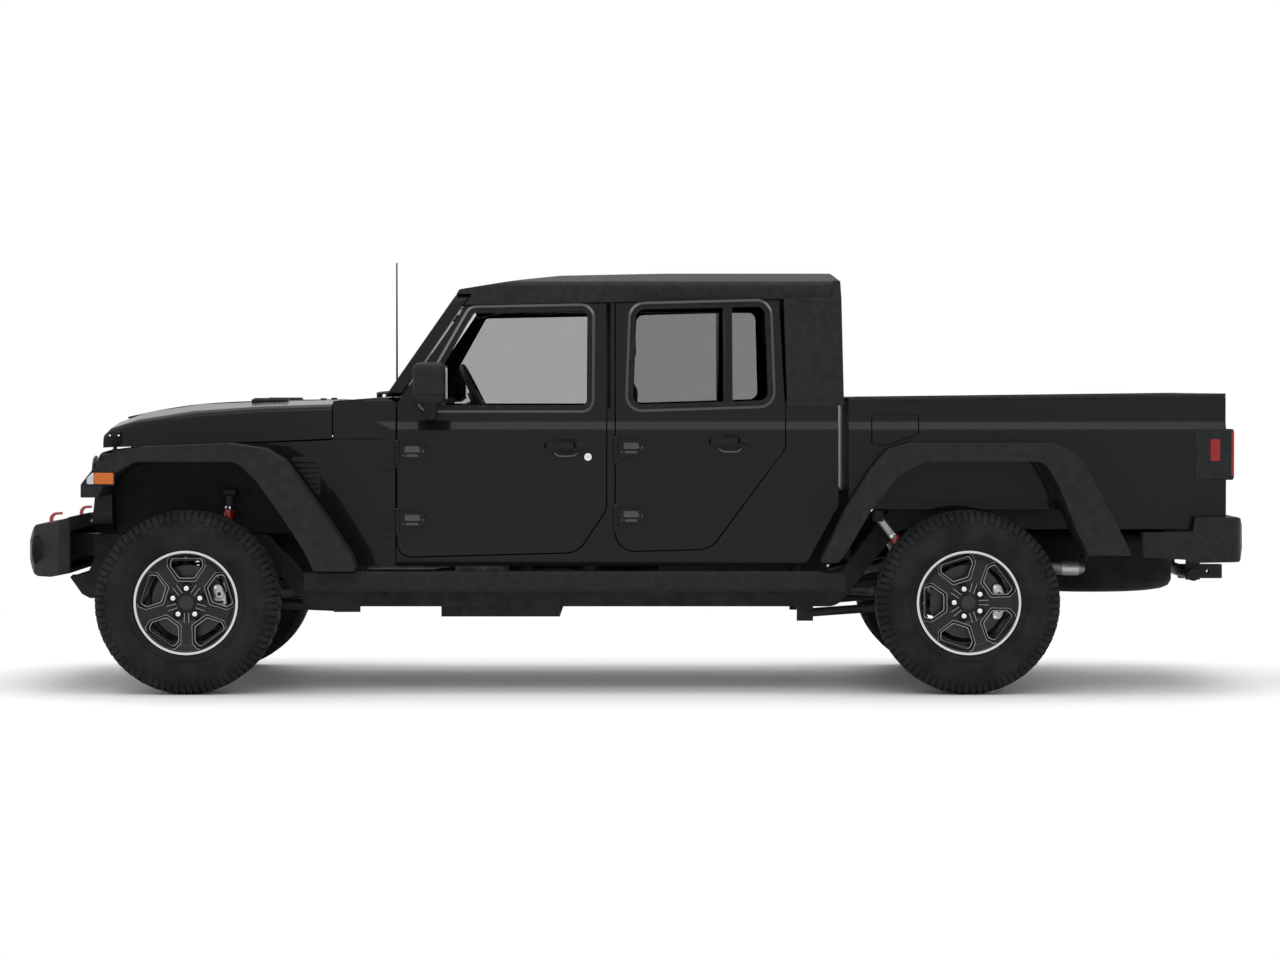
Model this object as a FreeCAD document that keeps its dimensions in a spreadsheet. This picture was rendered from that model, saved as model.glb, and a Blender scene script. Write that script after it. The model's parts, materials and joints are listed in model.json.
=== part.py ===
import FreeCAD, Part
import math
import os
import Sketcher

# A crew-cab off-road pickup. The front is at -X, the left side at -Y and the ground at Z 0.
# The origin lies on the ground in the middle of the vehicle. Sizes are millimetres and degrees.

V = FreeCAD.Vector
doc = FreeCAD.newDocument("OffRoadPickup")

# Driving dimensions: name, value, what it is
SIZES = [
    # Stance
    ("wheelbase", 3487, "front axle to rear axle"),
    ("front_overhang", 780, "front axle to the bumper's nose"),
    ("rear_overhang", 1272, "rear axle to the rear bumper's face"),
    ("track", 1600, "between the wheels' middle planes"),
    ("seat_gap", 0.3, "clearance of a piece in its seat"),
    ("panel_gap", 6, "gap round a door, lid or gate"),
    # Wheels
    ("tyre_radius", 410, "out to the tips of the lugs"),
    ("tyre_width", 284, "across the sidewalls"),
    ("tread_width", 244, "across the tread"),
    ("shoulder_drop", 14, "tread centre down to the tread's edge"),
    ("rim_radius", 233, "flange of the rim"),
    ("bead_radius", 219, "where the tyre sits on the rim"),
    ("rim_width", 214, "between the rim's two edges"),
    ("barrel_wall", 8, "thickness of the rim's barrel"),
    ("well_radius", 196, "drop centre of the rim"),
    ("face_set", 84, "wheel's middle plane out to its face"),
    ("face_depth", 30, "thickness of the spoke face"),
    ("hub_set", 44, "middle plane out to the mounting face"),
    ("window_depth", 9, "step round each window of the wheel"),
    ("window_reach", 198, "wheel centre to a window's outer edge"),
    ("window_root", 106, "wheel centre to a window's inner edge"),
    ("window_span", 152, "widest part of a window"),
    ("window_foot", 70, "width of a window's inner edge"),
    ("window_round", 14, "corner radius of a window"),
    ("spoke_count", 5, "windows in the wheel"),
    ("bolt_circle", 127, "pitch circle of the wheel bolts"),
    ("bolt_radius", 11, "radius of a wheel nut"),
    ("bolt_height", 16, "height of a wheel nut"),
    ("cap_radius", 31, "radius of the centre cap"),
    ("disc_radius", 165, "brake disc"),
    ("disc_thickness", 26, "brake disc"),
    ("disc_set", 8, "middle plane in to the disc's outer face"),
    ("disc_hat", 82, "radius of the disc's hat"),
    ("spindle_radius", 30, "stub shaft in the hub"),
    ("running_gap", 0.05, "radial clearance of a shaft"),
    # Axles and steering
    ("axle_radius", 39, "axle tube"),
    ("kingpin_set", 700, "middle of the vehicle out to the steering axis"),
    ("kingpin_radius", 14, "ball joint stud"),
    ("knuckle_radius", 44, "body of the knuckle"),
    ("knuckle_half", 88, "half of the knuckle's height"),
    ("fork_thickness", 26, "arm of the axle's fork"),
    ("steer_arm", 120, "steering axis forward to the rod's eye"),
    ("steer_arm_drop", 60, "axle centre down to the arm's middle"),
    ("tie_rod_radius", 13, "tie rod"),
    ("diff_radius", 112, "axle's gear housing"),
    ("diff_set", 240, "front gear housing, left of the middle"),
    # Ladder frame
    ("rail_set", 400, "middle of the vehicle out to a rail's middle"),
    ("rail_width", 68, "across a rail"),
    ("rail_low", 366, "underside of the rails below the cab"),
    ("rail_depth", 104, "height of a rail"),
    ("rail_front_lift", 230, "step up of the rails at the front"),
    ("rail_rear_lift", 354, "step up of the rails over the rear axle"),
    ("spare_set", 545, "middle of the spare wheel ahead of the bed's rear end"),
    ("spare_z", 568, "height of the spare wheel's middle plane"),
    ("spare_stem", 56, "radius of the stem that holds the spare wheel"),
    # Body section
    ("sill_z", 569, "underside of the body"),
    ("side_y", 800, "widest part of the cab side"),
    ("tuck_y", 778, "cab side at the sill"),
    ("tuck_z", 640, "height where the side starts to tuck under"),
    ("shoulder_z", 1174, "lower edge of the shoulder"),
    ("shoulder_rise", 45, "height of the shoulder's slope"),
    ("shoulder_in", 20, "how far the shoulder steps in"),
    ("belt_z", 1274, "lower edge of the windows"),
    ("eave_z", 1776, "where the roof meets the doors, on the section"),
    ("eave_y", 690, "cab side at the eave"),
    ("door_wall", 108, "thickness of a door below the glass"),
    ("frame_wall", 60, "thickness of a door at its top"),
    # Door openings
    ("door_front_x", -1060, "front edge of the front door opening"),
    ("door_low", 604, "lower edge of the doors, at the front edge"),
    ("door_rise", 0.026, "rise of the doors' lower edge"),
    ("pillar_front_x", -113, "front edge of the middle pillar"),
    ("pillar_rear_x", -81, "rear edge of the middle pillar"),
    ("door_rear_x", 688, "rear edge of the rear door opening"),
    ("roof_line_z", 1755, "top of the doors, in the middle"),
    ("roof_rise", 0.0187, "rise of the doors' top edge"),
    ("glass_thickness", 5, "window glass"),
    # Windscreen
    ("screen_foot_x", -1112, "front of the windscreen frame's foot"),
    ("screen_foot_z", 1330, "top of the scuttle"),
    ("screen_top_z", 1790, "top of the windscreen frame"),
    ("screen_run", 0.69, "windscreen's run for each unit of rise"),
    ("screen_wall", 64, "windscreen frame, measured along X"),
    ("screen_border", 66, "width of the frame round the glass"),
    # Roof
    ("roof_front_x", -800, "front edge of the roof"),
    ("roof_split_x", -100, "seam between the roof's panels"),
    ("roof_rear_x", 934, "rear edge of the roof"),
    ("cab_rear_x", 922, "rear face of the cab's lower body"),
    ("hardtop_foot_x", 948, "rear face of the top at its foot"),
    ("hardtop_z", 1288, "foot of the top's rear part"),
    ("roof_wall", 34, "thickness of the roof"),
    # Bonnet, wings and grille
    ("bonnet_front_x", -2400, "front edge of the bonnet"),
    ("bonnet_rear_x", -1352, "rear edge of the bonnet"),
    ("bonnet_wall", 24, "thickness of the bonnet"),
    ("wing_wall", 20, "thickness of a wing"),
    ("scuttle_half", 742, "half of the scuttle's width at the bonnet"),
    ("nose_half", 604, "half of the body's width at the grille"),
    ("grille_front_x", -2456, "front face of the grille"),
    ("grille_wall", 90, "thickness of the grille"),
    ("grille_low", 706, "underside of the grille"),
    ("grille_top", 1088, "top of the grille"),
    ("slot_count", 9, "openings in the grille"),
    ("slot_width", 44, "width of a grille opening"),
    ("slot_pitch", 70, "spacing of the grille openings"),
    ("slot_low", 830, "lower end of the grille openings"),
    ("slot_top", 1056, "upper end of the grille openings"),
    ("lamp_radius", 89, "headlamp"),
    ("lamp_set", 456, "middle of the vehicle out to a headlamp"),
    ("lamp_z", 962, "height of the headlamps"),
    # Wheel arch mouldings
    ("flare_y", 946, "outer face of the wheel arch mouldings"),
    ("flare_wall", 12, "thickness of the mouldings"),
    ("liner_y", 452, "inner edge of the front arch liners"),
    # Load bed
    ("bed_front_x", 968, "front of the bed"),
    ("bed_rear_x", 2658, "rear of the bed"),
    ("bed_low", 735, "lower edge of the bed's sides"),
    ("bed_floor_z", 880, "load floor"),
    ("bed_floor_wall", 22, "thickness of the load floor"),
    ("bed_side_wall", 80, "thickness of the bed's sides"),
    ("bed_rail_z", 1306, "top of the bed's sides at the front"),
    ("bed_rail_rise", 0.012, "rise of the bed's top edge"),
    ("tub_inner_y", 568, "inner face of a wheel tub"),
    ("tub_wall", 20, "thickness of a wheel tub"),
    ("cap_height", 16, "thickness of the bed's top trim"),
    ("gate_wall", 44, "thickness of the tailgate"),
    ("gate_low", 856, "lower edge of the tailgate"),
    ("gate_half", 662, "half of the tailgate's width"),
    ("gate_pivot_z", 878, "height of the tailgate's hinge"),
    # Bumpers and sill rails
    ("bumper_top", 765, "top of the front bumper"),
    ("bumper_low", 540, "underside of the front bumper"),
    ("rear_bumper_top", 786, "top of the rear bumper"),
    ("rear_bumper_low", 612, "underside of the rear bumper"),
    ("step_rail_y", 846, "outer face of the sill rails"),
    ("step_rail_top", 547, "top of the sill rails"),
    ("step_rail_depth", 92, "height of the sill rails"),
    ("step_rail_width", 62, "width of the sill rails"),
    ("winch_spacing_x", 114.3, "winch bolts, fore and aft"),
    ("winch_spacing_y", 254, "winch bolts, across"),
    ("winch_hole", 5.5, "radius of a winch bolt's hole"),
    ("receiver_bore", 51, "inside of the tow receiver"),
    ("receiver_wall", 7, "wall of the tow receiver"),
    ("receiver_length", 200, "length of the tow receiver"),
    ("pin_hole", 8, "radius of the receiver's pin hole"),
]

sheet = doc.addObject("Spreadsheet::Sheet", "Sizes")
for row, (alias, value, note) in enumerate(SIZES, start=1):
    sheet.set(f"A{row}", note)
    sheet.set(f"B{row}", str(value))
    sheet.setAlias(f"B{row}", alias)
doc.recompute()


class Size:
    """A number together with the sheet expression that gives it."""

    def __init__(self, value, text):
        self.value = float(value)
        self.text = text

    def __add__(self, other):
        other = sized(other)
        return Size(self.value + other.value, f"({self.text} + {other.text})")

    def __radd__(self, other):
        return sized(other) + self

    def __sub__(self, other):
        other = sized(other)
        return Size(self.value - other.value, f"({self.text} - {other.text})")

    def __rsub__(self, other):
        return sized(other) - self

    def __mul__(self, other):
        other = sized(other)
        return Size(self.value * other.value, f"({self.text} * {other.text})")

    def __rmul__(self, other):
        return sized(other) * self

    def __truediv__(self, other):
        other = sized(other)
        return Size(self.value / other.value, f"({self.text} / {other.text})")

    def __neg__(self):
        return Size(-self.value, f"(-1 * {self.text})")


def sized(item):
    """Any number as a Size."""
    if isinstance(item, Size):
        return item
    return Size(item, f"({float(item):.6f})")


class Named:
    """Gives each alias of the sheet as a Size."""

    def __getattr__(self, alias):
        return Size(sheet.get(alias), f"Sizes.{alias}")


s = Named()
length = s.front_overhang + s.wheelbase + s.rear_overhang
front_axle_x = s.front_overhang - length / 2
rear_axle_x = front_axle_x + s.wheelbase
pieces = {}


def bind(feature, path, item):
    """Ties a property to the sheet."""
    feature.setExpression(path, sized(item).text)


def place(feature, x=None, y=None, z=None):
    """Ties a feature's position to the sheet."""
    for letter, item in (("x", x), ("y", y), ("z", z)):
        if item is not None:
            bind(feature, f"Placement.Base.{letter}", item)


def keep(label, feature):
    """Names a finished sub-part, which is written to a file of that name."""
    feature.Label = label
    pieces[label] = feature
    return feature


# Sketching

TURN = {
    "side": FreeCAD.Rotation(V(1, 0, 0), 90),
    "plan": FreeCAD.Rotation(),
    "front": FreeCAD.Rotation(V(1, 1, 1), 120),
}
DEPTH = {"side": "y", "plan": "z", "front": "x"}
PLANE = {"side": "XZ_Plane", "plan": "XY_Plane", "front": "YZ_Plane"}


def pin_point(sketch, geometry, point, x, y):
    """Ties one point of a sketch to the sheet."""
    for kind, item in (("DistanceX", x), ("DistanceY", y)):
        number = sketch.addConstraint(
            Sketcher.Constraint(kind, -1, 1, geometry, point, item.value))
        sketch.setExpression(f"Constraints[{number}]", item.text)


def corner_arc(before, at, after, radius):
    """Start, end and arc of a rounded corner, and whether it turns left."""
    back = (before - at).normalize()
    ahead = (after - at).normalize()
    half = back.getAngle(ahead) / 2
    reach = radius / math.tan(half)
    start = at + back * reach
    end = at + ahead * reach
    centre = at + (back + ahead).normalize() * (radius / math.sin(half))
    left = (at - before).cross(after - at).z > 0
    first, last = (start, end) if left else (end, start)
    a = math.atan2(first.y - centre.y, first.x - centre.x)
    b = math.atan2(last.y - centre.y, last.x - centre.x)
    if b < a:
        b += 2 * math.pi
    circle = Part.Circle(centre, V(0, 0, 1), radius)
    return start, end, Part.ArcOfCircle(circle, a, b), left


def draw_outline(sketch, corners):
    """A closed outline through the corners, each rounded by its radius and tied to the sheet."""
    corners = [tuple(sized(item) for item in (*corner, 0)[:3]) for corner in corners]
    points = [V(x.value, y.value, 0) for x, y, _ in corners]
    count = len(points)
    starts, ends, arcs = [], [], []
    for i, (x, y, radius) in enumerate(corners):
        if radius.value > 0:
            found = corner_arc(points[i - 1], points[i], points[(i + 1) % count], radius.value)
        else:
            found = (points[i], points[i], None, True)
        starts.append(found[0])
        ends.append(found[1])
        arcs.append(found[2:])
    lines = [
        sketch.addGeometry(Part.LineSegment(ends[i], starts[(i + 1) % count]))
        for i in range(count)
    ]
    for i, (x, y, radius) in enumerate(corners):
        before, after = lines[i - 1], lines[i]
        arc, left = arcs[i]
        if arc is None:
            sketch.addConstraint(Sketcher.Constraint("Coincident", before, 2, after, 1))
            pin_point(sketch, after, 1, x, y)
            continue
        bend = sketch.addGeometry(arc)
        first, last = (1, 2) if left else (2, 1)
        tip = sketch.addGeometry(Part.Point(points[i]), True)
        sketch.addConstraint([
            Sketcher.Constraint("Tangent", before, 2, bend, first),
            Sketcher.Constraint("Tangent", after, 1, bend, last),
            Sketcher.Constraint("PointOnObject", tip, 1, before),
            Sketcher.Constraint("PointOnObject", tip, 1, after),
        ])
        pin_point(sketch, tip, 1, x, y)
        number = sketch.addConstraint(Sketcher.Constraint("Radius", bend, radius.value))
        sketch.setExpression(f"Constraints[{number}]", radius.text)


def draw_circle(sketch, x, y, radius):
    """A circle tied to the sheet."""
    x, y, radius = sized(x), sized(y), sized(radius)
    circle = sketch.addGeometry(Part.Circle(V(x.value, y.value, 0), V(0, 0, 1), radius.value))
    pin_point(sketch, circle, 3, x, y)
    number = sketch.addConstraint(Sketcher.Constraint("Radius", circle, radius.value))
    sketch.setExpression(f"Constraints[{number}]", radius.text)


def draw(sketch, outlines, circles):
    for outline in outlines:
        draw_outline(sketch, outline)
    for circle in circles:
        draw_circle(sketch, *circle)


def free_sketch(name, view, depth, outlines, circles=()):
    """A sketch that stands by itself, seen from the side, from above or from the front."""
    sketch = doc.addObject("Sketcher::SketchObject", name)
    sketch.Placement = FreeCAD.Placement(V(), TURN[view])
    place(sketch, **{DEPTH[view]: depth})
    draw(sketch, outlines, circles)
    return sketch


def body_sketch(body, name, view, depth, outlines, circles=()):
    """A sketch on one of a body's own planes, set off along the plane's axis."""
    sketch = body.newObject("Sketcher::SketchObject", name)
    plane = [f for f in body.Origin.OriginFeatures if f.Role == PLANE[view]][0]
    sketch.AttachmentSupport = [(plane, "")]
    sketch.MapMode = "FlatFace"
    sign = -1 if view == "side" else 1
    bind(sketch, "AttachmentOffset.Base.z", sized(depth) * sign)
    draw(sketch, outlines, circles)
    return sketch


# Solids

def slab(name, view, outline, low, high, holes=(), circles=()):
    """A plate with an outline drawn in one view, from low to high along that view's axis."""
    depth = high if view == "side" else low
    sketch = free_sketch(name + "_outline", view, depth, [outline, *holes], circles)
    plate = doc.addObject("Part::Extrusion", name)
    plate.Base = sketch
    plate.DirMode = "Normal"
    plate.Solid = True
    bind(plate, "LengthFwd", sized(high) - low)
    return plate


def inset_slab(name, source, amount, low, high):
    """A plate with a side outline moved in by an amount, or out where it is negative."""
    ring = doc.addObject("Part::Offset2D", name + "_outline")
    ring.Source = source.Base
    ring.Join = "Arc"
    bind(ring, "Value", -sized(amount))
    plate = doc.addObject("Part::Extrusion", name)
    plate.Base = ring
    plate.DirMode = "Custom"
    plate.Dir = V(0, -1, 0)
    plate.Solid = True
    bind(plate, "LengthFwd", sized(high) - low)
    bind(plate, "Placement.Base.y", sized(high) - source_depth(source))
    return plate


def source_depth(source):
    """Where the outline of a side plate lies."""
    path = dict(source.Base.ExpressionEngine)
    return Size(source.Base.Placement.Base.y, "(" + path[".Placement.Base.y"] + ")")


def block(name, x0, x1, y0, y1, z0, z1):
    """A box between two corners."""
    box = doc.addObject("Part::Box", name)
    bind(box, "Length", sized(x1) - x0)
    bind(box, "Width", sized(y1) - y0)
    bind(box, "Height", sized(z1) - z0)
    place(box, x0, y0, z0)
    return box


AXIS_TURN = {
    "x": FreeCAD.Rotation(V(0, 1, 0), 90),
    "y": FreeCAD.Rotation(V(1, 0, 0), -90),
    "z": FreeCAD.Rotation(),
}


def rod(name, axis, x, y, z, radius, reach):
    """A cylinder that starts at a point and runs along +X, +Y or +Z."""
    cylinder = doc.addObject("Part::Cylinder", name)
    cylinder.Placement = FreeCAD.Placement(V(), AXIS_TURN[axis])
    bind(cylinder, "Radius", radius)
    bind(cylinder, "Height", reach)
    place(cylinder, x, y, z)
    return cylinder


def fuse(name, *shapes):
    joined = doc.addObject("Part::MultiFuse", name)
    joined.Shapes = list(shapes)
    joined.Refine = True
    return joined


def common(name, *shapes):
    shared = doc.addObject("Part::MultiCommon", name)
    shared.Shapes = list(shapes)
    return shared


def cut(name, base, *tools):
    tool = tools[0] if len(tools) == 1 else fuse(name + "_tools", *tools)
    rest = doc.addObject("Part::Cut", name)
    rest.Base = base
    rest.Tool = tool
    return rest


def mirrored(name, source):
    """The same piece on the right side."""
    twin = doc.addObject("Part::Mirroring", name)
    twin.Source = source
    twin.Base = V()
    twin.Normal = V(0, 1, 0)
    return twin


def together(name, *shapes):
    """Like pieces that don't touch, as one sub-part."""
    group = doc.addObject("Part::Compound", name)
    group.Links = list(shapes)
    return group


def both_sides(label, left):
    """A left piece and its mirror image as one sub-part."""
    return keep(label, together(label, left, mirrored(label + "_right", left)))


def lofted(name, sketches):
    skin = doc.addObject("Part::Loft", name)
    skin.Sections = sketches
    skin.Solid = True
    skin.Ruled = True
    return skin


def rounded(name, base, radius, wanted):
    """Rounds the edges of a solid that the test picks."""
    doc.recompute([base])
    fillet = doc.addObject("Part::Fillet", name)
    fillet.Base = base
    r = sized(radius).value
    fillet.Edges = [
        (number, r, r) for number, edge in enumerate(base.Shape.Edges, start=1) if wanted(edge)
    ]
    return fillet


def feature(name, shape):
    """A shape worked out from the sheet's values."""
    item = doc.addObject("Part::Feature", name)
    item.Shape = shape
    return item


def bar(start, end, radius):
    """A round bar between two points."""
    path = V(*end) - V(*start)
    return Part.makeCylinder(radius, path.Length, V(*start), path)


def mid(edge):
    return edge.CenterOfMass


# Wheels

def tyre_shape():
    """A tyre as one ring, spinning about Y, with the outer side at -Y."""
    body = doc.addObject("PartDesign::Body", "tyre")
    half, tread = s.tyre_width / 2, s.tread_width / 2
    bead = s.rim_width / 2 - s.seat_gap
    inner = s.bead_radius
    flange = s.rim_radius + 2
    section = [
        (-bead + 10, inner + s.seat_gap), (bead - 10, inner + s.seat_gap), (bead - 2, flange, 6),
        (half - 3, flange + 40, 40), (half, flange + 82, 60), (half - 8, s.tyre_radius - 42, 40),
        (tread, s.tyre_radius - s.shoulder_drop, 14), (tread - 26, s.tyre_radius, 20),
        (26 - tread, s.tyre_radius, 20), (-tread, s.tyre_radius - s.shoulder_drop, 14),
        (8 - half, s.tyre_radius - 42, 40), (-half, flange + 82, 60), (3 - half, flange + 40, 40),
        (2 - bead, flange, 6),
    ]
    sketch = body_sketch(body, "tyre_section", "front", 0, [section])
    ring = body.newObject("PartDesign::Revolution", "tyre_ring")
    ring.Profile = sketch
    ring.ReferenceAxis = (sketch, ["H_Axis"])
    ring.Angle = 360
    return body


def rim_shape():
    """A five-window wheel with its nuts, cap, hub and brake disc; the outer side is at -Y."""
    body = doc.addObject("PartDesign::Body", "rim")
    half, wall = s.rim_width / 2, s.barrel_wall
    seat = s.bead_radius - s.seat_gap
    face = -s.face_set
    back = face + s.face_depth
    hub = -s.hub_set
    disc_in = s.disc_set - s.disc_thickness / 2 + s.disc_thickness
    disc_out = disc_in - s.disc_thickness
    bore = s.spindle_radius + s.running_gap
    section = [
        (-half - 8, s.rim_radius), (-half, s.rim_radius), (-half, seat), (-half + 34, seat),
        (-half + 52, s.well_radius), (half - 70, s.well_radius), (half - 30, seat), (half, seat),
        (half, s.rim_radius), (half + 8, s.rim_radius), (half + 8, seat - wall), (half - 26, seat - wall),
        (half - 66, s.well_radius - wall), (back + 14, s.well_radius - wall), (back, s.well_radius - 22),
        (back, s.bolt_circle / 2 + 26), (hub, s.disc_hat - 4), (hub, s.disc_hat),
        (disc_out, s.disc_hat), (disc_out, s.disc_radius), (disc_in, s.disc_radius),
        (disc_in, bore + 14), (disc_in - 1, bore), (hub + 18, bore), (hub + 18, 0),
        (face - 4, 0), (face - 4, s.cap_radius), (face + 10, s.cap_radius + 6),
        (face + 10, s.bolt_circle / 2 + 16), (face, s.bolt_circle / 2 + 34), (face, s.well_radius - 8),
        (-half - 8, s.rim_radius - 10),
    ]
    sketch = body_sketch(body, "rim_section", "front", 0, [section])
    turned = body.newObject("PartDesign::Revolution", "rim_turned")
    turned.Profile = sketch
    turned.ReferenceAxis = (sketch, ["H_Axis"])
    turned.Angle = 360
    doc.recompute()

    def window(grow):
        """A window seen from the side: wide near the rim, narrow near the hub."""
        span, foot = s.window_span / 2 + grow, s.window_foot / 2 + grow / 2
        top, low = s.window_reach + grow / 2, s.window_root - grow
        waist = s.window_root + (s.window_reach - s.window_root) * 0.62
        r = s.window_round
        return [
            (-foot, low, r), (foot, low, r), (span, waist, r), (span - 6, top, r),
            (6 - span, top, r), (-span, waist, r),
        ]

    step = body_sketch(body, "window_step", "side", face - 12, [window(9)])
    shallow = body.newObject("PartDesign::Pocket", "step_pocket")
    shallow.Profile = step
    shallow.Reversed = True
    bind(shallow, "Length", s.window_depth + 12)
    through = body_sketch(body, "window_outline", "side", face - 12, [window(0)])
    opening = body.newObject("PartDesign::Pocket", "window_pocket")
    opening.Profile = through
    opening.Reversed = True
    bind(opening, "Length", s.face_depth + 16)
    nut = body_sketch(body, "nut_outline", "side", face + 14, [],
                      [(0, s.bolt_circle / 2, s.bolt_radius)])
    bolt = body.newObject("PartDesign::Pad", "nut_pad")
    bolt.Profile = nut
    bind(bolt, "Length", s.bolt_height)
    doc.recompute()
    ring = body.newObject("PartDesign::PolarPattern", "spoke_pattern")
    ring.Originals = [shallow, opening, bolt]
    ring.Axis = (sketch, ["H_Axis"])
    ring.Angle = 360
    bind(ring, "Occurrences", s.spoke_count)
    body.Tip = ring
    return body


def wheel_copy(label, master, x, side, turn):
    """A copy of the tyre or rim at one corner of the vehicle."""
    item = feature(label, master.Shape.copy())
    face = FreeCAD.Rotation(V(0, 0, 1), 0 if side < 0 else 180)
    item.Placement = FreeCAD.Placement(V(), face * FreeCAD.Rotation(V(0, 1, 0), turn))
    place(item, x, side * s.track / 2, s.tyre_radius)
    return keep(label, item)


tyre_master = tyre_shape()
rim_master = rim_shape()
doc.recompute()
CORNERS = [
    ("front_left", front_axle_x, -1, 0), ("front_right", front_axle_x, 1, 0),
    ("rear_left", rear_axle_x, -1, -90), ("rear_right", rear_axle_x, 1, 90),
]
for corner, corner_x, corner_side, corner_turn in CORNERS:
    wheel_copy("tyre_" + corner, tyre_master, corner_x, corner_side, corner_turn)
    wheel_copy("wheel_" + corner, rim_master, corner_x, corner_side, corner_turn)


# Axles, knuckles and brakes

def caliper(name, x, side_high):
    """A brake caliper that straddles the disc, on the left, at the rear of its wheel."""
    disc_in = s.disc_set + s.disc_thickness / 2
    disc_out = disc_in - s.disc_thickness
    middle = -s.track / 2
    shell = slab(name + "_shell", "side", [
        (x + 112, s.tyre_radius - 78, 12), (x + 150, s.tyre_radius - 78, 16),
        (x + 172, s.tyre_radius, 60), (x + 150, s.tyre_radius + 78, 16),
        (x + 112, s.tyre_radius + 78, 12),
    ], middle + disc_out - 26, middle + disc_in + 34)
    slot = block(name + "_slot", x + 60, x + s.disc_radius + 4, middle + disc_out - 5,
                 middle + disc_in + 5, s.tyre_radius - 90, s.tyre_radius + 90)
    arm = block(name + "_arm", x + 20, x + 130, middle + disc_in + 8, side_high,
                s.tyre_radius - 34, s.tyre_radius + 34)
    return fuse(name, cut(name + "_cut", shell, slot), arm)


def stub(name, x, inner):
    """The stub shaft that a left wheel turns on."""
    tip = -s.track / 2 - s.hub_set + 18 + 3
    return rod(name, "y", x, tip, s.tyre_radius, s.spindle_radius, sized(inner) - tip)


def knuckle():
    """The left steering knuckle with its studs, arm, stub shaft and caliper."""
    x, z, y = front_axle_x, s.tyre_radius, -s.kingpin_set
    stud = s.knuckle_half + s.fork_thickness + 8
    core = rod("knuckle_core", "z", x, y, z - s.knuckle_half, s.knuckle_radius, 2 * s.knuckle_half)
    studs = rod("knuckle_studs", "z", x, y, z - stud, s.kingpin_radius, 2 * stud)
    arm = slab("knuckle_arm", "plan", [
        (x, y - 26), (x, y + 26), (x - s.steer_arm, y + 15, 10), (x - s.steer_arm - 16, y + 15, 8),
        (x - s.steer_arm - 16, y - 15, 8), (x - s.steer_arm, y - 15, 10),
    ], z - s.steer_arm_drop - 12, z - s.steer_arm_drop + 12)
    disc_in = s.disc_set + s.disc_thickness / 2
    boss = rod("knuckle_boss", "y", x, -s.track / 2 + disc_in + 5, z, 46,
               s.track / 2 - s.kingpin_set - disc_in)
    return fuse("knuckle_solid", core, studs, arm, boss, stub("knuckle_stub", x, y),
                caliper("knuckle_caliper", x, -s.kingpin_set - 10))


left_knuckle = keep("knuckle_left", knuckle())
keep("knuckle_right", mirrored("knuckle_mirror", left_knuckle))


def axle_fork(name, x):
    """The fork at the left end of the front axle, which holds the knuckle."""
    z, half = s.tyre_radius, s.knuckle_half + 3
    wall = s.fork_thickness
    inner = 6 - s.kingpin_set + s.knuckle_radius
    profile = [
        (-s.kingpin_set - 28, z + half, 4), (inner, z + half), (inner, z - half),
        (-s.kingpin_set - 28, z - half, 4), (-s.kingpin_set - 28, z - half - wall, 8),
        (inner + 30, z - half - wall, 20), (inner + 34, z - 46), (inner + 34, z + 46),
        (inner + 30, z + half + wall, 20), (-s.kingpin_set - 28, z + half + wall, 8),
    ]
    fork = slab(name + "_fork", "front", profile, x - 38, x + 38)
    hole = rod(name + "_hole", "z", x, -s.kingpin_set, z - 200, s.kingpin_radius + s.running_gap, 400)
    return cut(name, fork, hole)


def axle(name, x, half, housing_y, nose):
    """A solid axle: tubes, gear housing, cover and pinion nose."""
    z = s.tyre_radius
    tube = rod(name + "_tube", "y", x, -half, z, s.axle_radius, 2 * half)
    drum = rod(name + "_drum", "x", x - 88, housing_y, z, s.diff_radius, 150)
    cover = rod(name + "_cover", "x", x - 100 if nose > 0 else x + 50, housing_y, z,
                s.diff_radius - 16, 50)
    snout = rod(name + "_snout", "x", x if nose > 0 else x - nose * -1, housing_y, z + 4, 46, abs(nose))
    return fuse(name, tube, drum, cover, snout)


front_tube = axle("front_axle_solid", front_axle_x, s.kingpin_set - s.knuckle_radius - 20,
                  -s.diff_set, 230)
left_fork = axle_fork("left_fork", front_axle_x)
front_axle = fuse("front_axle_whole", front_tube, left_fork, mirrored("right_fork", left_fork))
rear_tube = axle("rear_axle_solid", rear_axle_x, s.track / 2 - s.disc_set - s.disc_thickness / 2 - 6,
                 sized(0), -260)
left_rear_brake = fuse("left_rear_brake", stub("rear_stub", rear_axle_x, -s.track / 2 + 120),
                       caliper("rear_caliper", rear_axle_x, -s.track / 2 + 90))
rear_axle = fuse("rear_axle_whole", rear_tube, left_rear_brake,
                 mirrored("right_rear_brake", left_rear_brake))
keep("axles", together("axles", front_axle, rear_axle))


def tie_rod():
    """The rod that joins the two knuckles, ahead of the front axle."""
    x, z = front_axle_x - s.steer_arm, s.tyre_radius - s.steer_arm_drop + 12 + s.seat_gap
    eye = rod("rod_eye", "z", x, -s.kingpin_set, z, 17, 26)
    shaft = rod("rod_shaft", "y", x, -s.kingpin_set, z + 13, s.tie_rod_radius, 2 * s.kingpin_set)
    return fuse("tie_rod_solid", eye, mirrored("rod_eye_right", eye), shaft)


keep("tie_rod", tie_rod())


# Ladder frame and what hangs from it

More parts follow.
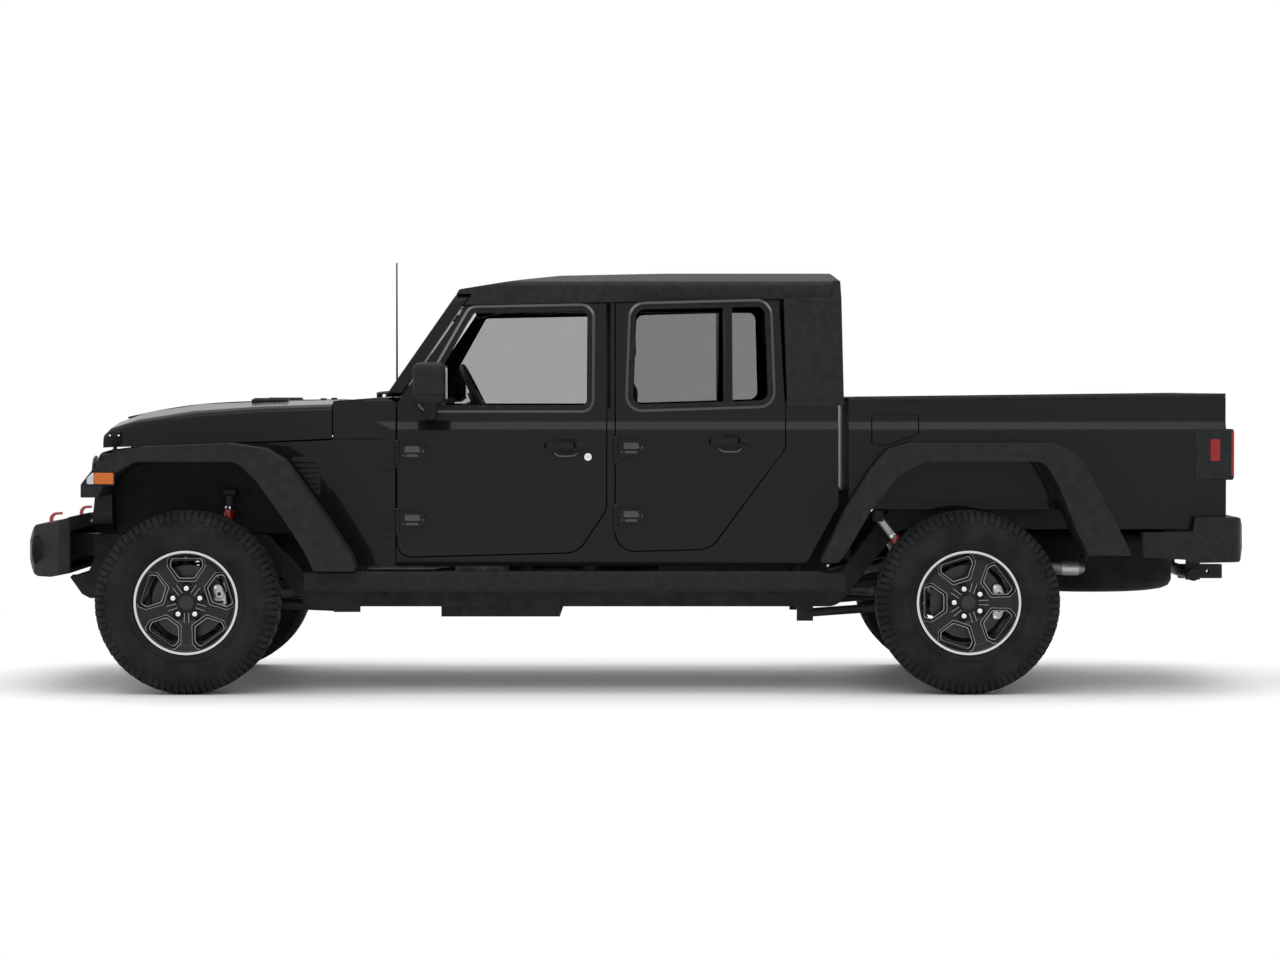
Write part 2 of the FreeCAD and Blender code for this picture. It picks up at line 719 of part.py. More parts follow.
def guards(low, front):
    """Plates under the nose and the gearbox, and the link brackets under the rails."""
    nose = [(-2580, 500), (-2525, 422), (-2489, 403), (-2380, 403)]
    side = slab("nose_guard_side", "side", nose + [
        (-2380, front + 4), (-2462, front + 4), (-2500, 512), (-2566, 512)], -420, -410)
    bent = slab("nose_guard_plate", "side", nose + [(-2380, 411), (-2487, 411), (-2520, 428), (-2573, 504)],
                -415, 415)
    plate = block("belly_plate", -880, -335, -380, 380, 316, 326)
    strip = block("belly_strip", -880, -335, -380, -366, 320, low + 4)
    ears = [block("front_link_ear", -1370, -1250, -430, -396, low - 26, low + 4),
            block("rear_link_ear", 752, 826, -438, -400, low - 66, low + 4)]
    left = [side, strip, *ears]
    return [bent, plate, *left, *[mirrored(item.Name + "_right", item) for item in left]]


def ladder():
    """Two stepped rails with their cross members."""
    low, depth = s.rail_low, s.rail_depth
    front, rear = low + s.rail_front_lift, low + s.rail_rear_lift
    nose_x, tail_x = front_axle_x - 480, s.bed_rear_x - 110
    under = [
        (nose_x, front), (front_axle_x + 300, front, 60), (front_axle_x + 500, low, 60),
        (rear_axle_x - 560, low, 90), (rear_axle_x - 280, rear, 90), (tail_x, rear),
    ]
    over = [
        (tail_x, rear + depth), (rear_axle_x - 280 - 30, rear + depth, 90),
        (rear_axle_x - 560 - 30, low + depth, 90), (front_axle_x + 500 + 20, low + depth, 60),
        (front_axle_x + 300 + 20, front + depth, 60), (nose_x, front + depth),
    ]
    inner, outer = s.rail_set - s.rail_width / 2, s.rail_set + s.rail_width / 2
    rail = slab("left_rail", "side", under + over, -outer, -inner)
    members = [
        ("nose_member", nose_x, 60, front + 20, front + depth - 20),
        ("engine_member", front_axle_x + 230, 70, front + 4, front + 40),
        ("gearbox_member", sized(-620), 110, low, low + 28),
        ("middle_member", sized(20), 70, low + 14, low + depth - 34),
        ("axle_member", rear_axle_x - 60, 80, rear + 14, rear + depth - 14),
        ("tail_member", tail_x - 80, 80, rear + 14, rear + depth - 14),
        ("spare_member", s.bed_rear_x - s.spare_set - 40, 80, rear + 14, rear + depth - 14),
    ]
    parts = [block(name, x, x + run, -inner - 10, inner + 10, z0, z1)
             for name, x, run, z0, z1 in members]
    mounts = []
    places = [
        (sized(-1250), low + depth, s.sill_z), (sized(-200), low + depth, s.sill_z),
        (sized(760), low + depth, s.sill_z),
        (sized(1230), rear + depth, s.bed_floor_z - s.bed_floor_wall),
        (sized(2300), rear + depth, s.bed_floor_z - s.bed_floor_wall),
    ]
    for number, (x, z0, z1) in enumerate(places):
        mounts.append(rod(f"mount_{number}", "z", x, -s.rail_set, z0 - 20, 30,
                          z1 - z0 + 20 - s.seat_gap))
    hub_top = s.spare_z + s.disc_set + s.disc_thickness / 2 + s.seat_gap
    stem = rod("spare_stem", "z", s.bed_rear_x - s.spare_set, 0, hub_top, s.spare_stem, rear + 34 - hub_top)
    parts += guards(low, front)
    return fuse("ladder", rail, mirrored("right_rail", rail), *parts, *mounts, stem,
                *[mirrored(m.Name + "_right", m) for m in mounts])


frame = ladder()
tow_z = sized(507)
receiver_x = length / 2 - 8


def receiver():
    """The square tow receiver with its cross tube, hangers and pin hole."""
    half, wall = s.receiver_bore / 2, s.receiver_wall
    start = receiver_x - s.receiver_length
    tube = block("receiver_tube", start, receiver_x, -half - wall, half + wall,
                 tow_z - half - wall, tow_z + half + wall)
    inside = block("receiver_inside", start + 10, receiver_x + 10, -half, half, tow_z - half, tow_z + half)
    cross = rod("receiver_cross", "y", start + 6, -s.rail_set - 40, tow_z + 4, 28, 2 * s.rail_set + 80)
    inner = s.rail_set - 8
    hanger = block("receiver_hanger", start - 24, start + 40, -inner - 16, -inner, tow_z - 20,
                   s.rail_low + s.rail_rear_lift - s.seat_gap)
    pin = rod("receiver_pin", "y", receiver_x - 66, -80, tow_z, s.pin_hole, 160)
    solid = fuse("receiver_solid", tube, cross, hanger, mirrored("receiver_hanger_right", hanger))
    return cut("receiver_cut", solid, inside, pin)


keep("tow_receiver", receiver())

engine = block("engine_block", front_axle_x + 40, front_axle_x + 600, -220, 220, 640, 1060)

gearbox_rear = front_axle_x + 1180
driveline_parts = [
    rod("bell", "x", front_axle_x + 600 + s.seat_gap, 0, 640, 170, 130),
    rod("gearbox", "x", front_axle_x + 720, 0, 620, 105, 470),
    block("transfer_case", gearbox_rear - 10, gearbox_rear + 230, -270, 110, 470, 600),
]
shaft_ends = [
    ("rear_shaft", gearbox_rear + 220, 0, 520, rear_axle_x - 260 - s.seat_gap, 0, s.tyre_radius + 4),
    ("front_shaft", gearbox_rear + 10, -s.diff_set, 510, front_axle_x + 230 + s.seat_gap, -s.diff_set,
     s.tyre_radius + 4),
]


def number_of(item):
    return sized(item).value


def shaft(name, x0, y0, z0, x1, y1, z1, radius=30):
    return feature(name, bar([number_of(v) for v in (x0, y0, z0)],
                             [number_of(v) for v in (x1, y1, z1)], radius))


driveline = cut("driveline_cut", fuse("driveline_solid", *driveline_parts, *[shaft(*e) for e in shaft_ends]),
                front_axle, rear_axle, frame)
keep("gearbox_and_shafts", driveline)


def links():
    """Control arms and track bars between the axles and the frame."""
    z = s.tyre_radius - 20
    parts = []
    ends = [
        ("front_arm", front_axle_x + 30, -415, z, front_axle_x + 680, -405, s.rail_low - 6),
        ("front_upper_arm", front_axle_x + 20, -345, z + 120, front_axle_x + 560, -372, s.rail_low + 90),
        ("rear_arm", rear_axle_x - 30, -500, z, rear_axle_x - 710, -420, s.rail_low - 30),
        ("rear_upper_arm", rear_axle_x - 10, -345, z + 120, rear_axle_x - 560, -372, s.rail_low + 90),
    ]
    for end in ends:
        left = shaft(*end, radius=20)
        parts += [left, mirrored(end[0] + "_right", left)]
    bars = [
        ("front_track_bar", front_axle_x + 90, -410, s.rail_low + s.rail_front_lift - 10, front_axle_x + 90, 470, z + 20),
        ("rear_track_bar", rear_axle_x + 118, -410, s.rail_low + s.rail_rear_lift - 8, rear_axle_x + 118, 470, z + 20),
    ]
    parts += [shaft(*end, radius=16) for end in bars]
    return parts


rails_gap = s.seat_gap
left_seat = -496


def spring_and_seat(name, x, z_top):
    """A coil spring's envelope on the left, from the axle to its seat, and the seat's bracket."""
    z0 = s.tyre_radius + s.axle_radius + 6
    tube = rod(name, "z", x, left_seat, z0, 58, z_top - z0)
    hollow = rod(name + "_inside", "z", x, left_seat, z0 - 5, 44, z_top - z0 + 10)
    return cut(name + "_coil", tube, hollow)


front_seat_z = s.rail_low + s.rail_front_lift + 60
rear_seat_z = s.rail_low + s.rail_rear_lift - 10
coil_front = spring_and_seat("front_spring", front_axle_x, front_seat_z)
coil_rear = spring_and_seat("rear_spring", rear_axle_x, rear_seat_z)


def damper(name, x0, y0, z0, x1, y1, z1):
    """A damper on the left: a thin rod above and a thick tube below."""
    low = [number_of(v) for v in (x0, y0, z0)]
    top = [number_of(v) for v in (x1, y1, z1)]
    half = [(a + b) / 2 for a, b in zip(low, top)]
    return feature(name, bar(low, half, 30).fuse(bar(half, top, 22)))


front_damper = damper("front_damper", front_axle_x + 104, -482, s.tyre_radius + 20, front_axle_x + 155, -511, 884)
rear_damper = damper("rear_damper", rear_axle_x - 100, -560, s.tyre_radius + 10, rear_axle_x - 380, -560, 780)


def brackets():
    """Spring seats, damper brackets and link brackets that stand on the axles."""
    parts = []
    for x in (front_axle_x, rear_axle_x):
        cup = rod("spring_cup", "z", x, left_seat, s.tyre_radius + 20, 66, s.axle_radius - 14)
        tower = block("link_tower", x - 34, x + 34, -375, -315, s.tyre_radius + 20, s.tyre_radius + 124)
        parts.append(fuse("cup_and_tower", cup, tower))
    foot = block("damper_foot", front_axle_x + 20, front_axle_x + 126, -508, -458, s.tyre_radius - 8, s.tyre_radius + 20)
    parts[0] = fuse("front_cup_and_foot", parts[0], foot)
    return parts


def frame_arms():
    """Arms on the frame that reach out to the springs and dampers."""
    outer = s.rail_set + s.rail_width / 2 - 6
    low_front = s.rail_low + s.rail_front_lift
    low_rear = s.rail_low + s.rail_rear_lift
    return [
        block("front_spring_arm", front_axle_x - 62, front_axle_x + 62, left_seat - 62, -outer,
              front_seat_z + s.seat_gap, front_seat_z + 30),
        block("front_damper_arm", front_axle_x + 126, front_axle_x + 182, -538, -outer, 880, 904),
        block("front_damper_post", front_axle_x + 126, front_axle_x + 182, -450, -outer, low_front + 20, 904),
        block("rear_spring_arm", rear_axle_x - 62, rear_axle_x + 62, left_seat - 62, -outer,
              rear_seat_z + s.seat_gap, rear_seat_z + 30),
        block("rear_damper_arm", rear_axle_x - 400, rear_axle_x - 360, -590, -outer, low_rear + 40, low_rear + 90),
    ]


arms = frame_arms()
frame_full = fuse("frame_full", frame, *arms, *[mirrored(a.Name + "_right", a) for a in arms])
keep("chassis_frame", frame_full)
cups = brackets()
front_full = fuse("front_axle_full", front_axle, cups[0], mirrored("front_cup_right", cups[0]))
rear_full = fuse("rear_axle_full", rear_axle, cups[1], mirrored("rear_cup_right", cups[1]))
keep("axles", together("axle_pair", front_full, rear_full))
keep("suspension_links", cut("links_cut", fuse("links_all", *links()), front_full, rear_full, frame_full,
                             engine, driveline))
dampers = []
for side_damper in (front_damper, rear_damper):
    trimmed = cut(side_damper.Name + "_trimmed", side_damper, frame_full, front_full, rear_full)
    dampers += [trimmed, mirrored(side_damper.Name + "_right", trimmed)]
springs = []
for coil in (coil_front, coil_rear):
    seated = cut(coil.Name + "_seated", coil, front_full, rear_full)
    springs += [seated, mirrored(coil.Name + "_right", seated)]
keep("springs_and_dampers", together("spring_set", *dampers, *springs))

tank = slab("tank_shape", "side", [
    (120, 400, 30), (900, 400, 30), (900, 552, 20), (120, 552, 20)],
    s.seat_gap + s.rail_width / 2 - s.rail_set, -70)
keep("fuel_tank", tank)


def exhaust():
    """A pipe from the engine to the silencer and over the rear axle to the tail."""
    points = [
        (number_of(front_axle_x) + 560, 250, 640), (-1300, 250, 470), (250, 250, 470), (900, 250, 470),
        (1200, 240, 530), (1590, 240, 546), (1666, 200, 552), (1666, -500, 552), (1720, -560, 549),
        (2027, -560, 549),
    ]
    shape = Part.makeSphere(30, V(*points[0]))
    for start, end in zip(points, points[1:]):
        shape = shape.fuse(bar(start, end, 30)).fuse(Part.makeSphere(30, V(*end)))
    return feature("exhaust_pipe", shape)


silencer = rod("silencer", "x", 240, 225, 440, 90, 520)
keep("exhaust", cut("exhaust_cut", fuse("exhaust_solid", exhaust(), silencer), frame_full, engine,
                    driveline, pieces["suspension_links"], rear_full))




# Body section: the left side's outer face with a chosen thickness

roof_line = s.roof_line_z


def outer_face():
    """The outer face of the left side, from the sill up to the eave, as (y, z) corners."""
    step = s.shoulder_in
    return [
        (-s.tuck_y, s.sill_z), (-s.side_y, s.tuck_z), (-s.side_y, s.shoulder_z, 60),
        (step - s.side_y, s.shoulder_z + s.shoulder_rise, 40), (step - s.side_y + 3, s.belt_z),
        (-s.eave_y, s.eave_z),
    ]


def skin(name, x0, x1, low_wall, top_wall, depth=0):
    """The left side as a shell along X; the walls are measured from the outer face, set in by depth."""
    low, top = sized(low_wall), sized(top_wall)
    back = [(y + depth, *rest) for y, *rest in outer_face()]
    inner = [
        (-s.eave_y + top, s.eave_z), (s.shoulder_in - s.side_y + 3 + top, s.belt_z + 2),
        (low - s.side_y, s.belt_z - 24), (low - s.side_y, s.sill_z),
    ]
    return slab(name, "front", back + inner, x0, x1)


gap = s.panel_gap
belt = s.belt_z


def screen_rear(z, extra=0):
    """Rear face of the windscreen frame at a height."""
    return s.screen_foot_x + s.screen_run * (sized(z) - s.screen_foot_z) + s.screen_wall + extra


def door_low(x):
    return s.door_low + s.door_rise * (sized(x) - s.door_front_x)


def roof_low(x):
    return roof_line + s.roof_rise * sized(x)


front_top_x = screen_rear(roof_line - 12, gap)
knee_z = s.screen_foot_z + (s.door_front_x - s.screen_foot_x - s.screen_wall - gap) / s.screen_run
front_opening = [
    (s.door_front_x, door_low(s.door_front_x), 70), (s.pillar_front_x - 132, door_low(-245), 110),
    (s.pillar_front_x, door_low(-113) + 192, 120), (s.pillar_front_x, roof_low(s.pillar_front_x)),
    (front_top_x, roof_low(front_top_x)), (s.door_front_x, knee_z, 60),
]
rear_opening = [
    (s.pillar_rear_x, door_low(s.pillar_rear_x), 90), (s.door_rear_x - 337, door_low(351), 110),
    (s.door_rear_x, 1096, 70), (s.door_rear_x, belt + 16), (s.door_rear_x - 24, roof_low(664)),
    (s.pillar_rear_x, roof_low(s.pillar_rear_x)),
]
opening_high = -s.eave_y + 200
front_hole = slab("front_hole", "side", front_opening, -s.side_y - 60, opening_high)
rear_hole = slab("rear_hole", "side", rear_opening, -s.side_y - 60, opening_high)
front_panel = inset_slab("front_panel", front_hole, gap, -s.side_y - 60, opening_high)
rear_panel = inset_slab("rear_panel", rear_hole, gap, -s.side_y - 60, opening_high)
front_core = inset_slab("front_core", front_hole, gap + 14, -s.side_y - 60, opening_high)
rear_core = inset_slab("rear_core", rear_hole, gap + 14, -s.side_y - 60, opening_high)

# Windows, as side outlines
front_window = [
    (screen_rear(belt + 60, 74), belt + 4, 35), (-194, belt + 4, 35),
    (-192, roof_low(-191) - 26, 40), (screen_rear(roof_low(-730) - 28, 60), roof_low(-730) - 26, 30),
]
rear_window = [
    (-12, belt + 6, 50), (620, belt + 26, 50), (606, roof_low(606) - 20, 50), (4, roof_low(4) - 24, 50),
]
front_pane = slab("front_pane", "side", front_window, -s.side_y - 60, opening_high)
rear_pane = slab("rear_pane", "side", rear_window, -s.side_y - 60, opening_high)

cab_x0, cab_x1 = s.door_front_x - 2, s.door_rear_x + 20


def door_shell(name, panel, core, pane):
    """A door: an outer flange, a smaller core behind it, and the window cut out."""
    flange = common(name + "_flange", skin(name + "_thin", cab_x0 - 60, cab_x1, 28, 28), panel)
    thick = common(name + "_thick", skin(name + "_full", cab_x0 - 60, cab_x1, s.door_wall, s.frame_wall), core)
    return cut(name + "_open", fuse(name + "_both", flange, thick), pane)


def hinge(name, x, z0, z1):
    """A strap hinge on the left: a barrel at the door's front edge and a strap along the door."""
    barrel = rod(name + "_barrel", "z", x, -s.side_y - 11, z0, 10, sized(z1) - z0)
    strap = slab(name + "_strap", "side", [
        (x, z0 + 10), (x, z1 - 10), (x + 60, z1 - 10, 10), (x + 142, z1 - 34, 16), (x + 142, z0 + 34, 16),
        (x + 60, z0 + 10, 10)], -s.side_y - 14, -s.side_y + 2)
    return [barrel, strap]


def leaf(name, x, z1, back):
    """The body's half of a hinge on the left, just below the door's barrel."""
    z1 = sized(z1) - s.seat_gap
    barrel = rod(name + "_barrel", "z", x, -s.side_y - 11, z1 - 26, 10, 26)
    plate = block(name + "_plate", x - back, x, -s.side_y - 12, -s.side_y + 6, z1 - 26, z1)
    return [barrel, plate]


def handle(name, x0, z0):
    """A grip with a push button on a backing plate."""
    plate = slab(name + "_plate", "side", [
        (x0, z0 + 12, 12), (x0 + 150, z0 + 12, 12), (x0 + 230, z0 + 6, 12), (x0 + 230, z0 + 62, 16),
        (x0, z0 + 62, 16)], -s.side_y - 8, -s.side_y + 4)
    grip = slab(name + "_grip", "plan", [
        (x0 + 8, -s.side_y - 6), (x0 + 20, -s.side_y - 38, 14), (x0 + 140, -s.side_y - 38, 14),
        (x0 + 152, -s.side_y - 6), (x0 + 132, -s.side_y - 6), (x0 + 124, -s.side_y - 26, 8),
        (x0 + 36, -s.side_y - 26, 8), (x0 + 28, -s.side_y - 6)], z0 + 26, z0 + 50)
    return [plate, grip]


front_hinge_x = s.door_front_x + gap
rear_hinge_x = s.pillar_rear_x + gap
front_door = fuse(
    "front_door_solid", door_shell("front_door", front_panel, front_core, front_pane),
    *hinge("front_upper_hinge", front_hinge_x, 1034, 1130), *hinge("front_lower_hinge", front_hinge_x, 728, 824),
    *handle("front_handle", sized(-405), 1072))
rear_bar = common("rear_bar", skin("rear_bar_skin", 414, 442, 50, 50), slab(
    "rear_bar_area", "side", [(400, belt), (460, belt), (460, roof_low(430) - 10), (400, roof_low(430) - 10)],
    -s.side_y - 60, opening_high))
rear_door = fuse(
    "rear_door_solid", door_shell("rear_door", rear_panel, rear_core, rear_pane), rear_bar,
    *hinge("rear_upper_hinge", rear_hinge_x, 1050, 1146), *hinge("rear_lower_hinge", rear_hinge_x, 744, 840),
    *handle("rear_handle", sized(331), 1092))


def glass(name, pane, bars=()):
    """A window pane seated in its door."""
    sheet_skin = slab(name + "_sheet", "front", [
        (24 - s.side_y + s.shoulder_in + 3, belt), (24 - s.eave_y, s.eave_z),
        (24 + s.glass_thickness - s.eave_y, s.eave_z),
        (24 + s.glass_thickness - s.side_y + s.shoulder_in + 3, belt)], cab_x0, cab_x1)
    outline = inset_slab(name + "_outline", pane, s.seat_gap, -s.side_y - 60, opening_high)
    pane_solid = common(name, sheet_skin, outline)
    if bars:
        return cut(name + "_parted", pane_solid, *bars)
    return pane_solid


front_glass = glass("front_glass", front_pane)
rear_glass = glass("rear_glass", rear_pane, (rear_bar,))
for label, left in (("door_front", front_door), ("door_rear", rear_door),
                    ("window_front", front_glass), ("window_rear", rear_glass)):
    keep(label + "_left", left)
    keep(label + "_right", mirrored(label + "_mirror", left))


def mirror_unit():
    """The left mirror: an arm from the door and a rounded housing."""
    arm = slab("mirror_arm", "front", [
        (-s.side_y + 22, 1226), (-s.side_y + 22, 1262), (-s.side_y - 70, 1330, 10), (-s.side_y - 110, 1330, 10),
        (-s.side_y - 110, 1296, 20), (-s.side_y - 30, 1226, 20)], -930, -880)
    housing = block("mirror_block", -972, -828, -s.side_y - 236, -s.side_y - 56, 1296, 1480)
    soft = rounded("mirror_housing", housing, 34, lambda e: True)
    return cut("mirror_cut", fuse("mirror_solid", arm, soft), front_door)


left_mirror = keep("mirror_left", mirror_unit())
keep("mirror_right", mirrored("mirror_twin", left_mirror))

# Cab side frames, with both door openings
side_region = slab("side_region", "side", [
    (s.door_front_x - 3, s.sill_z), (s.cab_rear_x - 150, s.sill_z, 30), (s.cab_rear_x, 842, 30),
    (s.cab_rear_x, s.hardtop_z - s.seat_gap), (s.pillar_rear_x, s.hardtop_z - s.seat_gap),
    (s.pillar_rear_x, roof_low(s.pillar_rear_x) - 3), (s.pillar_front_x + 14, roof_low(s.pillar_front_x) - 3),
    (s.pillar_front_x + 14, belt), (s.pillar_front_x, belt), (s.pillar_front_x, 860), (s.door_front_x + 1, 860),
    (s.door_front_x + 1, s.sill_z + 26), (s.door_front_x - 3, s.sill_z + 26)],
    -s.side_y - 10, opening_high)
left_side = cut("left_side_frame", common(
    "left_side_band", skin("side_skin", s.door_front_x - 60, s.cab_rear_x + 10, s.door_wall + 10, s.frame_wall + 10),
    side_region), front_hole, rear_hole)
rear_leaves = [*leaf("rear_upper_leaf", rear_hinge_x, 1050, 26), *leaf("rear_lower_leaf", rear_hinge_x, 744, 26)]
both_sides("cab_sides", fuse("left_side_whole", left_side, *[cut(item.Name + "_trim", item, rear_panel) for item in rear_leaves]))

# Cab floor with its rear wall
floor_half = s.side_y - s.door_wall - 10 - s.seat_gap
floor_parts = [
    block("floor_plate", s.door_front_x - 200, s.cab_rear_x - 24, -floor_half, floor_half, s.sill_z, s.sill_z + 24),
    slab("rear_wall", "side", [
        (s.cab_rear_x - 150 - 24, s.sill_z), (s.cab_rear_x - 150, s.sill_z), (s.cab_rear_x, 842),
        (s.cab_rear_x, s.hardtop_z - s.seat_gap), (s.cab_rear_x - 24, s.hardtop_z - s.seat_gap), (s.cab_rear_x - 24, 846)],
        -floor_half, floor_half),
]
floor_raw = fuse("floor_raw", *floor_parts)
tunnel_hole = slab("tunnel_hole", "front", [
    (-330, 500), (-300, 710, 60), (-150, 840, 60), (150, 840, 60), (200, 500)], s.bonnet_rear_x - 10, gearbox_rear + 260)
tunnel_skin = cut("tunnel_shell", slab("tunnel_skin", "front", [
    (-346, s.sill_z), (-320, 724, 60), (-160, 860, 60), (164, 860, 60), (216, s.sill_z)], s.bonnet_rear_x + gap + 24,
    gearbox_rear + 280), tunnel_hole)
keep("cab_floor", fuse("floor_solid", cut("floor_cut", floor_raw, tunnel_hole), tunnel_skin))

# Scuttle with the firewall
cowl_front, cowl_rear = s.bonnet_rear_x + gap, s.door_front_x - 2
cowl_low = 1140
nose_slope = (s.side_y - s.scuttle_half) / (s.door_front_x - s.bonnet_rear_x)


def body_half(x):
    """Half width of the body ahead of the doors."""
    ahead = s.scuttle_half + nose_slope * (sized(x) - s.bonnet_rear_x)
    return ahead


taper = slab("scuttle_plan", "plan", [
    (cowl_front, -body_half(cowl_front)), (cowl_rear, -body_half(cowl_rear)), (cowl_rear, body_half(cowl_rear)),
    (cowl_front, body_half(cowl_front))], 500, 1500)
taper_inner = slab("scuttle_plan_inner", "plan", [
    (cowl_front + 24, 26 - body_half(cowl_front)), (cowl_rear + 10, 26 - body_half(cowl_rear)),
    (cowl_rear + 10, body_half(cowl_rear) - 26), (cowl_front + 24, body_half(cowl_front) - 26)], 500, 1500)
full_face = outer_face()[:-1]
screen_at_belt = s.screen_foot_z
whole_section = slab("whole_section", "front", [
    (-s.side_y, cowl_low), (-s.side_y, s.shoulder_z, 60), (s.shoulder_in - s.side_y, s.shoulder_z + s.shoulder_rise, 40),
    (s.shoulder_in + 8 - s.side_y, s.screen_foot_z, 30),
    (s.side_y - s.shoulder_in - 8, s.screen_foot_z, 30), (s.side_y - s.shoulder_in, s.shoulder_z + s.shoulder_rise, 40),
    (s.side_y, s.shoulder_z, 60), (s.side_y, cowl_low)], cowl_front, cowl_rear)
cowl_profile = slab("cowl_profile", "side", [
    (cowl_front, cowl_low), (cowl_rear, cowl_low), (cowl_rear, knee_z), (s.screen_foot_x - 2, s.screen_foot_z - 4),
    (cowl_front, s.screen_foot_z - 22)], -900, 900)
cowl_outer = common("cowl_outer", whole_section, taper, cowl_profile)
cowl_void = common("cowl_void", taper_inner, slab("cowl_void_side", "side", [
    (cowl_front + 24, 400), (cowl_rear + 20, 400), (cowl_rear + 20, s.screen_foot_z - 60),
    (cowl_front + 24, s.screen_foot_z - 48)], -900, 900))
firewall = block("firewall", cowl_front, cowl_front + 24, -640, 640, s.sill_z + 24 + s.seat_gap, cowl_low + 20)
post = block("hinge_post", s.door_front_x - 44 - 20, s.door_front_x - 2, -s.side_y + 26, -floor_half + 20,
             s.sill_z + 26 + s.seat_gap, cowl_low + 60)
tabs = [block(f"bonnet_tab_{side}", s.bonnet_rear_x + s.seat_gap, cowl_front + 10, side * 480 - 40, side * 480 + 40,
              1270, 1296) for side in (-1, 1)]
cowl_solid = cut("cowl_open", fuse("cowl_raw", cut("cowl_shell", cowl_outer, cowl_void), firewall, post,
                 mirrored("hinge_post_right", post), *tabs), tunnel_skin, tunnel_hole)
keep("scuttle", cowl_solid)

# Windscreen frame
slope = s.screen_run
foot_z, top_z = s.screen_foot_z, s.screen_top_z
frame_side = [
    (s.screen_foot_x, foot_z - 3), (s.screen_foot_x + slope * (top_z - foot_z), top_z),
    (s.screen_foot_x + slope * (top_z - foot_z) + s.screen_wall, top_z),
    (s.screen_foot_x + s.screen_wall, foot_z - 3)]
screen_low_half, screen_top_half = sized(766), sized(672)


def frame_front(name, inset, bottom, top):
    """The windscreen frame's outline from the front, set in by a border."""
    return slab(name, "front", [
        (-screen_low_half + inset, bottom, 40), (-screen_top_half + inset, top, 40),
        (screen_top_half - inset, top, 40), (screen_low_half - inset, bottom, 40)], -1300, -500)


screen_solid = common("screen_solid", slab("screen_slab", "side", frame_side, -900, 900),
                      frame_front("screen_face", 0, foot_z - 3, top_z))
screen_window = frame_front("screen_window", s.screen_border, foot_z + 50, top_z - 56)
screen_frame = cut("screen_frame", screen_solid, screen_window, cowl_solid)
keep("windscreen_frame", screen_frame)
glass_run = [
    (s.screen_foot_x + 22, foot_z), (s.screen_foot_x + 22 + slope * (top_z - foot_z), top_z),
    (s.screen_foot_x + 30 + slope * (top_z - foot_z), top_z), (s.screen_foot_x + 30, foot_z)]
screen_glass = common("screen_glass", slab("screen_sheet", "side", glass_run, -900, 900), frame_front(
    "screen_glass_face", s.screen_border + s.seat_gap, foot_z + 50 + s.seat_gap, top_z - 56 - s.seat_gap))

# Roof panel and hard top
roof_section = [
    (-s.eave_y - 4, roof_line - 60), (-s.eave_y + 26, roof_line + 92, 40), (-330, roof_line + 138, 500),
    (330, roof_line + 138, 500), (s.eave_y - 26, roof_line + 92, 40), (s.eave_y + 4, roof_line - 60)]
inner_section = [
    (-s.eave_y + 30, roof_line - 70), (-s.eave_y + 58, roof_line + 62, 40), (-330, roof_line + 104, 500),
    (330, roof_line + 104, 500), (s.eave_y - 58, roof_line + 62, 40), (s.eave_y - 30, roof_line - 70)]
lip_x = s.screen_foot_x + slope * (top_z - foot_z)
roof_side = [
    (lip_x, top_z + s.seat_gap), (lip_x + 14, top_z + 22, 14), (-500, 1858, 400), (-330, 1880, 300), (300, 1896, 900),
    (s.roof_rear_x - 30, 1898, 40), (s.roof_rear_x, 1850, 20), (s.roof_rear_x + 6, roof_low(934)),
    (screen_rear(roof_low(-750) + 3, 4), roof_low(-750)), (screen_rear(top_z + 2, 4), top_z + s.seat_gap)]
inner_side = [
    (screen_rear(top_z, 60), roof_line - 100), (screen_rear(top_z, 60), 1800, 20), (-480, 1826, 200),
    (-330, 1844, 300), (300, 1862, 900), (s.roof_rear_x - 40, 1862, 20), (s.roof_rear_x - 36, roof_line - 100)]
roof_outer = common("roof_outer", slab("roof_across", "front", roof_section, -900, 1000),
                    slab("roof_along", "side", roof_side, -800, 800))
roof_inner = common("roof_inner", slab("roof_inner_across", "front", inner_section, -900, 1000),
                    slab("roof_inner_along", "side", inner_side, -800, 800))
roof_shell = cut("roof_shell", roof_outer, roof_inner)
roof_front = common("roof_front", roof_shell, block("roof_front_part", -900, s.roof_split_x - s.seat_gap, -800, 800, 1600, 2000))
keep("roof_front_panel", cut("roof_front_cut", roof_front, screen_frame))
roof_back = common("roof_back", roof_shell, block("roof_rear_part", s.roof_split_x, 1000, -800, 800, 1600, 2000))
quarter_front = s.door_rear_x + 6
quarter_region = slab("quarter_region", "side", [
    (quarter_front, s.hardtop_z), (s.hardtop_foot_x, s.hardtop_z), (s.roof_rear_x + 6, roof_low(934) + 20),
    (quarter_front - 14, roof_low(664) + 20)], -s.side_y - 10, opening_high)
quarter = common("quarter", skin("quarter_skin", 600, s.hardtop_foot_x + 10, s.frame_wall, s.frame_wall - 20), quarter_region)
rear_plate = common("rear_plate", slab("rear_plate_side", "side", [
    (s.hardtop_foot_x, s.hardtop_z), (s.roof_rear_x + 6, roof_low(934)), (s.roof_rear_x + 2, 1850),
    (s.roof_rear_x - 34, 1850), (s.roof_rear_x - 34, roof_low(934)), (s.hardtop_foot_x - 40, s.hardtop_z)],
    -900, 900), slab("rear_plate_front", "front", [
        (-s.side_y + s.shoulder_in + 6, s.hardtop_z), (-s.eave_y, s.eave_z), (-s.eave_y + 26, 1850),
        (s.eave_y - 26, 1850), (s.eave_y, s.eave_z), (s.side_y - s.shoulder_in - 6, s.hardtop_z)], 800, 1000))
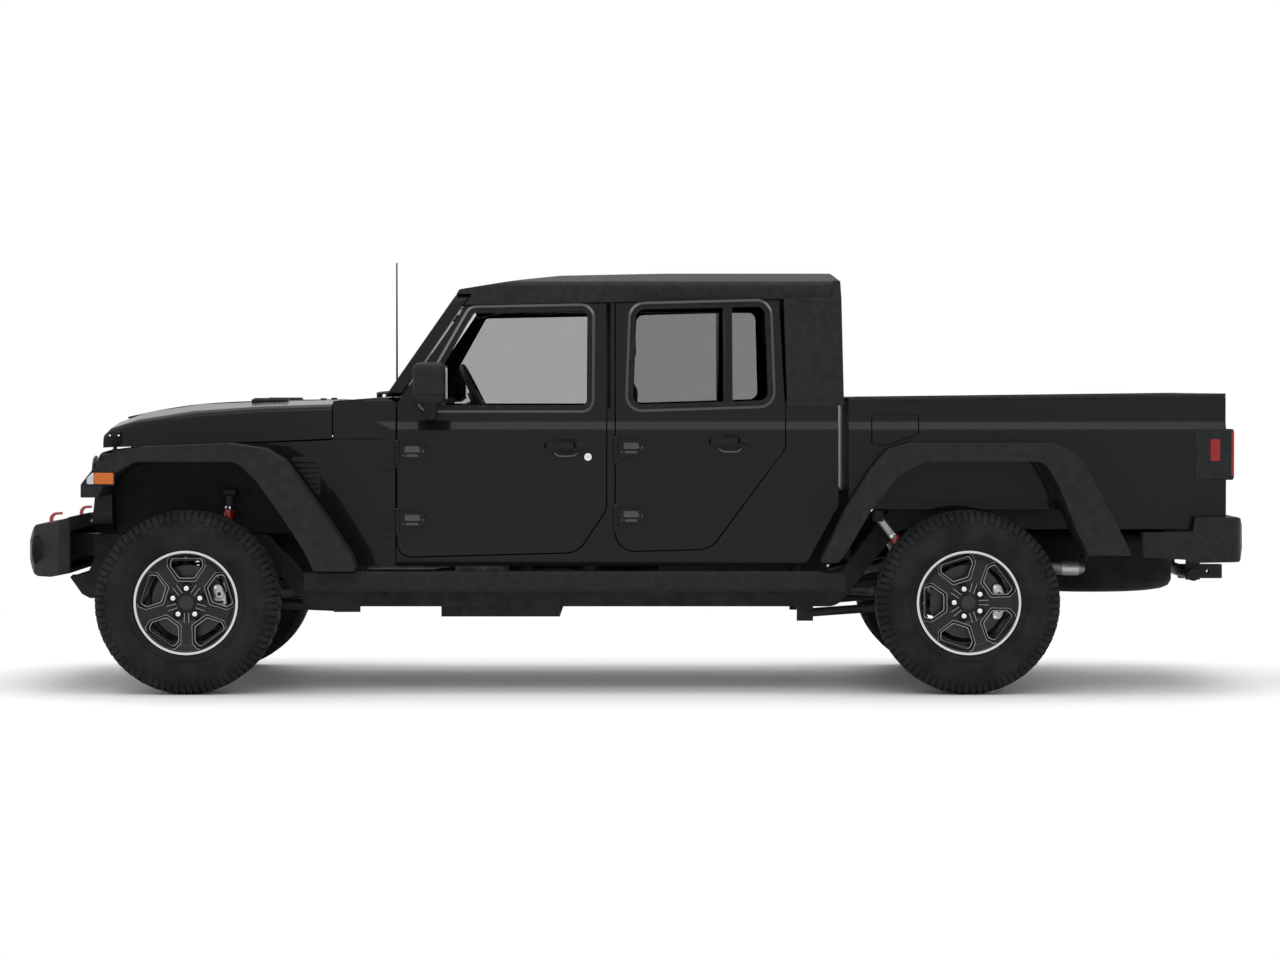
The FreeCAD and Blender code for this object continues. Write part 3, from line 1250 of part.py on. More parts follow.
back_window = slab("back_window", "front", [
    (-560, 1390, 50), (-520, 1720, 50), (520, 1720, 50), (560, 1390, 50)], 800, 1100)
hard_top = cut("hard_top_cut", fuse("hard_top_solid", roof_back, quarter, mirrored("quarter_right", quarter), rear_plate),
               back_window, slab("rear_hole_wide", "side", rear_opening, -900, 900))
keep("hard_top", hard_top)
back_sheet = slab("back_sheet", "side", [
    (s.hardtop_foot_x - 14, s.hardtop_z), (s.roof_rear_x - 8, roof_low(934)), (s.roof_rear_x - 14, roof_low(934)),
    (s.hardtop_foot_x - 20, s.hardtop_z)], -900, 900)
back_glass = common("back_glass", back_sheet, slab("back_glass_face", "front", [
    (-560 + s.seat_gap, 1390 + s.seat_gap, 50), (-520 + s.seat_gap, 1720 - s.seat_gap, 50),
    (520 - s.seat_gap, 1720 - s.seat_gap, 50), (560 - s.seat_gap, 1390 + s.seat_gap, 50)], 800, 1100))
keep("fixed_glass", together("fixed_panes", screen_glass, back_glass))


# Bonnet: a shell lofted through sections from the front edge to the scuttle

def bonnet_sections(name, inset):
    """Cross sections of the bonnet, moved in by a wall thickness."""
    front, rear = s.bonnet_front_x + inset, s.bonnet_rear_x
    stations = [
        (front, s.nose_half - 6, 1096, 1150, 1172), (front + 34, s.nose_half - 2, 1098, 1182, 1208),
        (front + 160, s.nose_half + 14, 1102, 1222, 1254), (front + 420, s.nose_half + 52, 1112, 1262, 1292),
        (front + 720, s.nose_half + 94, 1124, 1283, 1306), (rear, s.scuttle_half - 2, 1140, 1294, 1312),
    ]
    sketches = []
    for number, (x, half, low, side, crown) in enumerate(stations):
        half, side, crown = sized(half) - inset, sized(side) - inset, sized(crown) - inset
        low = sized(low) - inset
        sketches.append(free_sketch(f"{name}_section_{number}", "front", x, [[
            (-half, low), (-half - 0, side, 40), (-half * 0.5, crown, 260), (half * 0.5, crown, 260),
            (half, side, 40), (half, low)]]))
    return sketches


bonnet_outer = lofted("bonnet_outer", bonnet_sections("bonnet_out", sized(0)))
bonnet_inner = lofted("bonnet_inner", bonnet_sections("bonnet_in", s.bonnet_wall))
bonnet_trim = block("bonnet_trim", s.bonnet_rear_x - 20, s.bonnet_rear_x + 10, -600, 600, 1000, 1270)
vents = [block("bonnet_vent", -1720, -1590, -420, -250, 1295, 1325)]
bonnet = cut("bonnet_shell", bonnet_outer, bonnet_inner)
keep("bonnet", bonnet)

# Grille: a leaning panel with upright openings and two round lamp holes
grille_lean = 40
grille_side = [
    (s.grille_front_x, s.grille_low, 20), (s.grille_front_x + grille_lean, s.grille_top - 16, 30),
    (s.bonnet_front_x + 40, s.grille_top), (s.bonnet_front_x + 40, s.grille_low)]
grille_front = [
    (-s.nose_half, s.grille_low + 60, 70), (-s.nose_half, s.grille_top, 40),
    (s.nose_half, s.grille_top, 40), (s.nose_half, s.grille_low + 60, 70),
    (s.nose_half - 130, s.grille_low, 60), (130 - s.nose_half, s.grille_low, 60)]
slots = []
for number in range(9):
    y = s.slot_pitch * (number - 4)
    slots.append(slab(f"slot_{number}", "front", [
        (y - s.slot_width / 2, s.slot_low, 18), (y + s.slot_width / 2, s.slot_low, 18),
        (y + s.slot_width / 2, s.slot_top, 18), (y - s.slot_width / 2, s.slot_top, 18)],
        s.grille_front_x - 20, s.bonnet_front_x + 60))
lamp_holes = [rod(f"lamp_hole_{side}", "x", s.grille_front_x - 20, side * s.lamp_set, s.lamp_z,
                  s.lamp_radius + s.seat_gap, 400) for side in (-1, 1)]
low_slot = slab("low_slot", "front", [(-380, 748, 16), (-380, 786, 16), (380, 786, 16), (380, 748, 16)],
                s.grille_front_x - 20, s.bonnet_front_x + 60)
grille_block = common("grille_block", slab("grille_along", "side", grille_side, -900, 900),
                      slab("grille_across", "front", grille_front, s.grille_front_x - 10, s.bonnet_front_x + 60))
grille = cut("grille_cut", grille_block, *slots, *lamp_holes, low_slot)
stops = [rod(f"bonnet_stop_{side}", "z", s.bonnet_front_x + 12, side * 300, s.grille_top - 42, 9, 50) for side in (-1, 1)]
keep("grille", fuse("grille_whole", grille, *stops))
radiator = block("radiator_block", s.bonnet_front_x + 40 + s.seat_gap, s.bonnet_front_x + 130, -352, 352, 700, 1070)
keep("engine_and_radiator", together("engine_set", engine, radiator))

# Wheel arch mouldings
front_flare = [
    (-2451, 880, 6), (-2451, 938, 20), (-2398, 1005, 30), (-2320, 1075, 40), (-2200, 1104, 60), (-1800, 1120, 60),
    (-1640, 1098, 60), (-1550, 1045, 60), (-1360, 784, 60), (-1251, 622, 30), (-1234, 572, 8), (-1234, 552, 6),
    (-1417, 552, 4), (-1461, 644, 40), (-1556, 792, 70), (-1668, 950, 90), (-1760, 1040, 90), (-2210, 1040, 100),
    (-2330, 970, 60), (-2376, 880, 6)]
front_arch = [
    (-2376, 400), (-2376, 880), (-2330, 970, 60), (-2210, 1040, 100), (-1760, 1040, 90), (-1668, 950, 90),
    (-1556, 792, 70), (-1461, 644, 40), (-1417, 552), (-1417, 400)]
rear_flare = [
    (836, 590, 6), (947, 823, 60), (1059, 1001, 60), (1140, 1096, 60), (1240, 1122, 60), (1870, 1122, 60),
    (1950, 1090, 40), (2010, 1030, 40), (2107, 845, 40), (2165, 734, 40), (2214, 633, 6), (2214, 622, 4),
    (2031, 622, 4), (1973, 734, 40), (1895, 930, 60), (1830, 1040, 70), (1300, 1040, 90), (1180, 975, 80),
    (1059, 823, 60), (970, 667, 40), (916, 590, 4)]
rear_arch = [
    (916, 400), (916, 590), (970, 667, 40), (1059, 823, 60), (1180, 975, 80), (1300, 1040, 90), (1830, 1040, 70),
    (1895, 930, 60), (1973, 734, 40), (2031, 622), (2031, 400)]


def shift(points, axle_x, measured):
    """Moves side outlines with their axle."""
    return [(sized(x) - measured + axle_x, *rest) for x, *rest in points]


front_flare, front_arch = (shift(p, front_axle_x, -1989.5) for p in (front_flare, front_arch))
rear_flare, rear_arch = (shift(p, rear_axle_x, 1497.5) for p in (rear_flare, rear_arch))
flare_in = 590
nose_plan = [
    (s.grille_front_x - 200, -s.nose_half - s.seat_gap + 3 * 0), (s.bonnet_front_x, -s.nose_half - s.seat_gap),
    (s.bonnet_rear_x, -s.scuttle_half - s.seat_gap), (s.door_front_x - 2, -s.side_y - s.seat_gap),
    (s.door_front_x + 300, -s.side_y - s.seat_gap), (s.door_front_x + 300, 0), (s.grille_front_x - 200, 0)]
nose_block = slab("nose_block", "plan", nose_plan, 300, 1400)


def flare(name, outline, arch, inner_y, tools):
    """A moulding: an outer face and a rim round the arch, open towards the body."""
    full = slab(name + "_full", "side", outline, -s.flare_y, -inner_y)
    hollow = inset_slab(name + "_hollow", full, s.flare_wall, s.flare_wall - s.flare_y, -inner_y + 20)
    return cut(name, full, hollow, *tools)


left_front_flare = flare("front_flare", front_flare, front_arch, sized(560), [nose_block])
arch_front = slab("arch_front", "side", front_arch, -s.flare_y - 20, -s.liner_y)
liner_outer = inset_slab("liner_outer", arch_front, -8, -s.flare_y + 30, -s.liner_y)
liner_keep = slab("liner_keep", "side", [
    (-2600, 900), (-2600, 1080), (-1200, 1080), (-1200, 556), (-2000, 556), (-2000, 900)], -s.flare_y + 20, -s.liner_y + 20)
front_liner = common("front_liner", cut("front_liner_cut", liner_outer, arch_front), liner_keep)
liner_wall = common("liner_wall", inset_slab("liner_wall_area", arch_front, -8, -s.liner_y - 10, -s.liner_y), block(
    "liner_wall_keep", -2384, -1500, -s.liner_y - 10, -s.liner_y, 704, 1100))
front_moulding = fuse("front_moulding", left_front_flare, front_liner, liner_wall)
left_rear_flare = flare("rear_flare", rear_flare, rear_arch, s.side_y + s.seat_gap, [])
front_moulding_cut = cut("front_moulding_cut", front_moulding, grille, frame_full)

# Front wings: the body's sides ahead of the doors, below the bonnet
wing_plan = [
    (s.bonnet_front_x + 40 + s.seat_gap, -s.nose_half), (s.bonnet_rear_x, -s.scuttle_half), (s.door_front_x - 4, -s.side_y),
    (s.door_front_x - 4, s.wing_wall - s.side_y), (s.bonnet_rear_x, s.wing_wall - s.scuttle_half),
    (s.bonnet_front_x + 40 + s.seat_gap, s.wing_wall - s.nose_half)]
wing_side = slab("wing_side", "side", [
    (s.bonnet_front_x + 40, 720), (s.bonnet_front_x + 40, 1090), (s.bonnet_rear_x, 1132), (s.bonnet_rear_x, 1137 - s.seat_gap),
    (s.door_front_x - 4, 1137 - s.seat_gap), (s.door_front_x - 4, s.sill_z), (-1400, s.sill_z)], -900, -500)
wing_hole = slab("wing_hole", "side", front_arch, -900, -400)
wing_opening = inset_slab("wing_opening", wing_hole, -8.3, -900, -400)
left_wing = cut("left_wing", common("left_wing_band", slab("wing_band", "plan", wing_plan, 500, 1200), wing_side),
                wing_opening, post)
front_leaves = [*leaf("front_upper_leaf", front_hinge_x, 1034, 70), *leaf("front_lower_leaf", front_hinge_x, 728, 70)]
both_sides("front_wings", fuse("left_wing_whole", left_wing, *[cut(item.Name + "_trim", item, front_panel, post)
                                                               for item in front_leaves]))

# Load bed
bed_top_front, bed_rise = s.bed_rail_z, s.bed_rail_rise


def bed_top(x):
    return bed_top_front + bed_rise * (sized(x) - s.bed_front_x)


bed_region = slab("bed_region", "side", [
    (s.bed_front_x, 700), (s.bed_front_x, bed_top(s.bed_front_x)), (s.bed_rear_x, bed_top(s.bed_rear_x)),
    (s.bed_rear_x, s.bed_low), (rear_axle_x + 500, s.bed_low), (rear_axle_x, s.bed_low), (1040, 700)],
    -s.side_y - 20, -400)
rear_arch_hole = slab("rear_arch_hole", "side", rear_arch, -s.side_y - 60, -s.tub_inner_y - s.tub_wall)
bed_band = common("bed_band", slab("bed_skin", "front", [
    *outer_face()[:-2], (s.shoulder_in - s.side_y + 3, s.belt_z + 90),
    (s.bed_side_wall - s.side_y, s.belt_z + 90), (s.bed_side_wall - s.side_y, s.sill_z)],
    s.bed_front_x, s.bed_rear_x), bed_region)
tub_outer = inset_slab("tub_outer", rear_arch_hole, -s.tub_wall, -s.side_y + 20, -s.tub_inner_y)
tub_keep = block("tub_keep", 900, 2100, -s.side_y + 20, -s.tub_inner_y, s.bed_floor_z - s.bed_floor_wall, 1200)
tub = common("tub", tub_outer, tub_keep)
rear_post = block("rear_post", s.bed_rear_x - 70, s.bed_rear_x, -s.side_y + 20, -s.gate_half - gap, s.gate_low - 60, bed_top(s.bed_rear_x - 70))
floor = block("bed_floor", s.bed_front_x, s.bed_rear_x - 64, -s.side_y + 20, s.side_y - 20,
              s.bed_floor_z - s.bed_floor_wall, s.bed_floor_z)
front_wall = block("bed_front_wall", s.bed_front_x, s.bed_front_x + 34, -s.side_y + 30, s.side_y - 30,
                   s.bed_floor_z - s.bed_floor_wall, bed_top(s.bed_front_x))
gate_sill = block("gate_sill", s.bed_rear_x - 100, s.bed_rear_x - 66, -s.side_y + 30, s.side_y - 30, s.bed_low, s.bed_floor_z)
low_sill = block("low_sill", s.bed_rear_x - 100, s.bed_rear_x - 4, -s.side_y + 30, s.side_y - 30, s.bed_low, s.gate_low - 22)
lamp_y0, lamp_y1 = -s.side_y - 4, -s.gate_half - gap - 4
lamp_x0 = s.bed_rear_x - 138
lamp_block = block("lamp_block", lamp_x0, s.bed_rear_x + 34, lamp_y0, lamp_y1, 955, 1183)
lamp_inner = block("lamp_inner", lamp_x0 - 10, s.bed_rear_x - 26, -s.side_y + 24, lamp_y1 + 10, 900, 1250)
lamp_body = rounded("lamp_body", cut("lamp_wrap", lamp_block, lamp_inner), 8, lambda e: mid(e).x > 2680)
lamp_seat = cut("lamp_seat", block("lamp_seat_block", lamp_x0 - s.seat_gap, s.bed_rear_x + 40, lamp_y0 - 10, lamp_y1 + s.seat_gap,
                                   955 - s.seat_gap, 1183 + s.seat_gap),
                block("lamp_seat_inner", lamp_x0 - 20, s.bed_rear_x - 26 - s.seat_gap, -s.side_y + 24 + s.seat_gap,
                      lamp_y1 + 20, 900, 1250))
flap_x, flap_z = 1068, 1110
flap_outline = [
    (flap_x, flap_z, 14), (flap_x + 80, flap_z, 14), (flap_x + 216, flap_z + 50, 14), (flap_x + 216, 1250, 14),
    (flap_x, 1250, 14)]
flap_hole = slab("flap_hole", "side", flap_outline, -s.side_y - 20, -s.side_y + 46)
tub_right = mirrored("tub_right", tub)
bed_beam = block("bed_beam", s.bed_front_x + 10, s.bed_rear_x - 98, -520, -470, s.bed_floor_z - s.bed_floor_wall - 44,
                 s.bed_floor_z - 2)
bed_solid = fuse("bed_solid", bed_band, mirrored("bed_band_right", bed_band), floor, front_wall, gate_sill, low_sill,
                 rear_post, mirrored("rear_post_right", rear_post), tub, tub_right, bed_beam,
                 mirrored("bed_beam_right", bed_beam))
bed = cut("bed_cut", bed_solid, rear_arch_hole, mirrored("rear_arch_hole_right", rear_arch_hole), flap_hole,
          lamp_seat, mirrored("lamp_seat_right", lamp_seat))
keep("load_bed", bed)
rear_liner = common("rear_liner", cut("rear_liner_cut", inset_slab(
    "rear_liner_outer", rear_arch_hole, -8, -s.side_y - 12, -s.tub_inner_y - s.tub_wall), rear_arch_hole), block(
    "rear_liner_keep", 800, 2200, -s.side_y - 12, -s.tub_inner_y - s.tub_wall, 596, s.bed_floor_z - s.bed_floor_wall))
rear_moulding = cut("rear_moulding_cut", fuse("rear_moulding", left_rear_flare, rear_liner), bed)
keep("arch_mouldings", together("moulding_set", front_moulding_cut, mirrored("front_moulding_right", front_moulding_cut),
                                rear_moulding, mirrored("rear_moulding_right", rear_moulding)))
both_sides("tail_lamps", cut("lamp_whole", lamp_body, bed))

flap_area = inset_slab("flap_area", flap_hole, gap, -s.side_y - 20, -s.side_y + 46)
flap_thin = slab("flap_skin", "front", [*outer_face()[:-1], (14 + s.shoulder_in + 3 - s.side_y, s.belt_z),
    (14 + s.shoulder_in - s.side_y, s.shoulder_z + s.shoulder_rise, 40), (14 - s.side_y, s.shoulder_z, 60), (14 - s.side_y, s.sill_z)],
    1000, 1400)
keep("fuel_flap", common("flap_plate", flap_thin, flap_area))

cap_z0 = s.seat_gap


def bed_cap(name, y0, y1, x0, x1, drop=0):
    """A strip of trim along the top of the bed's side."""
    lift = s.seat_gap
    return slab(name, "side", [
        (x0, bed_top(x0) + lift), (x0, bed_top(x0) + lift + s.cap_height), (x1, bed_top(x1) + lift + s.cap_height),
        (x1, bed_top(x1) + lift)], y0, y1)


cap_outer = s.shoulder_in - s.side_y - 2
cap_left = bed_cap("cap_left", cap_outer, 6 + s.bed_side_wall - s.side_y, s.bed_front_x + 2, s.bed_rear_x)
cap_front = bed_cap("cap_front", 6 + s.bed_side_wall - s.side_y, s.side_y - s.bed_side_wall - 6, s.bed_front_x + 2, s.bed_front_x + 38)
keep("bed_trim", fuse("bed_trim_solid", cap_left, mirrored("cap_right", cap_left), cap_front))

gate_top = bed_top(s.bed_rear_x)
gate_x0 = s.bed_rear_x - s.gate_wall
gate_handle = block("gate_handle_hole", s.bed_rear_x - 16, s.bed_rear_x + 10, -130, 130, 1180, 1250)
gate_plate = block("gate_plate", gate_x0, s.bed_rear_x, -s.gate_half, s.gate_half, s.gate_low, gate_top)
gate_press = block("gate_press", s.bed_rear_x - 8, s.bed_rear_x + 10, -520, 520, 940, 1130)
gate_cap = block("gate_cap", gate_x0 - 4, s.bed_rear_x + 2, -s.gate_half, s.gate_half, gate_top - 1, gate_top + s.cap_height)
gate_pin = rod("gate_pin", "y", gate_x0 + s.gate_wall / 2, -s.gate_half - gap + s.seat_gap, s.gate_pivot_z, 8, 60)
keep("tailgate", fuse("gate_solid", cut("gate_cut", gate_plate, gate_handle, gate_press), gate_cap, gate_pin,
                      mirrored("gate_pin_right", gate_pin),
                      block("gate_lever", s.bed_rear_x - 18, s.bed_rear_x - 2, -90, 90, 1196, 1236)))

# Bumpers
nose_x = -length / 2
bumper_plan = [
    (nose_x, -380, 60), (nose_x + 70, -700, 60), (nose_x + 210, -860, 30), (nose_x + 258, -860, 10),
    (nose_x + 258, 860, 10), (nose_x + 210, 860, 30), (nose_x + 70, 700, 60), (nose_x, 380, 60)]
bumper_side = [
    (nose_x, 580, 20), (nose_x, 666, 20), (nose_x + 40, 712, 14), (nose_x + 84, s.bumper_top - 13, 14),
    (nose_x + 190, s.bumper_top + 4, 20), (nose_x + 258, s.bumper_top + 26), (nose_x + 258, s.bumper_low),
    (nose_x + 160, s.bumper_low - 20, 20), (nose_x + 90, s.bumper_low - 20, 20), (nose_x + 36, s.bumper_low + 8, 16)]
bumper_outer = common("bumper_outer", slab("bumper_above", "plan", bumper_plan, 400, 900),
                      slab("bumper_along", "side", bumper_side, -900, 900))
bumper_void = common("bumper_void", slab("bumper_void_plan", "plan", [
    (nose_x + 30, -360, 60), (nose_x + 96, -690, 60), (nose_x + 222, -836, 20), (nose_x + 300, -836),
    (nose_x + 300, 836), (nose_x + 222, 836, 20), (nose_x + 96, 690, 60), (nose_x + 30, 360, 60)], 400, 900),
    slab("bumper_void_side", "side", [
        (nose_x + 24, 590), (nose_x + 24, 652), (nose_x + 70, 706), (nose_x + 110, s.bumper_top - 36),
        (nose_x + 300, s.bumper_top - 36), (nose_x + 300, s.bumper_low + 14), (nose_x + 160, s.bumper_low + 4),
        (nose_x + 96, s.bumper_low + 4), (nose_x + 50, s.bumper_low + 26)], -900, 900))
deck_z = s.bumper_top - 20
bay = block("winch_bay", nose_x + 40, nose_x + 300, -235, 235, deck_z, 900)
winch_holes = [
    rod(f"winch_hole_{number}", "z", nose_x + 160 + sx * s.winch_spacing_x / 2, sy * s.winch_spacing_y / 2, 600,
        s.winch_hole, 250) for number, (sx, sy) in enumerate(((-1, -1), (1, -1), (1, 1), (-1, 1)))]
fog_holes = [rod(f"fog_hole_{side}", "x", nose_x - 20, side * 690, 640, 62, 240) for side in (-1, 1)]
bumper = cut("front_bumper_cut", bumper_outer, bumper_void, bay, *winch_holes, *fog_holes)
stay = block("bumper_stay", nose_x + 20, front_axle_x - 480 - s.seat_gap, -430, -370, 600, 700)
keep("front_bumper", fuse("front_bumper_solid", bumper, stay, mirrored("stay_right", stay)))

hook_x = nose_x + 104
hook_outline = [(hook_x, 738), (hook_x, 798, 34), (hook_x + 58, 800), (hook_x + 58, 788), (hook_x + 16, 786, 22),
                (hook_x + 13, 738)]
hook = slab("hook_plate", "side", hook_outline, -470, -446)
both_sides("tow_hooks", cut("hook_cut", hook, pieces["front_bumper"]))

tail_x = length / 2
rear_plan = [
    (tail_x - 500, -880, 20), (tail_x - 60, -880, 60), (tail_x, -560, 60), (tail_x, 560, 60),
    (tail_x - 60, 880, 60), (tail_x - 500, 880, 20)]
rear_side = [
    (tail_x - 500, 612), (tail_x - 500, 722), (tail_x - 270, 726), (tail_x - 258, s.rear_bumper_top + 4, 8),
    (tail_x - 60, s.rear_bumper_top + 4, 30), (tail_x - 10, 745, 20), (tail_x, 640, 20), (tail_x - 60, 590, 20),
    (tail_x - 270, 586), (tail_x - 300, 600)]
rear_outer = common("rear_outer", slab("rear_above", "plan", rear_plan, 400, 900),
                    slab("rear_along", "side", rear_side, -900, 900))
rear_void = fuse("rear_void", block("rear_void_a", tail_x - 600, tail_x - 40, -560, 560, 500, s.rear_bumper_top - 30),
                 block("rear_void_b", tail_x - 600, tail_x - 110, -850, 850, 500, s.rear_bumper_top - 30),
                 block("rear_void_c", tail_x - 600, tail_x - 250, -850, 850, 500, 900),
                 block("rear_void_d", tail_x - 600, s.bed_rear_x + 6, -s.side_y - 6, s.side_y + 6, s.bed_low - 6, 900))
rear_stay = block("rear_stay", s.bed_rear_x - 110 + s.seat_gap, tail_x - 30, -430, -370, 706, 760)
rear_bumper = fuse("rear_bumper_solid", cut("rear_bumper_cut", rear_outer, rear_void), rear_stay,
                   mirrored("rear_stay_right", rear_stay))
keep("rear_bumper", cut("rear_bumper_trim", rear_bumper, bed, pieces["tow_receiver"]))

# Sill rails
rail_y = s.step_rail_y
rail_profile = [
    (-rail_y, s.step_rail_top - s.step_rail_depth, 20), (-rail_y, s.step_rail_top, 14),
    (s.step_rail_width - rail_y, s.step_rail_top, 6), (s.step_rail_width - rail_y, s.step_rail_top - s.step_rail_depth, 6)]
rail_body = slab("step_rail_body", "front", rail_profile, front_axle_x + 522, rear_axle_x - 546)
feet = [block(f"rail_foot_{number}", x, x + 60, 10 - rail_y + s.step_rail_width - 14, -s.rail_set - s.rail_width / 2 - s.seat_gap, 436, 468)
        for number, x in enumerate((-1180, -250, 620))]
both_sides("sill_rails", fuse("sill_rail_left", rail_body, *feet))


# Lamps
lamp_front = s.grille_front_x - 4


def lamp_pieces(side):
    """Head lamp, fog lamp and marker lamp on one side."""
    head = rod(f"head_lamp_{side}", "x", lamp_front, side * s.lamp_set, s.lamp_z, s.lamp_radius, 70)
    fog = rod(f"fog_lamp_{side}", "x", nose_x + 72, side * 690, 640, 62 - s.seat_gap, 60)
    return [head, fog]


marker = cut("marker_lamp", slab("marker_block", "side", [
    (-2424, 938, 6), (-2424, 968, 16), (-2400, 992, 16), (-2302, 992, 10), (-2302, 938, 6)], -s.flare_y - 5, -s.flare_y + 10),
    left_front_flare)
lamp_set = [*lamp_pieces(-1), *lamp_pieces(1)]
fogs = [item for item in lamp_set if item.Name.startswith("fog")]
keep("front_lamps", together("front_lamp_set", *[cut(item.Name + "_seated", item, pieces["front_bumper"]) for item in lamp_set],
                             marker, mirrored("marker_right", marker)))

# Wipers and aerial
wipers = []
for name, x0, y0, x1, y1 in (("wiper_left", -1180, -120, -1090, -620), ("wiper_right", -1180, 480, -1096, 0)):
    z = number_of(s.screen_foot_z)
    pivot = Part.makeCylinder(14, 46, V(x0, y0, z - 30))
    wipers.append(cut(name + "_trim", feature(name, pivot.fuse(bar((x0, y0, z + 12), (x1, y1, z + 18), 7))), cowl_solid, screen_frame))
aerial = feature("aerial", Part.makeCylinder(9, 40, V(-1154, 722, 1302)).fuse(
    Part.makeCone(5, 3.5, 640, V(-1154, 722, 1336))))
keep("wipers_and_aerial", together("wiper_set", *wipers, cut("aerial_trim", aerial, cowl_solid)))

# Interior
floor_top = s.sill_z + 24
dash = slab("dash_profile", "side", [
    (cowl_rear + 8, 1010, 20), (-1050, 1240, 20), (-1010, 1290, 30), (-900, 1262, 40), (-846, 1190, 50), (-880, 1060, 30), (-960, 980, 40)],
    -650, 650)
dashboard = cut("dash_cut", dash, cowl_solid, screen_frame)
wheel_x, wheel_y, wheel_z = -703, -370, 1301
wheel_lean = FreeCAD.Rotation(V(0, 1, 0), 90 - 26)
rim_ring = Part.makeTorus(178, 15)
hub = Part.makeCylinder(62, 44, V(0, 0, -34))
spokes = [bar((0, 0, -8), (170 * math.cos(a), 170 * math.sin(a), 0), 12) for a in (math.pi / 2, -math.pi / 2, 0)]
column = Part.makeCylinder(24, 220, V(0, 0, -230))
wheel_shape = rim_ring.fuse([hub, column, *spokes])
steering = feature("steering_shape", wheel_shape)
steering.Placement = FreeCAD.Placement(V(wheel_x, wheel_y, wheel_z), wheel_lean)
dash_hole = feature("column_hole", Part.makeCylinder(24.3, 700, V(0, 0, -600)))
dash_hole.Placement = steering.Placement
keep("steering_wheel", steering)
dashboard_open = cut("dash_open", dashboard, dash_hole)


def seat(name, x, y0, y1):
    """A seat: base, cushion, backrest and headrest in one upholstered shape."""
    base = block(name + "_base", x - 190, x + 200, y0 + 40, y1 - 40, floor_top, floor_top + 190)
    cushion = slab(name + "_cushion", "side", [
        (x - 300, floor_top + 200, 50), (x - 300, floor_top + 340, 60), (x + 230, floor_top + 290, 40), (x + 250, floor_top + 180, 30)],
        y0, y1)
    rest = slab(name + "_back", "side", [
        (x + 190, floor_top + 190, 50), (x + 130, floor_top + 330, 40), (x + 250, floor_top + 860, 60), (x + 370, floor_top + 860, 50),
        (x + 320, floor_top + 200, 40)], y0, y1)
    middle = (sized(y0) + y1) / 2
    head = slab(name + "_head", "side", [
        (x + 256, floor_top + 876, 30), (x + 272, floor_top + 1062, 36), (x + 366, floor_top + 1062, 36), (x + 372, floor_top + 876, 30)],
        middle - 120, middle + 120)
    stalk = block(name + "_stalk", x + 300, x + 320, middle - 60, middle + 60, floor_top + 840, floor_top + 900)
    return cut(name, fuse(name + "_whole", base, cushion, rest, head, stalk), tunnel_skin, tunnel_hole)


front_seat = seat("front_seat", sized(-350), -620, -140)
bench_base = block("bench_base", 330, 760, -590, 590, floor_top, floor_top + 180)
bench = slab("bench_cushion", "side", [
    (280, floor_top + 190, 50), (280, floor_top + 330, 60), (760, floor_top + 290, 40), (780, floor_top + 170, 30)], -614, 614)
bench_back = slab("bench_back", "side", [
    (710, floor_top + 180, 40), (690, floor_top + 320, 40), (770, floor_top + 800, 50), (860, floor_top + 800, 40), (840, floor_top + 190, 30)],
    -614, 614)
heads = [slab(f"bench_head_{number}", "side", [
    (772, floor_top + 790, 20), (780, floor_top + 960, 36), (856, floor_top + 960, 36), (858, floor_top + 790, 20)], y - 110, y + 110)
    for number, y in enumerate((-340, 340))]
rear_seat = fuse("rear_seat_solid", bench_base, bench, bench_back, *heads)
keep("seats", together("seat_set", front_seat, mirrored("front_seat_right", front_seat), rear_seat))
keep("cab_floor", cut("floor_final", pieces["cab_floor"], dash_hole))
console_box = cut("console_cut", slab("console_box", "side", [
    (-950, 700), (-950, 1060), (-890, 1050, 20), (-850, 930, 40), (40, 910, 20), (40, 700)], -118, 118), tunnel_skin, tunnel_hole)
keep("dashboard", fuse("dash_whole", dashboard_open, console_box))


def roll_bar():
    """The padded bars inside the roof: two hoops and the rails that join them."""
    r = 30
    top, low = 1758, 1262
    inner_low, inner_top = 652, 572
    shape = None
    hoops = []
    for x, foot in ((-92, 600), (790, 600)):
        points = [(x, -inner_low, number_of(floor_top)), (x, -inner_low, low), (x, -inner_top, top), (x, inner_top, top),
                  (x, inner_low, low), (x, inner_low, number_of(floor_top))]
        hoops.append(points)
    rails = [[(-760, side * 560, 1726), (-640, side * inner_top, top), (790, side * inner_top, top)] for side in (-1, 1)]
    for points in hoops + rails:
        for start, end in zip(points, points[1:]):
            part = bar(start, end, r)
            if end != points[-1]:
                part = part.fuse(Part.makeSphere(r, V(*end)))
            shape = part if shape is None else shape.fuse(part)
    return feature("roll_bar_shape", shape)


keep("roll_bar", cut("roll_bar_cut", roll_bar(), pieces["cab_floor"], pieces["seats"], screen_frame,
                     pieces["roof_front_panel"], pieces["hard_top"]))

# Spare wheel, lying flat below the load bed
spare = feature("spare_shape", tyre_master.Shape.fuse(rim_master.Shape))
spare.Placement = FreeCAD.Placement(V(), FreeCAD.Rotation(V(1, 0, 0), 90))
place(spare, s.bed_rear_x - s.spare_set, 0, s.spare_z)
keep("spare_wheel", spare)


doc.recompute()
os.makedirs("parts", exist_ok=True)
for item in doc.Objects:
    if "Invalid" in item.State or "Error" in item.State:
        raise RuntimeError(f"{item.Name} could not be worked out")
for label, item in pieces.items():
    shape = item.Shape
    if shape.isNull() or not shape.isValid() or not shape.Solids:
        raise RuntimeError(f"{label} has no valid solid")
    shape.exportStep(f"parts/{label}.step")
print(len(pieces), "sub-parts written")
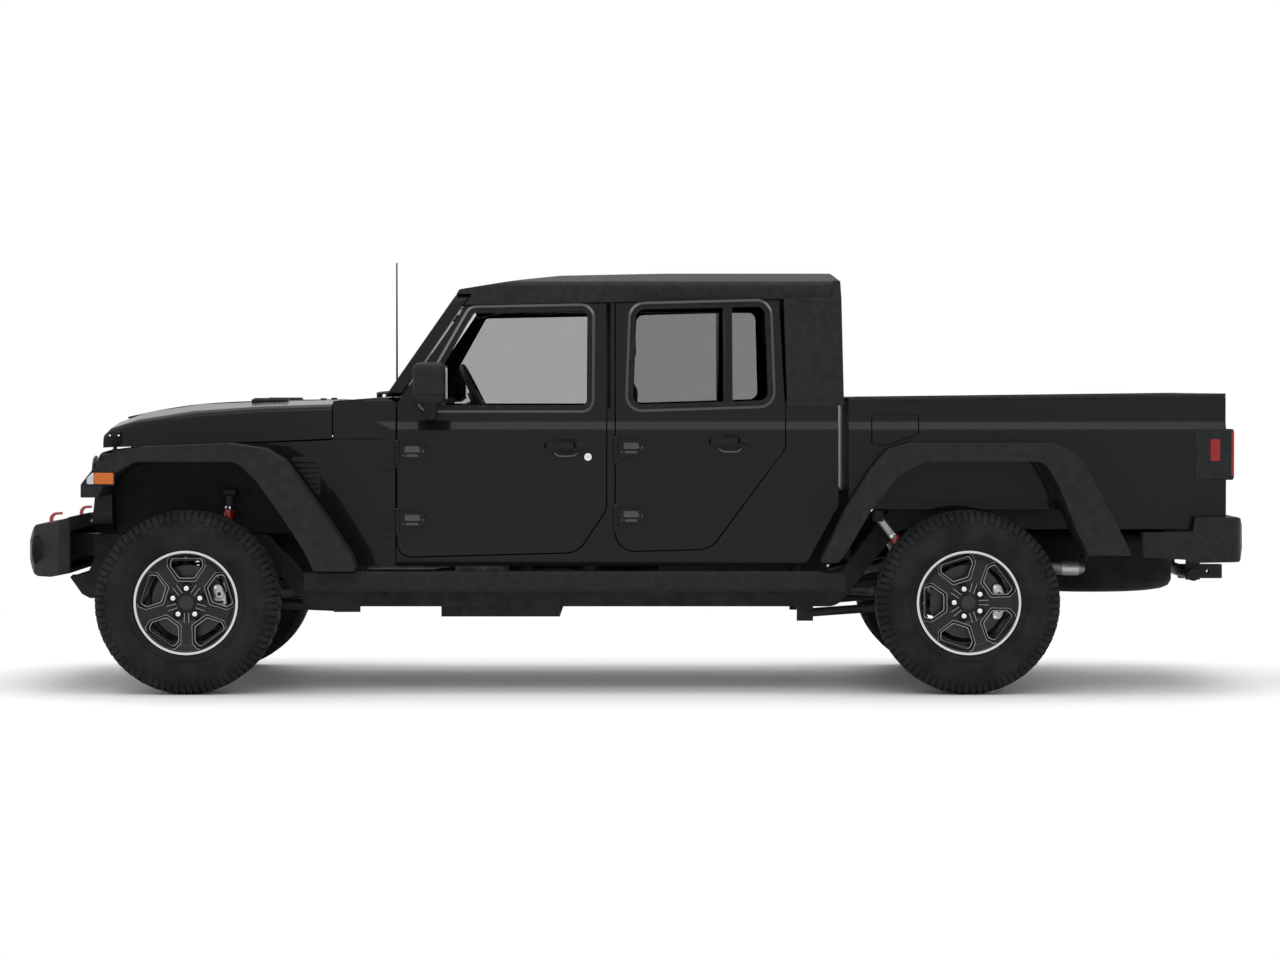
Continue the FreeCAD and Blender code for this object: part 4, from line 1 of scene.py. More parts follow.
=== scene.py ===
import json
import math
import bmesh
import bpy
from mathutils import Matrix, Vector
from mathutils.bvhtree import BVHTree


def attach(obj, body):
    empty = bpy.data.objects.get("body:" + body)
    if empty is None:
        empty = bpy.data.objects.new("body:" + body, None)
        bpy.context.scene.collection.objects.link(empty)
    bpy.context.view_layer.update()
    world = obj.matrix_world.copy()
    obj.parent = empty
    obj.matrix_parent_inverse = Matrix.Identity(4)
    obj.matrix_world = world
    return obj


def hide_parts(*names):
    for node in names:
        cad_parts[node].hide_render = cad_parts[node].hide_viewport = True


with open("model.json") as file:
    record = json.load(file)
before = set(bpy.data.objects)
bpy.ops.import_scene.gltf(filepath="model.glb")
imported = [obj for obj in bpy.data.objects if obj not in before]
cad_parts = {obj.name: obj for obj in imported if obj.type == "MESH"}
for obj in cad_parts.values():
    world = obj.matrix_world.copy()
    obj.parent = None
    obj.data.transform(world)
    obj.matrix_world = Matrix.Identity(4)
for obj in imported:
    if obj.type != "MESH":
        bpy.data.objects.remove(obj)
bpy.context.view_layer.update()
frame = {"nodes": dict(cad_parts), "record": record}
cadNodes = frame["nodes"]
scene = bpy.context.scene
print("frame loaded:", len(cadNodes), "pieces")

# small helpers for building shader trees

def newMaterial(name, colour, rough, metal=0.0, coat=0.0, coatRough=0.03, sheen=0.0, specular=0.5):
    mat = bpy.data.materials.new(name)
    mat.use_nodes = True
    shader = shaderOf(mat)
    shader.inputs["Base Color"].default_value = (*colour, 1)
    shader.inputs["Roughness"].default_value = rough
    shader.inputs["Metallic"].default_value = metal
    shader.inputs["Coat Weight"].default_value = coat
    shader.inputs["Coat Roughness"].default_value = coatRough
    shader.inputs["Sheen Weight"].default_value = sheen
    shader.inputs["Specular IOR Level"].default_value = specular
    mat.diffuse_color = (*colour, 1)
    return mat


def shaderOf(mat):
    return mat.node_tree.nodes["Principled BSDF"]


def node(mat, kind, **values):
    made = mat.node_tree.nodes.new(kind)
    for key, value in values.items():
        if key in made.inputs:
            made.inputs[key].default_value = value
        else:
            setattr(made, key, value)
    return made


def join(mat, fromNode, fromSocket, toNode, toSocket):
    mat.node_tree.links.new(fromNode.outputs[fromSocket], toNode.inputs[toSocket])


def objectPoint(mat, scale=(1, 1, 1)):
    coords = node(mat, "ShaderNodeTexCoord")
    mapping = node(mat, "ShaderNodeMapping", Scale=scale)
    join(mat, coords, "Object", mapping, "Vector")
    return mapping


def texture(mat, kind, stretch=(1, 1, 1), **values):
    made = node(mat, kind, **values)
    join(mat, objectPoint(mat, stretch), "Vector", made, "Vector")
    return made


def grain(mat, scale, strength, distance, stretch=(1, 1, 1)):
    # a bump from noise
    noise = texture(mat, "ShaderNodeTexNoise", stretch, Scale=scale, Detail=4.0, Roughness=0.6)
    addBump(mat, noise, "Fac", strength, distance)


def cellGrain(mat, scale, strength, distance):
    # a bump from small cells
    addBump(mat, texture(mat, "ShaderNodeTexVoronoi", Scale=scale), "Distance", strength, distance)


def addBump(mat, source, socket, strength, distance):
    bump = node(mat, "ShaderNodeBump", Strength=strength, Distance=distance)
    join(mat, source, socket, bump, "Height")
    join(mat, bump, "Normal", shaderOf(mat), "Normal")


def mottle(mat, first, second, scale):
    # colour drifting between two tones
    noise = texture(mat, "ShaderNodeTexNoise", Scale=scale, Detail=5.0)
    ramp = node(mat, "ShaderNodeValToRGB")
    for stop, position, colour in zip(ramp.color_ramp.elements, (0.35, 0.65), (first, second)):
        stop.position = position
        stop.color = (*colour, 1)
    join(mat, noise, "Fac", ramp, "Fac")
    join(mat, ramp, "Color", shaderOf(mat), "Base Color")


def roughDrift(mat, scale, low, high):
    # roughness drifting between two values
    noise = texture(mat, "ShaderNodeTexNoise", Scale=scale, Detail=6.0)
    spread = node(mat, "ShaderNodeMapRange")
    spread.inputs["To Min"].default_value = low
    spread.inputs["To Max"].default_value = high
    join(mat, noise, "Fac", spread, "Value")
    join(mat, spread, "Result", shaderOf(mat), "Roughness")


# finishes

# colour and roughness, what else the shader gets, and its textures: two tones, drift of the roughness, bump
paints = {
    "blackPaint": ((0.0048, 0.005, 0.0057), 0.34, dict(coat=0.26, coatRough=0.035, specular=0.07),
                   dict(drift=(3.0, 0.28, 0.36), grain=(900, 0.02, 0.0004))),
    # a thicker, glossier coat on the small raised parts, whose edges catch the light, over a base colour lighter than
    # the body paint: a painted highlight
    "hingeGloss": ((0.008, 0.0082, 0.009), 0.22, dict(coat=0.9, coatRough=0.08, specular=0.4),
                   dict(drift=(30, 0.2, 0.3))),
    "steelPaint": ((0.014, 0.014, 0.015), 0.55, dict(specular=0.14),
                   dict(tones=((0.011, 0.011, 0.012), (0.017, 0.017, 0.018), 40), grain=(1100, 0.25, 0.0006))),
    "framePaint": ((0.018, 0.018, 0.018), 0.5, dict(specular=0.18),
                   dict(tones=((0.012, 0.012, 0.012), (0.03, 0.028, 0.026), 12), grain=(160, 0.15, 0.0006))),
    "castMetal": ((0.05, 0.05, 0.05), 0.6, dict(metal=0.4),
                  dict(tones=((0.02, 0.02, 0.02), (0.06, 0.055, 0.05), 30), grain=(240, 0.3, 0.0008))),
    "engineMetal": ((0.12, 0.12, 0.12), 0.5, dict(metal=0.7),
                    dict(tones=((0.05, 0.05, 0.05), (0.16, 0.16, 0.16), 18), grain=(120, 0.3, 0.001))),
    "exhaustSteel": ((0.28, 0.26, 0.24), 0.38, dict(metal=0.9),
                     dict(tones=((0.12, 0.1, 0.09), (0.34, 0.32, 0.3), 14), drift=(20, 0.3, 0.55))),
    "darkPlastic": ((0.016, 0.0165, 0.018), 0.6, dict(specular=0.13),
                    dict(tones=((0.013, 0.0135, 0.015), (0.019, 0.0195, 0.021), 25), grain=(1400, 0.35, 0.0005))),
    "hardTop": ((0.014, 0.0145, 0.016), 0.68, dict(specular=0.13),
                dict(tones=((0.0115, 0.012, 0.0135), (0.018, 0.0185, 0.0205), 30), cells=(520, 0.55, 0.0009))),
    "trimPlastic": ((0.03, 0.03, 0.031), 0.5, dict(specular=0.2),
                    dict(tones=((0.024, 0.024, 0.025), (0.034, 0.034, 0.036), 20), cells=(900, 0.3, 0.0004))),
    "rubber": ((0.012, 0.012, 0.012), 0.75, dict(specular=0.14),
               dict(tones=((0.009, 0.009, 0.009), (0.016, 0.016, 0.016), 30), grain=(300, 0.2, 0.0004))),
    "tyreRubber": ((0.013, 0.013, 0.013), 0.78, dict(sheen=0.03, specular=0.1),
                   dict(tones=((0.010, 0.010, 0.010), (0.019, 0.0185, 0.018), 9), grain=(420, 0.25, 0.0006))),
    "wheelPaint": ((0.009, 0.009, 0.01), 0.36, dict(coat=0.25, coatRough=0.15, specular=0.15),
                   dict(drift=(20, 0.34, 0.44), grain=(700, 0.08, 0.0003))),
    "machined": ((0.62, 0.62, 0.63), 0.26, dict(metal=1.0), dict(drift=(60, 0.2, 0.34), grain=(900, 0.06, 0.0002))),
    "edgeMetal": ((0.24, 0.24, 0.25), 0.34, dict(metal=1.0), dict(drift=(60, 0.28, 0.4))),
    "chrome": ((0.75, 0.76, 0.78), 0.12, dict(metal=1.0), dict(drift=(50, 0.08, 0.18))),
    # nearly black steel for the brake disc: painted shade of the inside of the wheel
    "shadedBrakeSteel": ((0.045, 0.045, 0.047), 0.36, dict(metal=1.0), dict(drift=(40, 0.26, 0.45))),
    "redPaint": ((0.45, 0.008, 0.010), 0.3, dict(coat=0.8, coatRough=0.05), dict(drift=(20, 0.26, 0.36))),
    "springPaint": ((0.03, 0.03, 0.032), 0.35, dict(specular=0.25), dict(drift=(30, 0.3, 0.45))),
    "silverPaint": ((0.42, 0.43, 0.44), 0.32, dict(metal=0.85), dict(drift=(30, 0.26, 0.4))),
    "carpet": ((0.012, 0.012, 0.013), 0.95, dict(sheen=0.3, specular=0.05), dict(grain=(500, 0.8, 0.002))),
    "bedLiner": ((0.014, 0.014, 0.014), 0.7, dict(specular=0.12), dict(cells=(260, 0.6, 0.0012))),
    "seatCloth": ((0.022, 0.022, 0.024), 0.9, dict(sheen=0.35, specular=0.1),
                  dict(tones=((0.016, 0.016, 0.018), (0.03, 0.03, 0.032), 240), cells=(1300, 0.5, 0.0006))),
    "thread": ((0.09, 0.09, 0.095), 0.8, dict(sheen=0.2), {}),
    "mirrorGlass": ((0.72, 0.74, 0.76), 0.02, dict(metal=1.0), {}),
    "radiatorDark": ((0.01, 0.01, 0.011), 0.5, dict(metal=0.3, specular=0.15),
                     dict(grain=(260, 0.5, 0.002, (1, 1, 5)))),
}
lensShine = {"coat": 0.25, "coatRough": 0.02, "specular": 0.25}
glassShine = (0.30, 0.31, 0.32, 1)


def makeFinishes():
    makers = {"tones": mottle, "drift": roughDrift, "grain": grain, "cells": cellGrain}
    f = {}
    for name, (colour, rough, shine, textures) in paints.items():
        f[name] = newMaterial(name, colour, rough, **shine)
        for kind, values in textures.items():
            makers[kind](f[name], *values)
    for name, tint, rough in (("windowGlass", (0.76, 0.765, 0.765), 0.03), ("rearGlass", (0.66, 0.665, 0.665), 0.03),
                              ("clearLens", (0.96, 0.97, 0.98), 0.02)):
        f[name] = glassFinish(name, tint, rough)
    for name, colour in (("redLens", (0.38, 0.006, 0.006)), ("amberLens", (0.75, 0.17, 0.01)),
                         ("whiteLens", (0.75, 0.76, 0.78))):
        f[name] = lensFinish(name, colour)
    return f


def glassFinish(name, tint, rough):
    # thin tinted glass: sees straight through and keeps a glossy skin
    mat = newMaterial(name, tint, rough)
    tree = mat.node_tree
    clear = node(mat, "ShaderNodeBsdfTransparent", Color=(*tint, 1))
    gloss = node(mat, "ShaderNodeBsdfGlossy", Roughness=rough, Color=glassShine)
    fresnel = node(mat, "ShaderNodeFresnel", IOR=1.5)
    slant = node(mat, "ShaderNodeMapRange")
    slant.inputs["From Min"].default_value = 0.045
    side = node(mat, "ShaderNodeNewGeometry")
    outside = node(mat, "ShaderNodeMath", operation="SUBTRACT")
    outside.inputs[0].default_value = 1.0
    skin = node(mat, "ShaderNodeMath", operation="MULTIPLY")
    mix = node(mat, "ShaderNodeMixShader")
    join(mat, fresnel, "Fac", slant, "Value")
    join(mat, side, "Backfacing", outside, 1)
    join(mat, slant, "Result", skin, 0)
    join(mat, outside, "Value", skin, 1)
    join(mat, skin, "Value", mix, "Fac")
    tree.links.new(clear.outputs[0], mix.inputs[1])
    tree.links.new(gloss.outputs[0], mix.inputs[2])
    tree.links.new(mix.outputs[0], tree.nodes["Material Output"].inputs["Surface"])
    return mat


def lensFinish(name, colour):
    # coloured lamp plastic with small cells in it
    mat = newMaterial(name, colour, 0.16, **lensShine)
    shader = shaderOf(mat)
    shader.inputs["Transmission Weight"].default_value = 0.35
    shader.inputs["IOR"].default_value = 1.45
    cellGrain(mat, 110.0, 0.3, 0.001)
    return mat


finish = makeFinishes()
print("finishes made:", len(finish))

paintedNodes = {
    "framePaint": "chassis_frame tow_receiver suspension_links",
    "castMetal": "axles knuckle_left knuckle_right tie_rod",
    "silverPaint": "springs_and_dampers",
    "radiatorDark": "engine_and_radiator",
    "engineMetal": "gearbox_and_shafts",
    "exhaustSteel": "exhaust",
    "darkPlastic": "fuel_tank arch_mouldings tail_lamps bed_trim wipers_and_aerial mirror_left mirror_right",
    "tyreRubber": "spare_wheel tyre_front_left tyre_front_right tyre_rear_left tyre_rear_right",
    "wheelPaint": "wheel_front_left wheel_front_right wheel_rear_left wheel_rear_right",
    "carpet": "cab_floor",
    "blackPaint": "cab_sides scuttle windscreen_frame bonnet grille front_wings load_bed fuel_flap tailgate "
                  "door_front_left door_front_right door_rear_left door_rear_right",
    "hardTop": "roof_front_panel hard_top",
    "windowGlass": "fixed_glass window_front_left window_front_right",
    "rearGlass": "window_rear_left window_rear_right",
    "steelPaint": "front_bumper rear_bumper sill_rails",
    "redPaint": "tow_hooks",
    "clearLens": "front_lamps",
    "trimPlastic": "dashboard steering_wheel roll_bar",
    "seatCloth": "seats",
}
for finishName, nodeNames in paintedNodes.items():
    for nodeName in nodeNames.split():
        cadNodes[nodeName].data.materials.clear()
        cadNodes[nodeName].data.materials.append(finish[finishName])

# helpers for building meshes

def linked(name, data):
    made = bpy.data.objects.new(name, data)
    scene.collection.objects.link(made)
    return made


def plainObject(name, verts, faces, finishName, angle=None):
    mesh = bpy.data.meshes.new(name)
    mesh.from_pydata([tuple(v) for v in verts], [], faces)
    mesh.materials.append(finish[finishName])
    made = linked(name, mesh)
    tidyFaces(mesh)
    if angle:
        shadeByAngle(mesh, angle)
    return made


def tidyFaces(mesh):
    bm = bmesh.new()
    bm.from_mesh(mesh)
    bmesh.ops.remove_doubles(bm, verts=bm.verts, dist=1e-6)
    bmesh.ops.recalc_face_normals(bm, faces=bm.faces)
    bm.to_mesh(mesh)
    bm.free()


def shadeByAngle(mesh, degrees):
    mesh.polygons.foreach_set("use_smooth", [True] * len(mesh.polygons))
    mesh.set_sharp_from_angle(angle=math.radians(degrees))


def bakeModifiers(piece):
    # turns the evaluated piece into a plain mesh and drops its modifiers
    graph = bpy.context.evaluated_depsgraph_get()
    mesh = bpy.data.meshes.new_from_object(piece.evaluated_get(graph))
    piece.modifiers.clear()
    old = piece.data
    piece.data = mesh
    mesh.name = piece.name
    bpy.data.meshes.remove(old)


def softenEdges(piece, width, segments=2, angle=35):
    bevel = piece.modifiers.new("soften", "BEVEL")
    bevel.width = width
    bevel.segments = segments
    bevel.limit_method = "ANGLE"
    bevel.angle_limit = math.radians(angle)
    bakeModifiers(piece)
    shadeByAngle(piece.data, 40)


def volumeOf(mesh):
    bm = bmesh.new()
    bm.from_mesh(mesh)
    volume = bm.calc_volume()
    bm.free()
    return volume


def dropPiece(piece):
    mesh = piece.data
    bpy.data.objects.remove(piece)
    if mesh.users == 0:
        bpy.data.meshes.remove(mesh)


def joinPieces(name, parts):
    # one mesh from several, keeping each one's finish
    mesh = bpy.data.meshes.new(name)
    bm = bmesh.new()
    mats = []
    for part in parts:
        start = len(bm.faces)
        bm.from_mesh(part.data)
        bm.faces.ensure_lookup_table()
        slots = []
        for mat in part.data.materials:
            if mat not in mats:
                mats.append(mat)
            slots.append(mats.index(mat))
        for face in bm.faces[start:]:
            face.material_index = slots[face.material_index] if slots else 0
    bm.to_mesh(mesh)
    bm.free()
    for mat in mats:
        mesh.materials.append(mat)
    for part in parts:
        dropPiece(part)
    return linked(name, mesh)


def boxShape(name, low, high, finishName, bevel=0.0, segments=2):
    x0, y0, z0 = low
    x1, y1, z1 = high
    verts = [(x, y, z) for z in (z0, z1) for x, y in ((x0, y0), (x1, y0), (x1, y1), (x0, y1))]
    faces = [(0, 3, 2, 1), (4, 5, 6, 7), (0, 1, 5, 4), (1, 2, 6, 5), (2, 3, 7, 6), (3, 0, 4, 7)]
    made = plainObject(name, verts, faces, finishName)
    if bevel:
        softenEdges(made, bevel, segments)
    return made


def latheShape(name, profile, finishName, axis="y", centre=(0, 0, 0), steps=64, closed=True, angle=35):
    # a ring or a turned shape; profile holds (along the axis, radius) pairs
    verts, faces = [], []
    count = len(profile)
    for step in range(steps):
        turn = 2 * math.pi * step / steps
        for along, radius in profile:
            a, b = radius * math.cos(turn), radius * math.sin(turn)
            verts.append({"y": (a, along, b), "x": (along, a, b), "z": (a, b, along)}[axis])
    for step in range(steps):
        after = (step + 1) % steps
        for i in range(count if closed else count - 1):
            j = (i + 1) % count
            faces.append((step * count + i, step * count + j, after * count + j, after * count + i))
    made = plainObject(name, [Vector(v) + Vector(centre) for v in verts], faces, finishName, angle)
    bm = bmesh.new()
    bm.from_mesh(made.data)
    bmesh.ops.dissolve_degenerate(bm, dist=1e-6, edges=bm.edges)
    bmesh.ops.remove_doubles(bm, verts=bm.verts, dist=1e-5)
    if not closed:
        edges = [e for e in bm.edges if e.is_boundary]
        if edges:
            bmesh.ops.holes_fill(bm, edges=edges, sides=0)
    bmesh.ops.recalc_face_normals(bm, faces=bm.faces)
    bm.to_mesh(made.data)
    bm.free()
    return made


def turned(name, profile, finishName, axis="y", centre=(0, 0, 0), steps=64, angle=35):
    # a solid turned shape, whose profile starts and ends on the axis
    return latheShape(name, profile, finishName, axis, centre, steps, False, angle)


def extrudeOutline(name, outline, depth0, depth1, view, finishName, bevel=0.0, segments=2):
    # a plate from an outline seen from the side (x, z), from above (x, y) or from the front (y, z)
    def put(a, b, d):
        return {"side": (a, d, b), "plan": (a, b, d), "front": (d, a, b)}[view]
    count = len(outline)
    verts = [put(a, b, depth) for depth in (depth0, depth1) for a, b in outline]
    faces = [tuple(range(count)), tuple(range(count, 2 * count))[::-1]]
    for i in range(count):
        j = (i + 1) % count
        faces.append((i, j, count + j, count + i))
    made = plainObject(name, verts, faces, finishName)
    if bevel:
        softenEdges(made, bevel, segments)
    return made


def roundedOutline(points, steps=5):
    # points are (a, b, corner radius)
    out = []
    count = len(points)
    for i, (a, b, radius) in enumerate(points):
        at = Vector((a, b))
        back = (Vector(points[i - 1][:2]) - at).normalized()
        ahead = (Vector(points[(i + 1) % count][:2]) - at).normalized()
        half = back.angle(ahead) / 2
        reach = radius / math.tan(half)
        start, end = at + back * reach, at + ahead * reach
        centre = at + (back + ahead).normalized() * (radius / math.sin(half))
        first, last = start - centre, end - centre
        sweep = first.angle_signed(last)
        for step in range(steps + 1):
            turn = -sweep * step / steps
            c, s = math.cos(turn), math.sin(turn)
            out.append((centre.x + first.x * c - first.y * s, centre.y + first.x * s + first.y * c))
    return out


def rectangle(a0, b0, a1, b1, radii):
    # the corners of a rectangle with their radii, or one radius for all; up first, then across
    if not isinstance(radii, tuple):
        radii = (radii,) * 4
    return [(a, b, r) for (a, b), r in zip(((a0, b0), (a0, b1), (a1, b1), (a1, b0)), radii)]


def plate(name, points, steps, depths, view, finishName, bevel=0.0):
    return extrudeOutline(name, roundedOutline(points, steps), *depths, view, finishName, bevel)


def bandPiece(name, rings, finishName, angle=None):
    # a closed band from four rings of as many points: inner and outer on one level, then on the other
    count = len(rings[0])
    faces = []
    for i in range(count):
        j = (i + 1) % count
        faces += [(i, j, count + j, count + i), (2 * count + i, 3 * count + i, 3 * count + j, 2 * count + j),
                  (i, 2 * count + i, 2 * count + j, j), (count + i, count + j, 3 * count + j, 3 * count + i)]
    return plainObject(name, [point for ring in rings for point in ring], faces, finishName, angle)


def gathered(name, shapes, finishName):
    # one piece from several (verts, faces) pairs
    verts, faces = [], []
    for v, f in shapes:
        base = len(verts)
        verts += v
        faces += [tuple(i + base for i in face) for face in f]
    return plainObject(name, verts, faces, finishName)


def tubeShape(name, points, radius, finishName, sides=12, closed=False, smoothLine=True):
    curve = bpy.data.curves.new(name, "CURVE")
    curve.dimensions = "3D"
    spline = curve.splines.new("NURBS" if smoothLine else "POLY")
    spline.points.add(len(points) - 1)
    for spot, point in zip(spline.points, points):
        spot.co = (*point, 1)
    spline.use_cyclic_u = closed
    if smoothLine:
        spline.order_u = 3
        spline.use_endpoint_u = not closed
        spline.resolution_u = 6
    curve.bevel_depth = radius
    curve.bevel_resolution = max(1, sides // 4 - 1)
    curve.use_fill_caps = True
    made = linked(name, curve)
    graph = bpy.context.evaluated_depsgraph_get()
    mesh = bpy.data.meshes.new_from_object(made.evaluated_get(graph))
    bpy.data.objects.remove(made)
    bpy.data.curves.remove(curve)
    mesh.name = name
    mesh.materials.clear()
    mesh.materials.append(finish[finishName])
    piece = linked(name, mesh)
    tidyFaces(mesh)
    shadeByAngle(mesh, 50)
    return piece


def shifted(piece, move=(0, 0, 0), turnY=0.0, flip=False, name=None):
    # a copy of a piece turned about the Y axis, mirrored to the right side if asked, and moved
    mesh = piece.data.copy()
    matrix = Matrix.Rotation(turnY, 4, "Y")
    if flip:
        matrix = Matrix.Scale(-1, 4, (0, 1, 0)) @ matrix
    mesh.transform(Matrix.Translation(move) @ matrix)
    if flip:
        mesh.flip_normals()
    made = linked(name or piece.name, mesh)
    mesh.name = made.name
    return made


def settle(piece, body):
    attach(piece, body)


# Geometry Nodes that repeat a shape, round the Y axis or along a step

def turnNodes(add, link, start, index):
    pitch, times = add("ShaderNodeMath"), add("ShaderNodeMath")
    pitch.operation, times.operation = "DIVIDE", "MULTIPLY"
    pitch.inputs[0].default_value = 2 * math.pi
    angle = add("ShaderNodeCombineXYZ")
    link(start.outputs["Count"], pitch.inputs[1])
    link(index, times.inputs[0])
    link(pitch.outputs[0], times.inputs[1])
    link(times.outputs[0], angle.inputs["Y"])
    return angle.outputs[0]


def stepNodes(add, link, start, index):
    scale = add("ShaderNodeVectorMath")
    scale.operation = "SCALE"
    link(start.outputs["Step"], scale.inputs[0])
    link(index, scale.inputs["Scale"])
    return scale.outputs[0]


def makeRepeatTree(name, extraSockets, mover, socket, nodesFor):
    tree = bpy.data.node_groups.new(name, "GeometryNodeTree")
    for socketName, kind in (("Geometry", "Geometry"), ("Count", "Int"), *extraSockets, ("Finish", "Material")):
        tree.interface.new_socket(socketName, in_out="INPUT", socket_type="NodeSocket" + kind)
    tree.interface.new_socket("Geometry", in_out="OUTPUT", socket_type="NodeSocketGeometry")
    add, link = tree.nodes.new, tree.links.new
    start, stop = add("NodeGroupInput"), add("NodeGroupOutput")
    instance = add("GeometryNodeGeometryToInstance")
    repeat = add("GeometryNodeDuplicateElements")
    repeat.domain = "INSTANCE"
    move = add(mover)
    move.inputs["Local Space"].default_value = False
    real = add("GeometryNodeRealizeInstances")
    paint = add("GeometryNodeSetMaterial")
    link(start.outputs["Geometry"], instance.inputs[0])
    link(instance.outputs[0], repeat.inputs["Geometry"])
    link(start.outputs["Count"], repeat.inputs["Amount"])
    link(repeat.outputs["Geometry"], move.inputs["Instances"])
    link(nodesFor(add, link, start, repeat.outputs["Duplicate Index"]), move.inputs[socket])
    link(move.outputs[0], real.inputs[0])
    link(real.outputs[0], paint.inputs["Geometry"])
    link(start.outputs["Finish"], paint.inputs["Material"])
    link(paint.outputs[0], stop.inputs[0])
    return tree


ringTree = makeRepeatTree("repeatRound", (), "GeometryNodeRotateInstances", "Rotation", turnNodes)
rowTree = makeRepeatTree("repeatAlong", (("Step", "Vector"),), "GeometryNodeTranslateInstances", "Translation",
                         stepNodes)


def repeatWith(piece, tree, **values):
    # the copies keep the finish of the piece
    coat = piece.data.materials[0]
    ids = {i.name: i.identifier for i in tree.interface.items_tree if i.in_out == "INPUT"}
    modifier = piece.modifiers.new("repeat", "NODES")
    modifier.node_group = tree
    for key, value in values.items():
        modifier[ids[key]] = value
    modifier[ids["Finish"]] = coat
    bakeModifiers(piece)
    piece.data.materials.clear()
    piece.data.materials.append(coat)
    return piece


def ringOf(piece, count):
    return repeatWith(piece, ringTree, Count=count)


def rowOf(piece, count, step):
    return repeatWith(piece, rowTree, Count=count, Step=step)


# what stands at the four corners: (x, side, key)

corners = {"front_left": (-1.9895, -1, "fl"), "front_right": (-1.9895, 1, "fr"),
           "rear_left": (1.4975, -1, "rl"), "rear_right": (1.4975, 1, "rr")}
wheelBodies = {key: "wheel_" + key for key in ("fl", "fr", "rl", "rr")}
hubBodies = {"fl": "knuckle_l", "fr": "knuckle_r", "rl": "vehicle", "rr": "vehicle"}


def fitAtCorners(master, name, bodies, rearTurn=0.0, stands=None):
    # a copy at each corner; stands begins the names of the nodes that the copies replace
    for corner, (x, side, key) in corners.items():
        turn = rearTurn if corner.startswith("rear") else 0.0
        piece = shifted(master, (x, side * tyreSizes["track"], tyreSizes["axle"]), turn, side > 0, name + key.upper())
        settle(piece, bodies[key])
        if stands:
            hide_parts(stands + corner)
    dropPiece(master)


# tyres

tyreSizes = {"radius": 0.4095, "groove": 0.0115, "pitches": 40, "gap": 0.0065, "axle": 0.41, "track": 0.8,
             "rearTurn": 0.7}


def treadHeight(y):
    # the tread's outer radius across its width
    edge = abs(y)
    top = tyreSizes["radius"]
    if edge <= 0.096:
        return top
    if edge <= 0.122:
        return top - 0.0135 * ((edge - 0.096) / 0.026) ** 1.5
    return top - 0.0135 - (edge - 0.122) * 2.2


def wrapped(s, y, radius):
    # a point that lies s metres along the tread and y across it
    turn = s / tyreSizes["radius"]
    return radius * math.sin(turn), y, radius * math.cos(turn)


def treadBlock(outline, depth):
    # one block of the tread from its outline (along the rim, across), narrower at its top
    count = len(outline)
    verts = [wrapped(s, y, treadHeight(y) - depth) for s, y in outline]
    verts += [wrapped(s * 0.965, y, treadHeight(y)) for s, y in outline]
    faces = [tuple(range(count, 2 * count)), tuple(range(count))[::-1]]
    for i in range(count):
        j = (i + 1) % count
        faces.append((i, j, count + j, count + i))
    return verts, faces


def treadOutlines(half, gap):
    # the middle block, the two beside it and the four at the shoulders of one pitch
    low, high = -half + gap / 2, half - gap / 2
    outlines = [[(low, -0.020), (-half + 0.020, -0.026), (high - 0.004, -0.024), (high, -0.004),
                 (half - 0.018, 0.022), (0.000, 0.026), (low + 0.004, 0.018)]]
    for side in (-1, 1):
        off = half * 0.5 * side
        beside = [(low, 0.034), (-0.004, 0.031), (high - 0.004, 0.036), (high, 0.062), (0.006, 0.080),
                  (low + 0.006, 0.076)]
        outlines.append([(s + off, side * y) for s, y in beside])
        for k, inner in ((0, 0.086), (1, 0.092)):
            s0 = low + k * half
            s1 = s0 + half - gap
            shoulder = [(s0, inner), (s1, inner - 0.004), (s1, 0.110), (s1 - 0.001, 0.1265), (s0 + 0.001, 0.1265),
                        (s0, 0.110)]
            outlines.append([(s, side * y) for s, y in shoulder])
    return outlines


def shoulderLug(side, s0, s1, low):
    # a lug over the tyre's shoulder: five rows of its outer skin, then five sunk in the sidewall
    rows = [(0.1235, 0.3925), (0.1325, 0.384), (0.1385, 0.366), (0.1412, low + 0.004), (0.1405, low),
            (0.118, 0.385), (0.126, 0.375), (0.131, 0.362), (0.134, low + 0.004), (0.134, low)]
    verts = [wrapped(s, side * y, radius) for y, radius in rows for s in (s0, s1)]
    faces = [(0, 10, 11, 1), (8, 9, 19, 18)]
    for a in range(0, 8, 2):
        b = a + 10
        faces += [(a, a + 1, a + 3, a + 2), (b, b + 2, b + 3, b + 1), (a, a + 2, b + 2, b),
                  (a + 1, b + 1, b + 3, a + 3)]
    return verts, faces


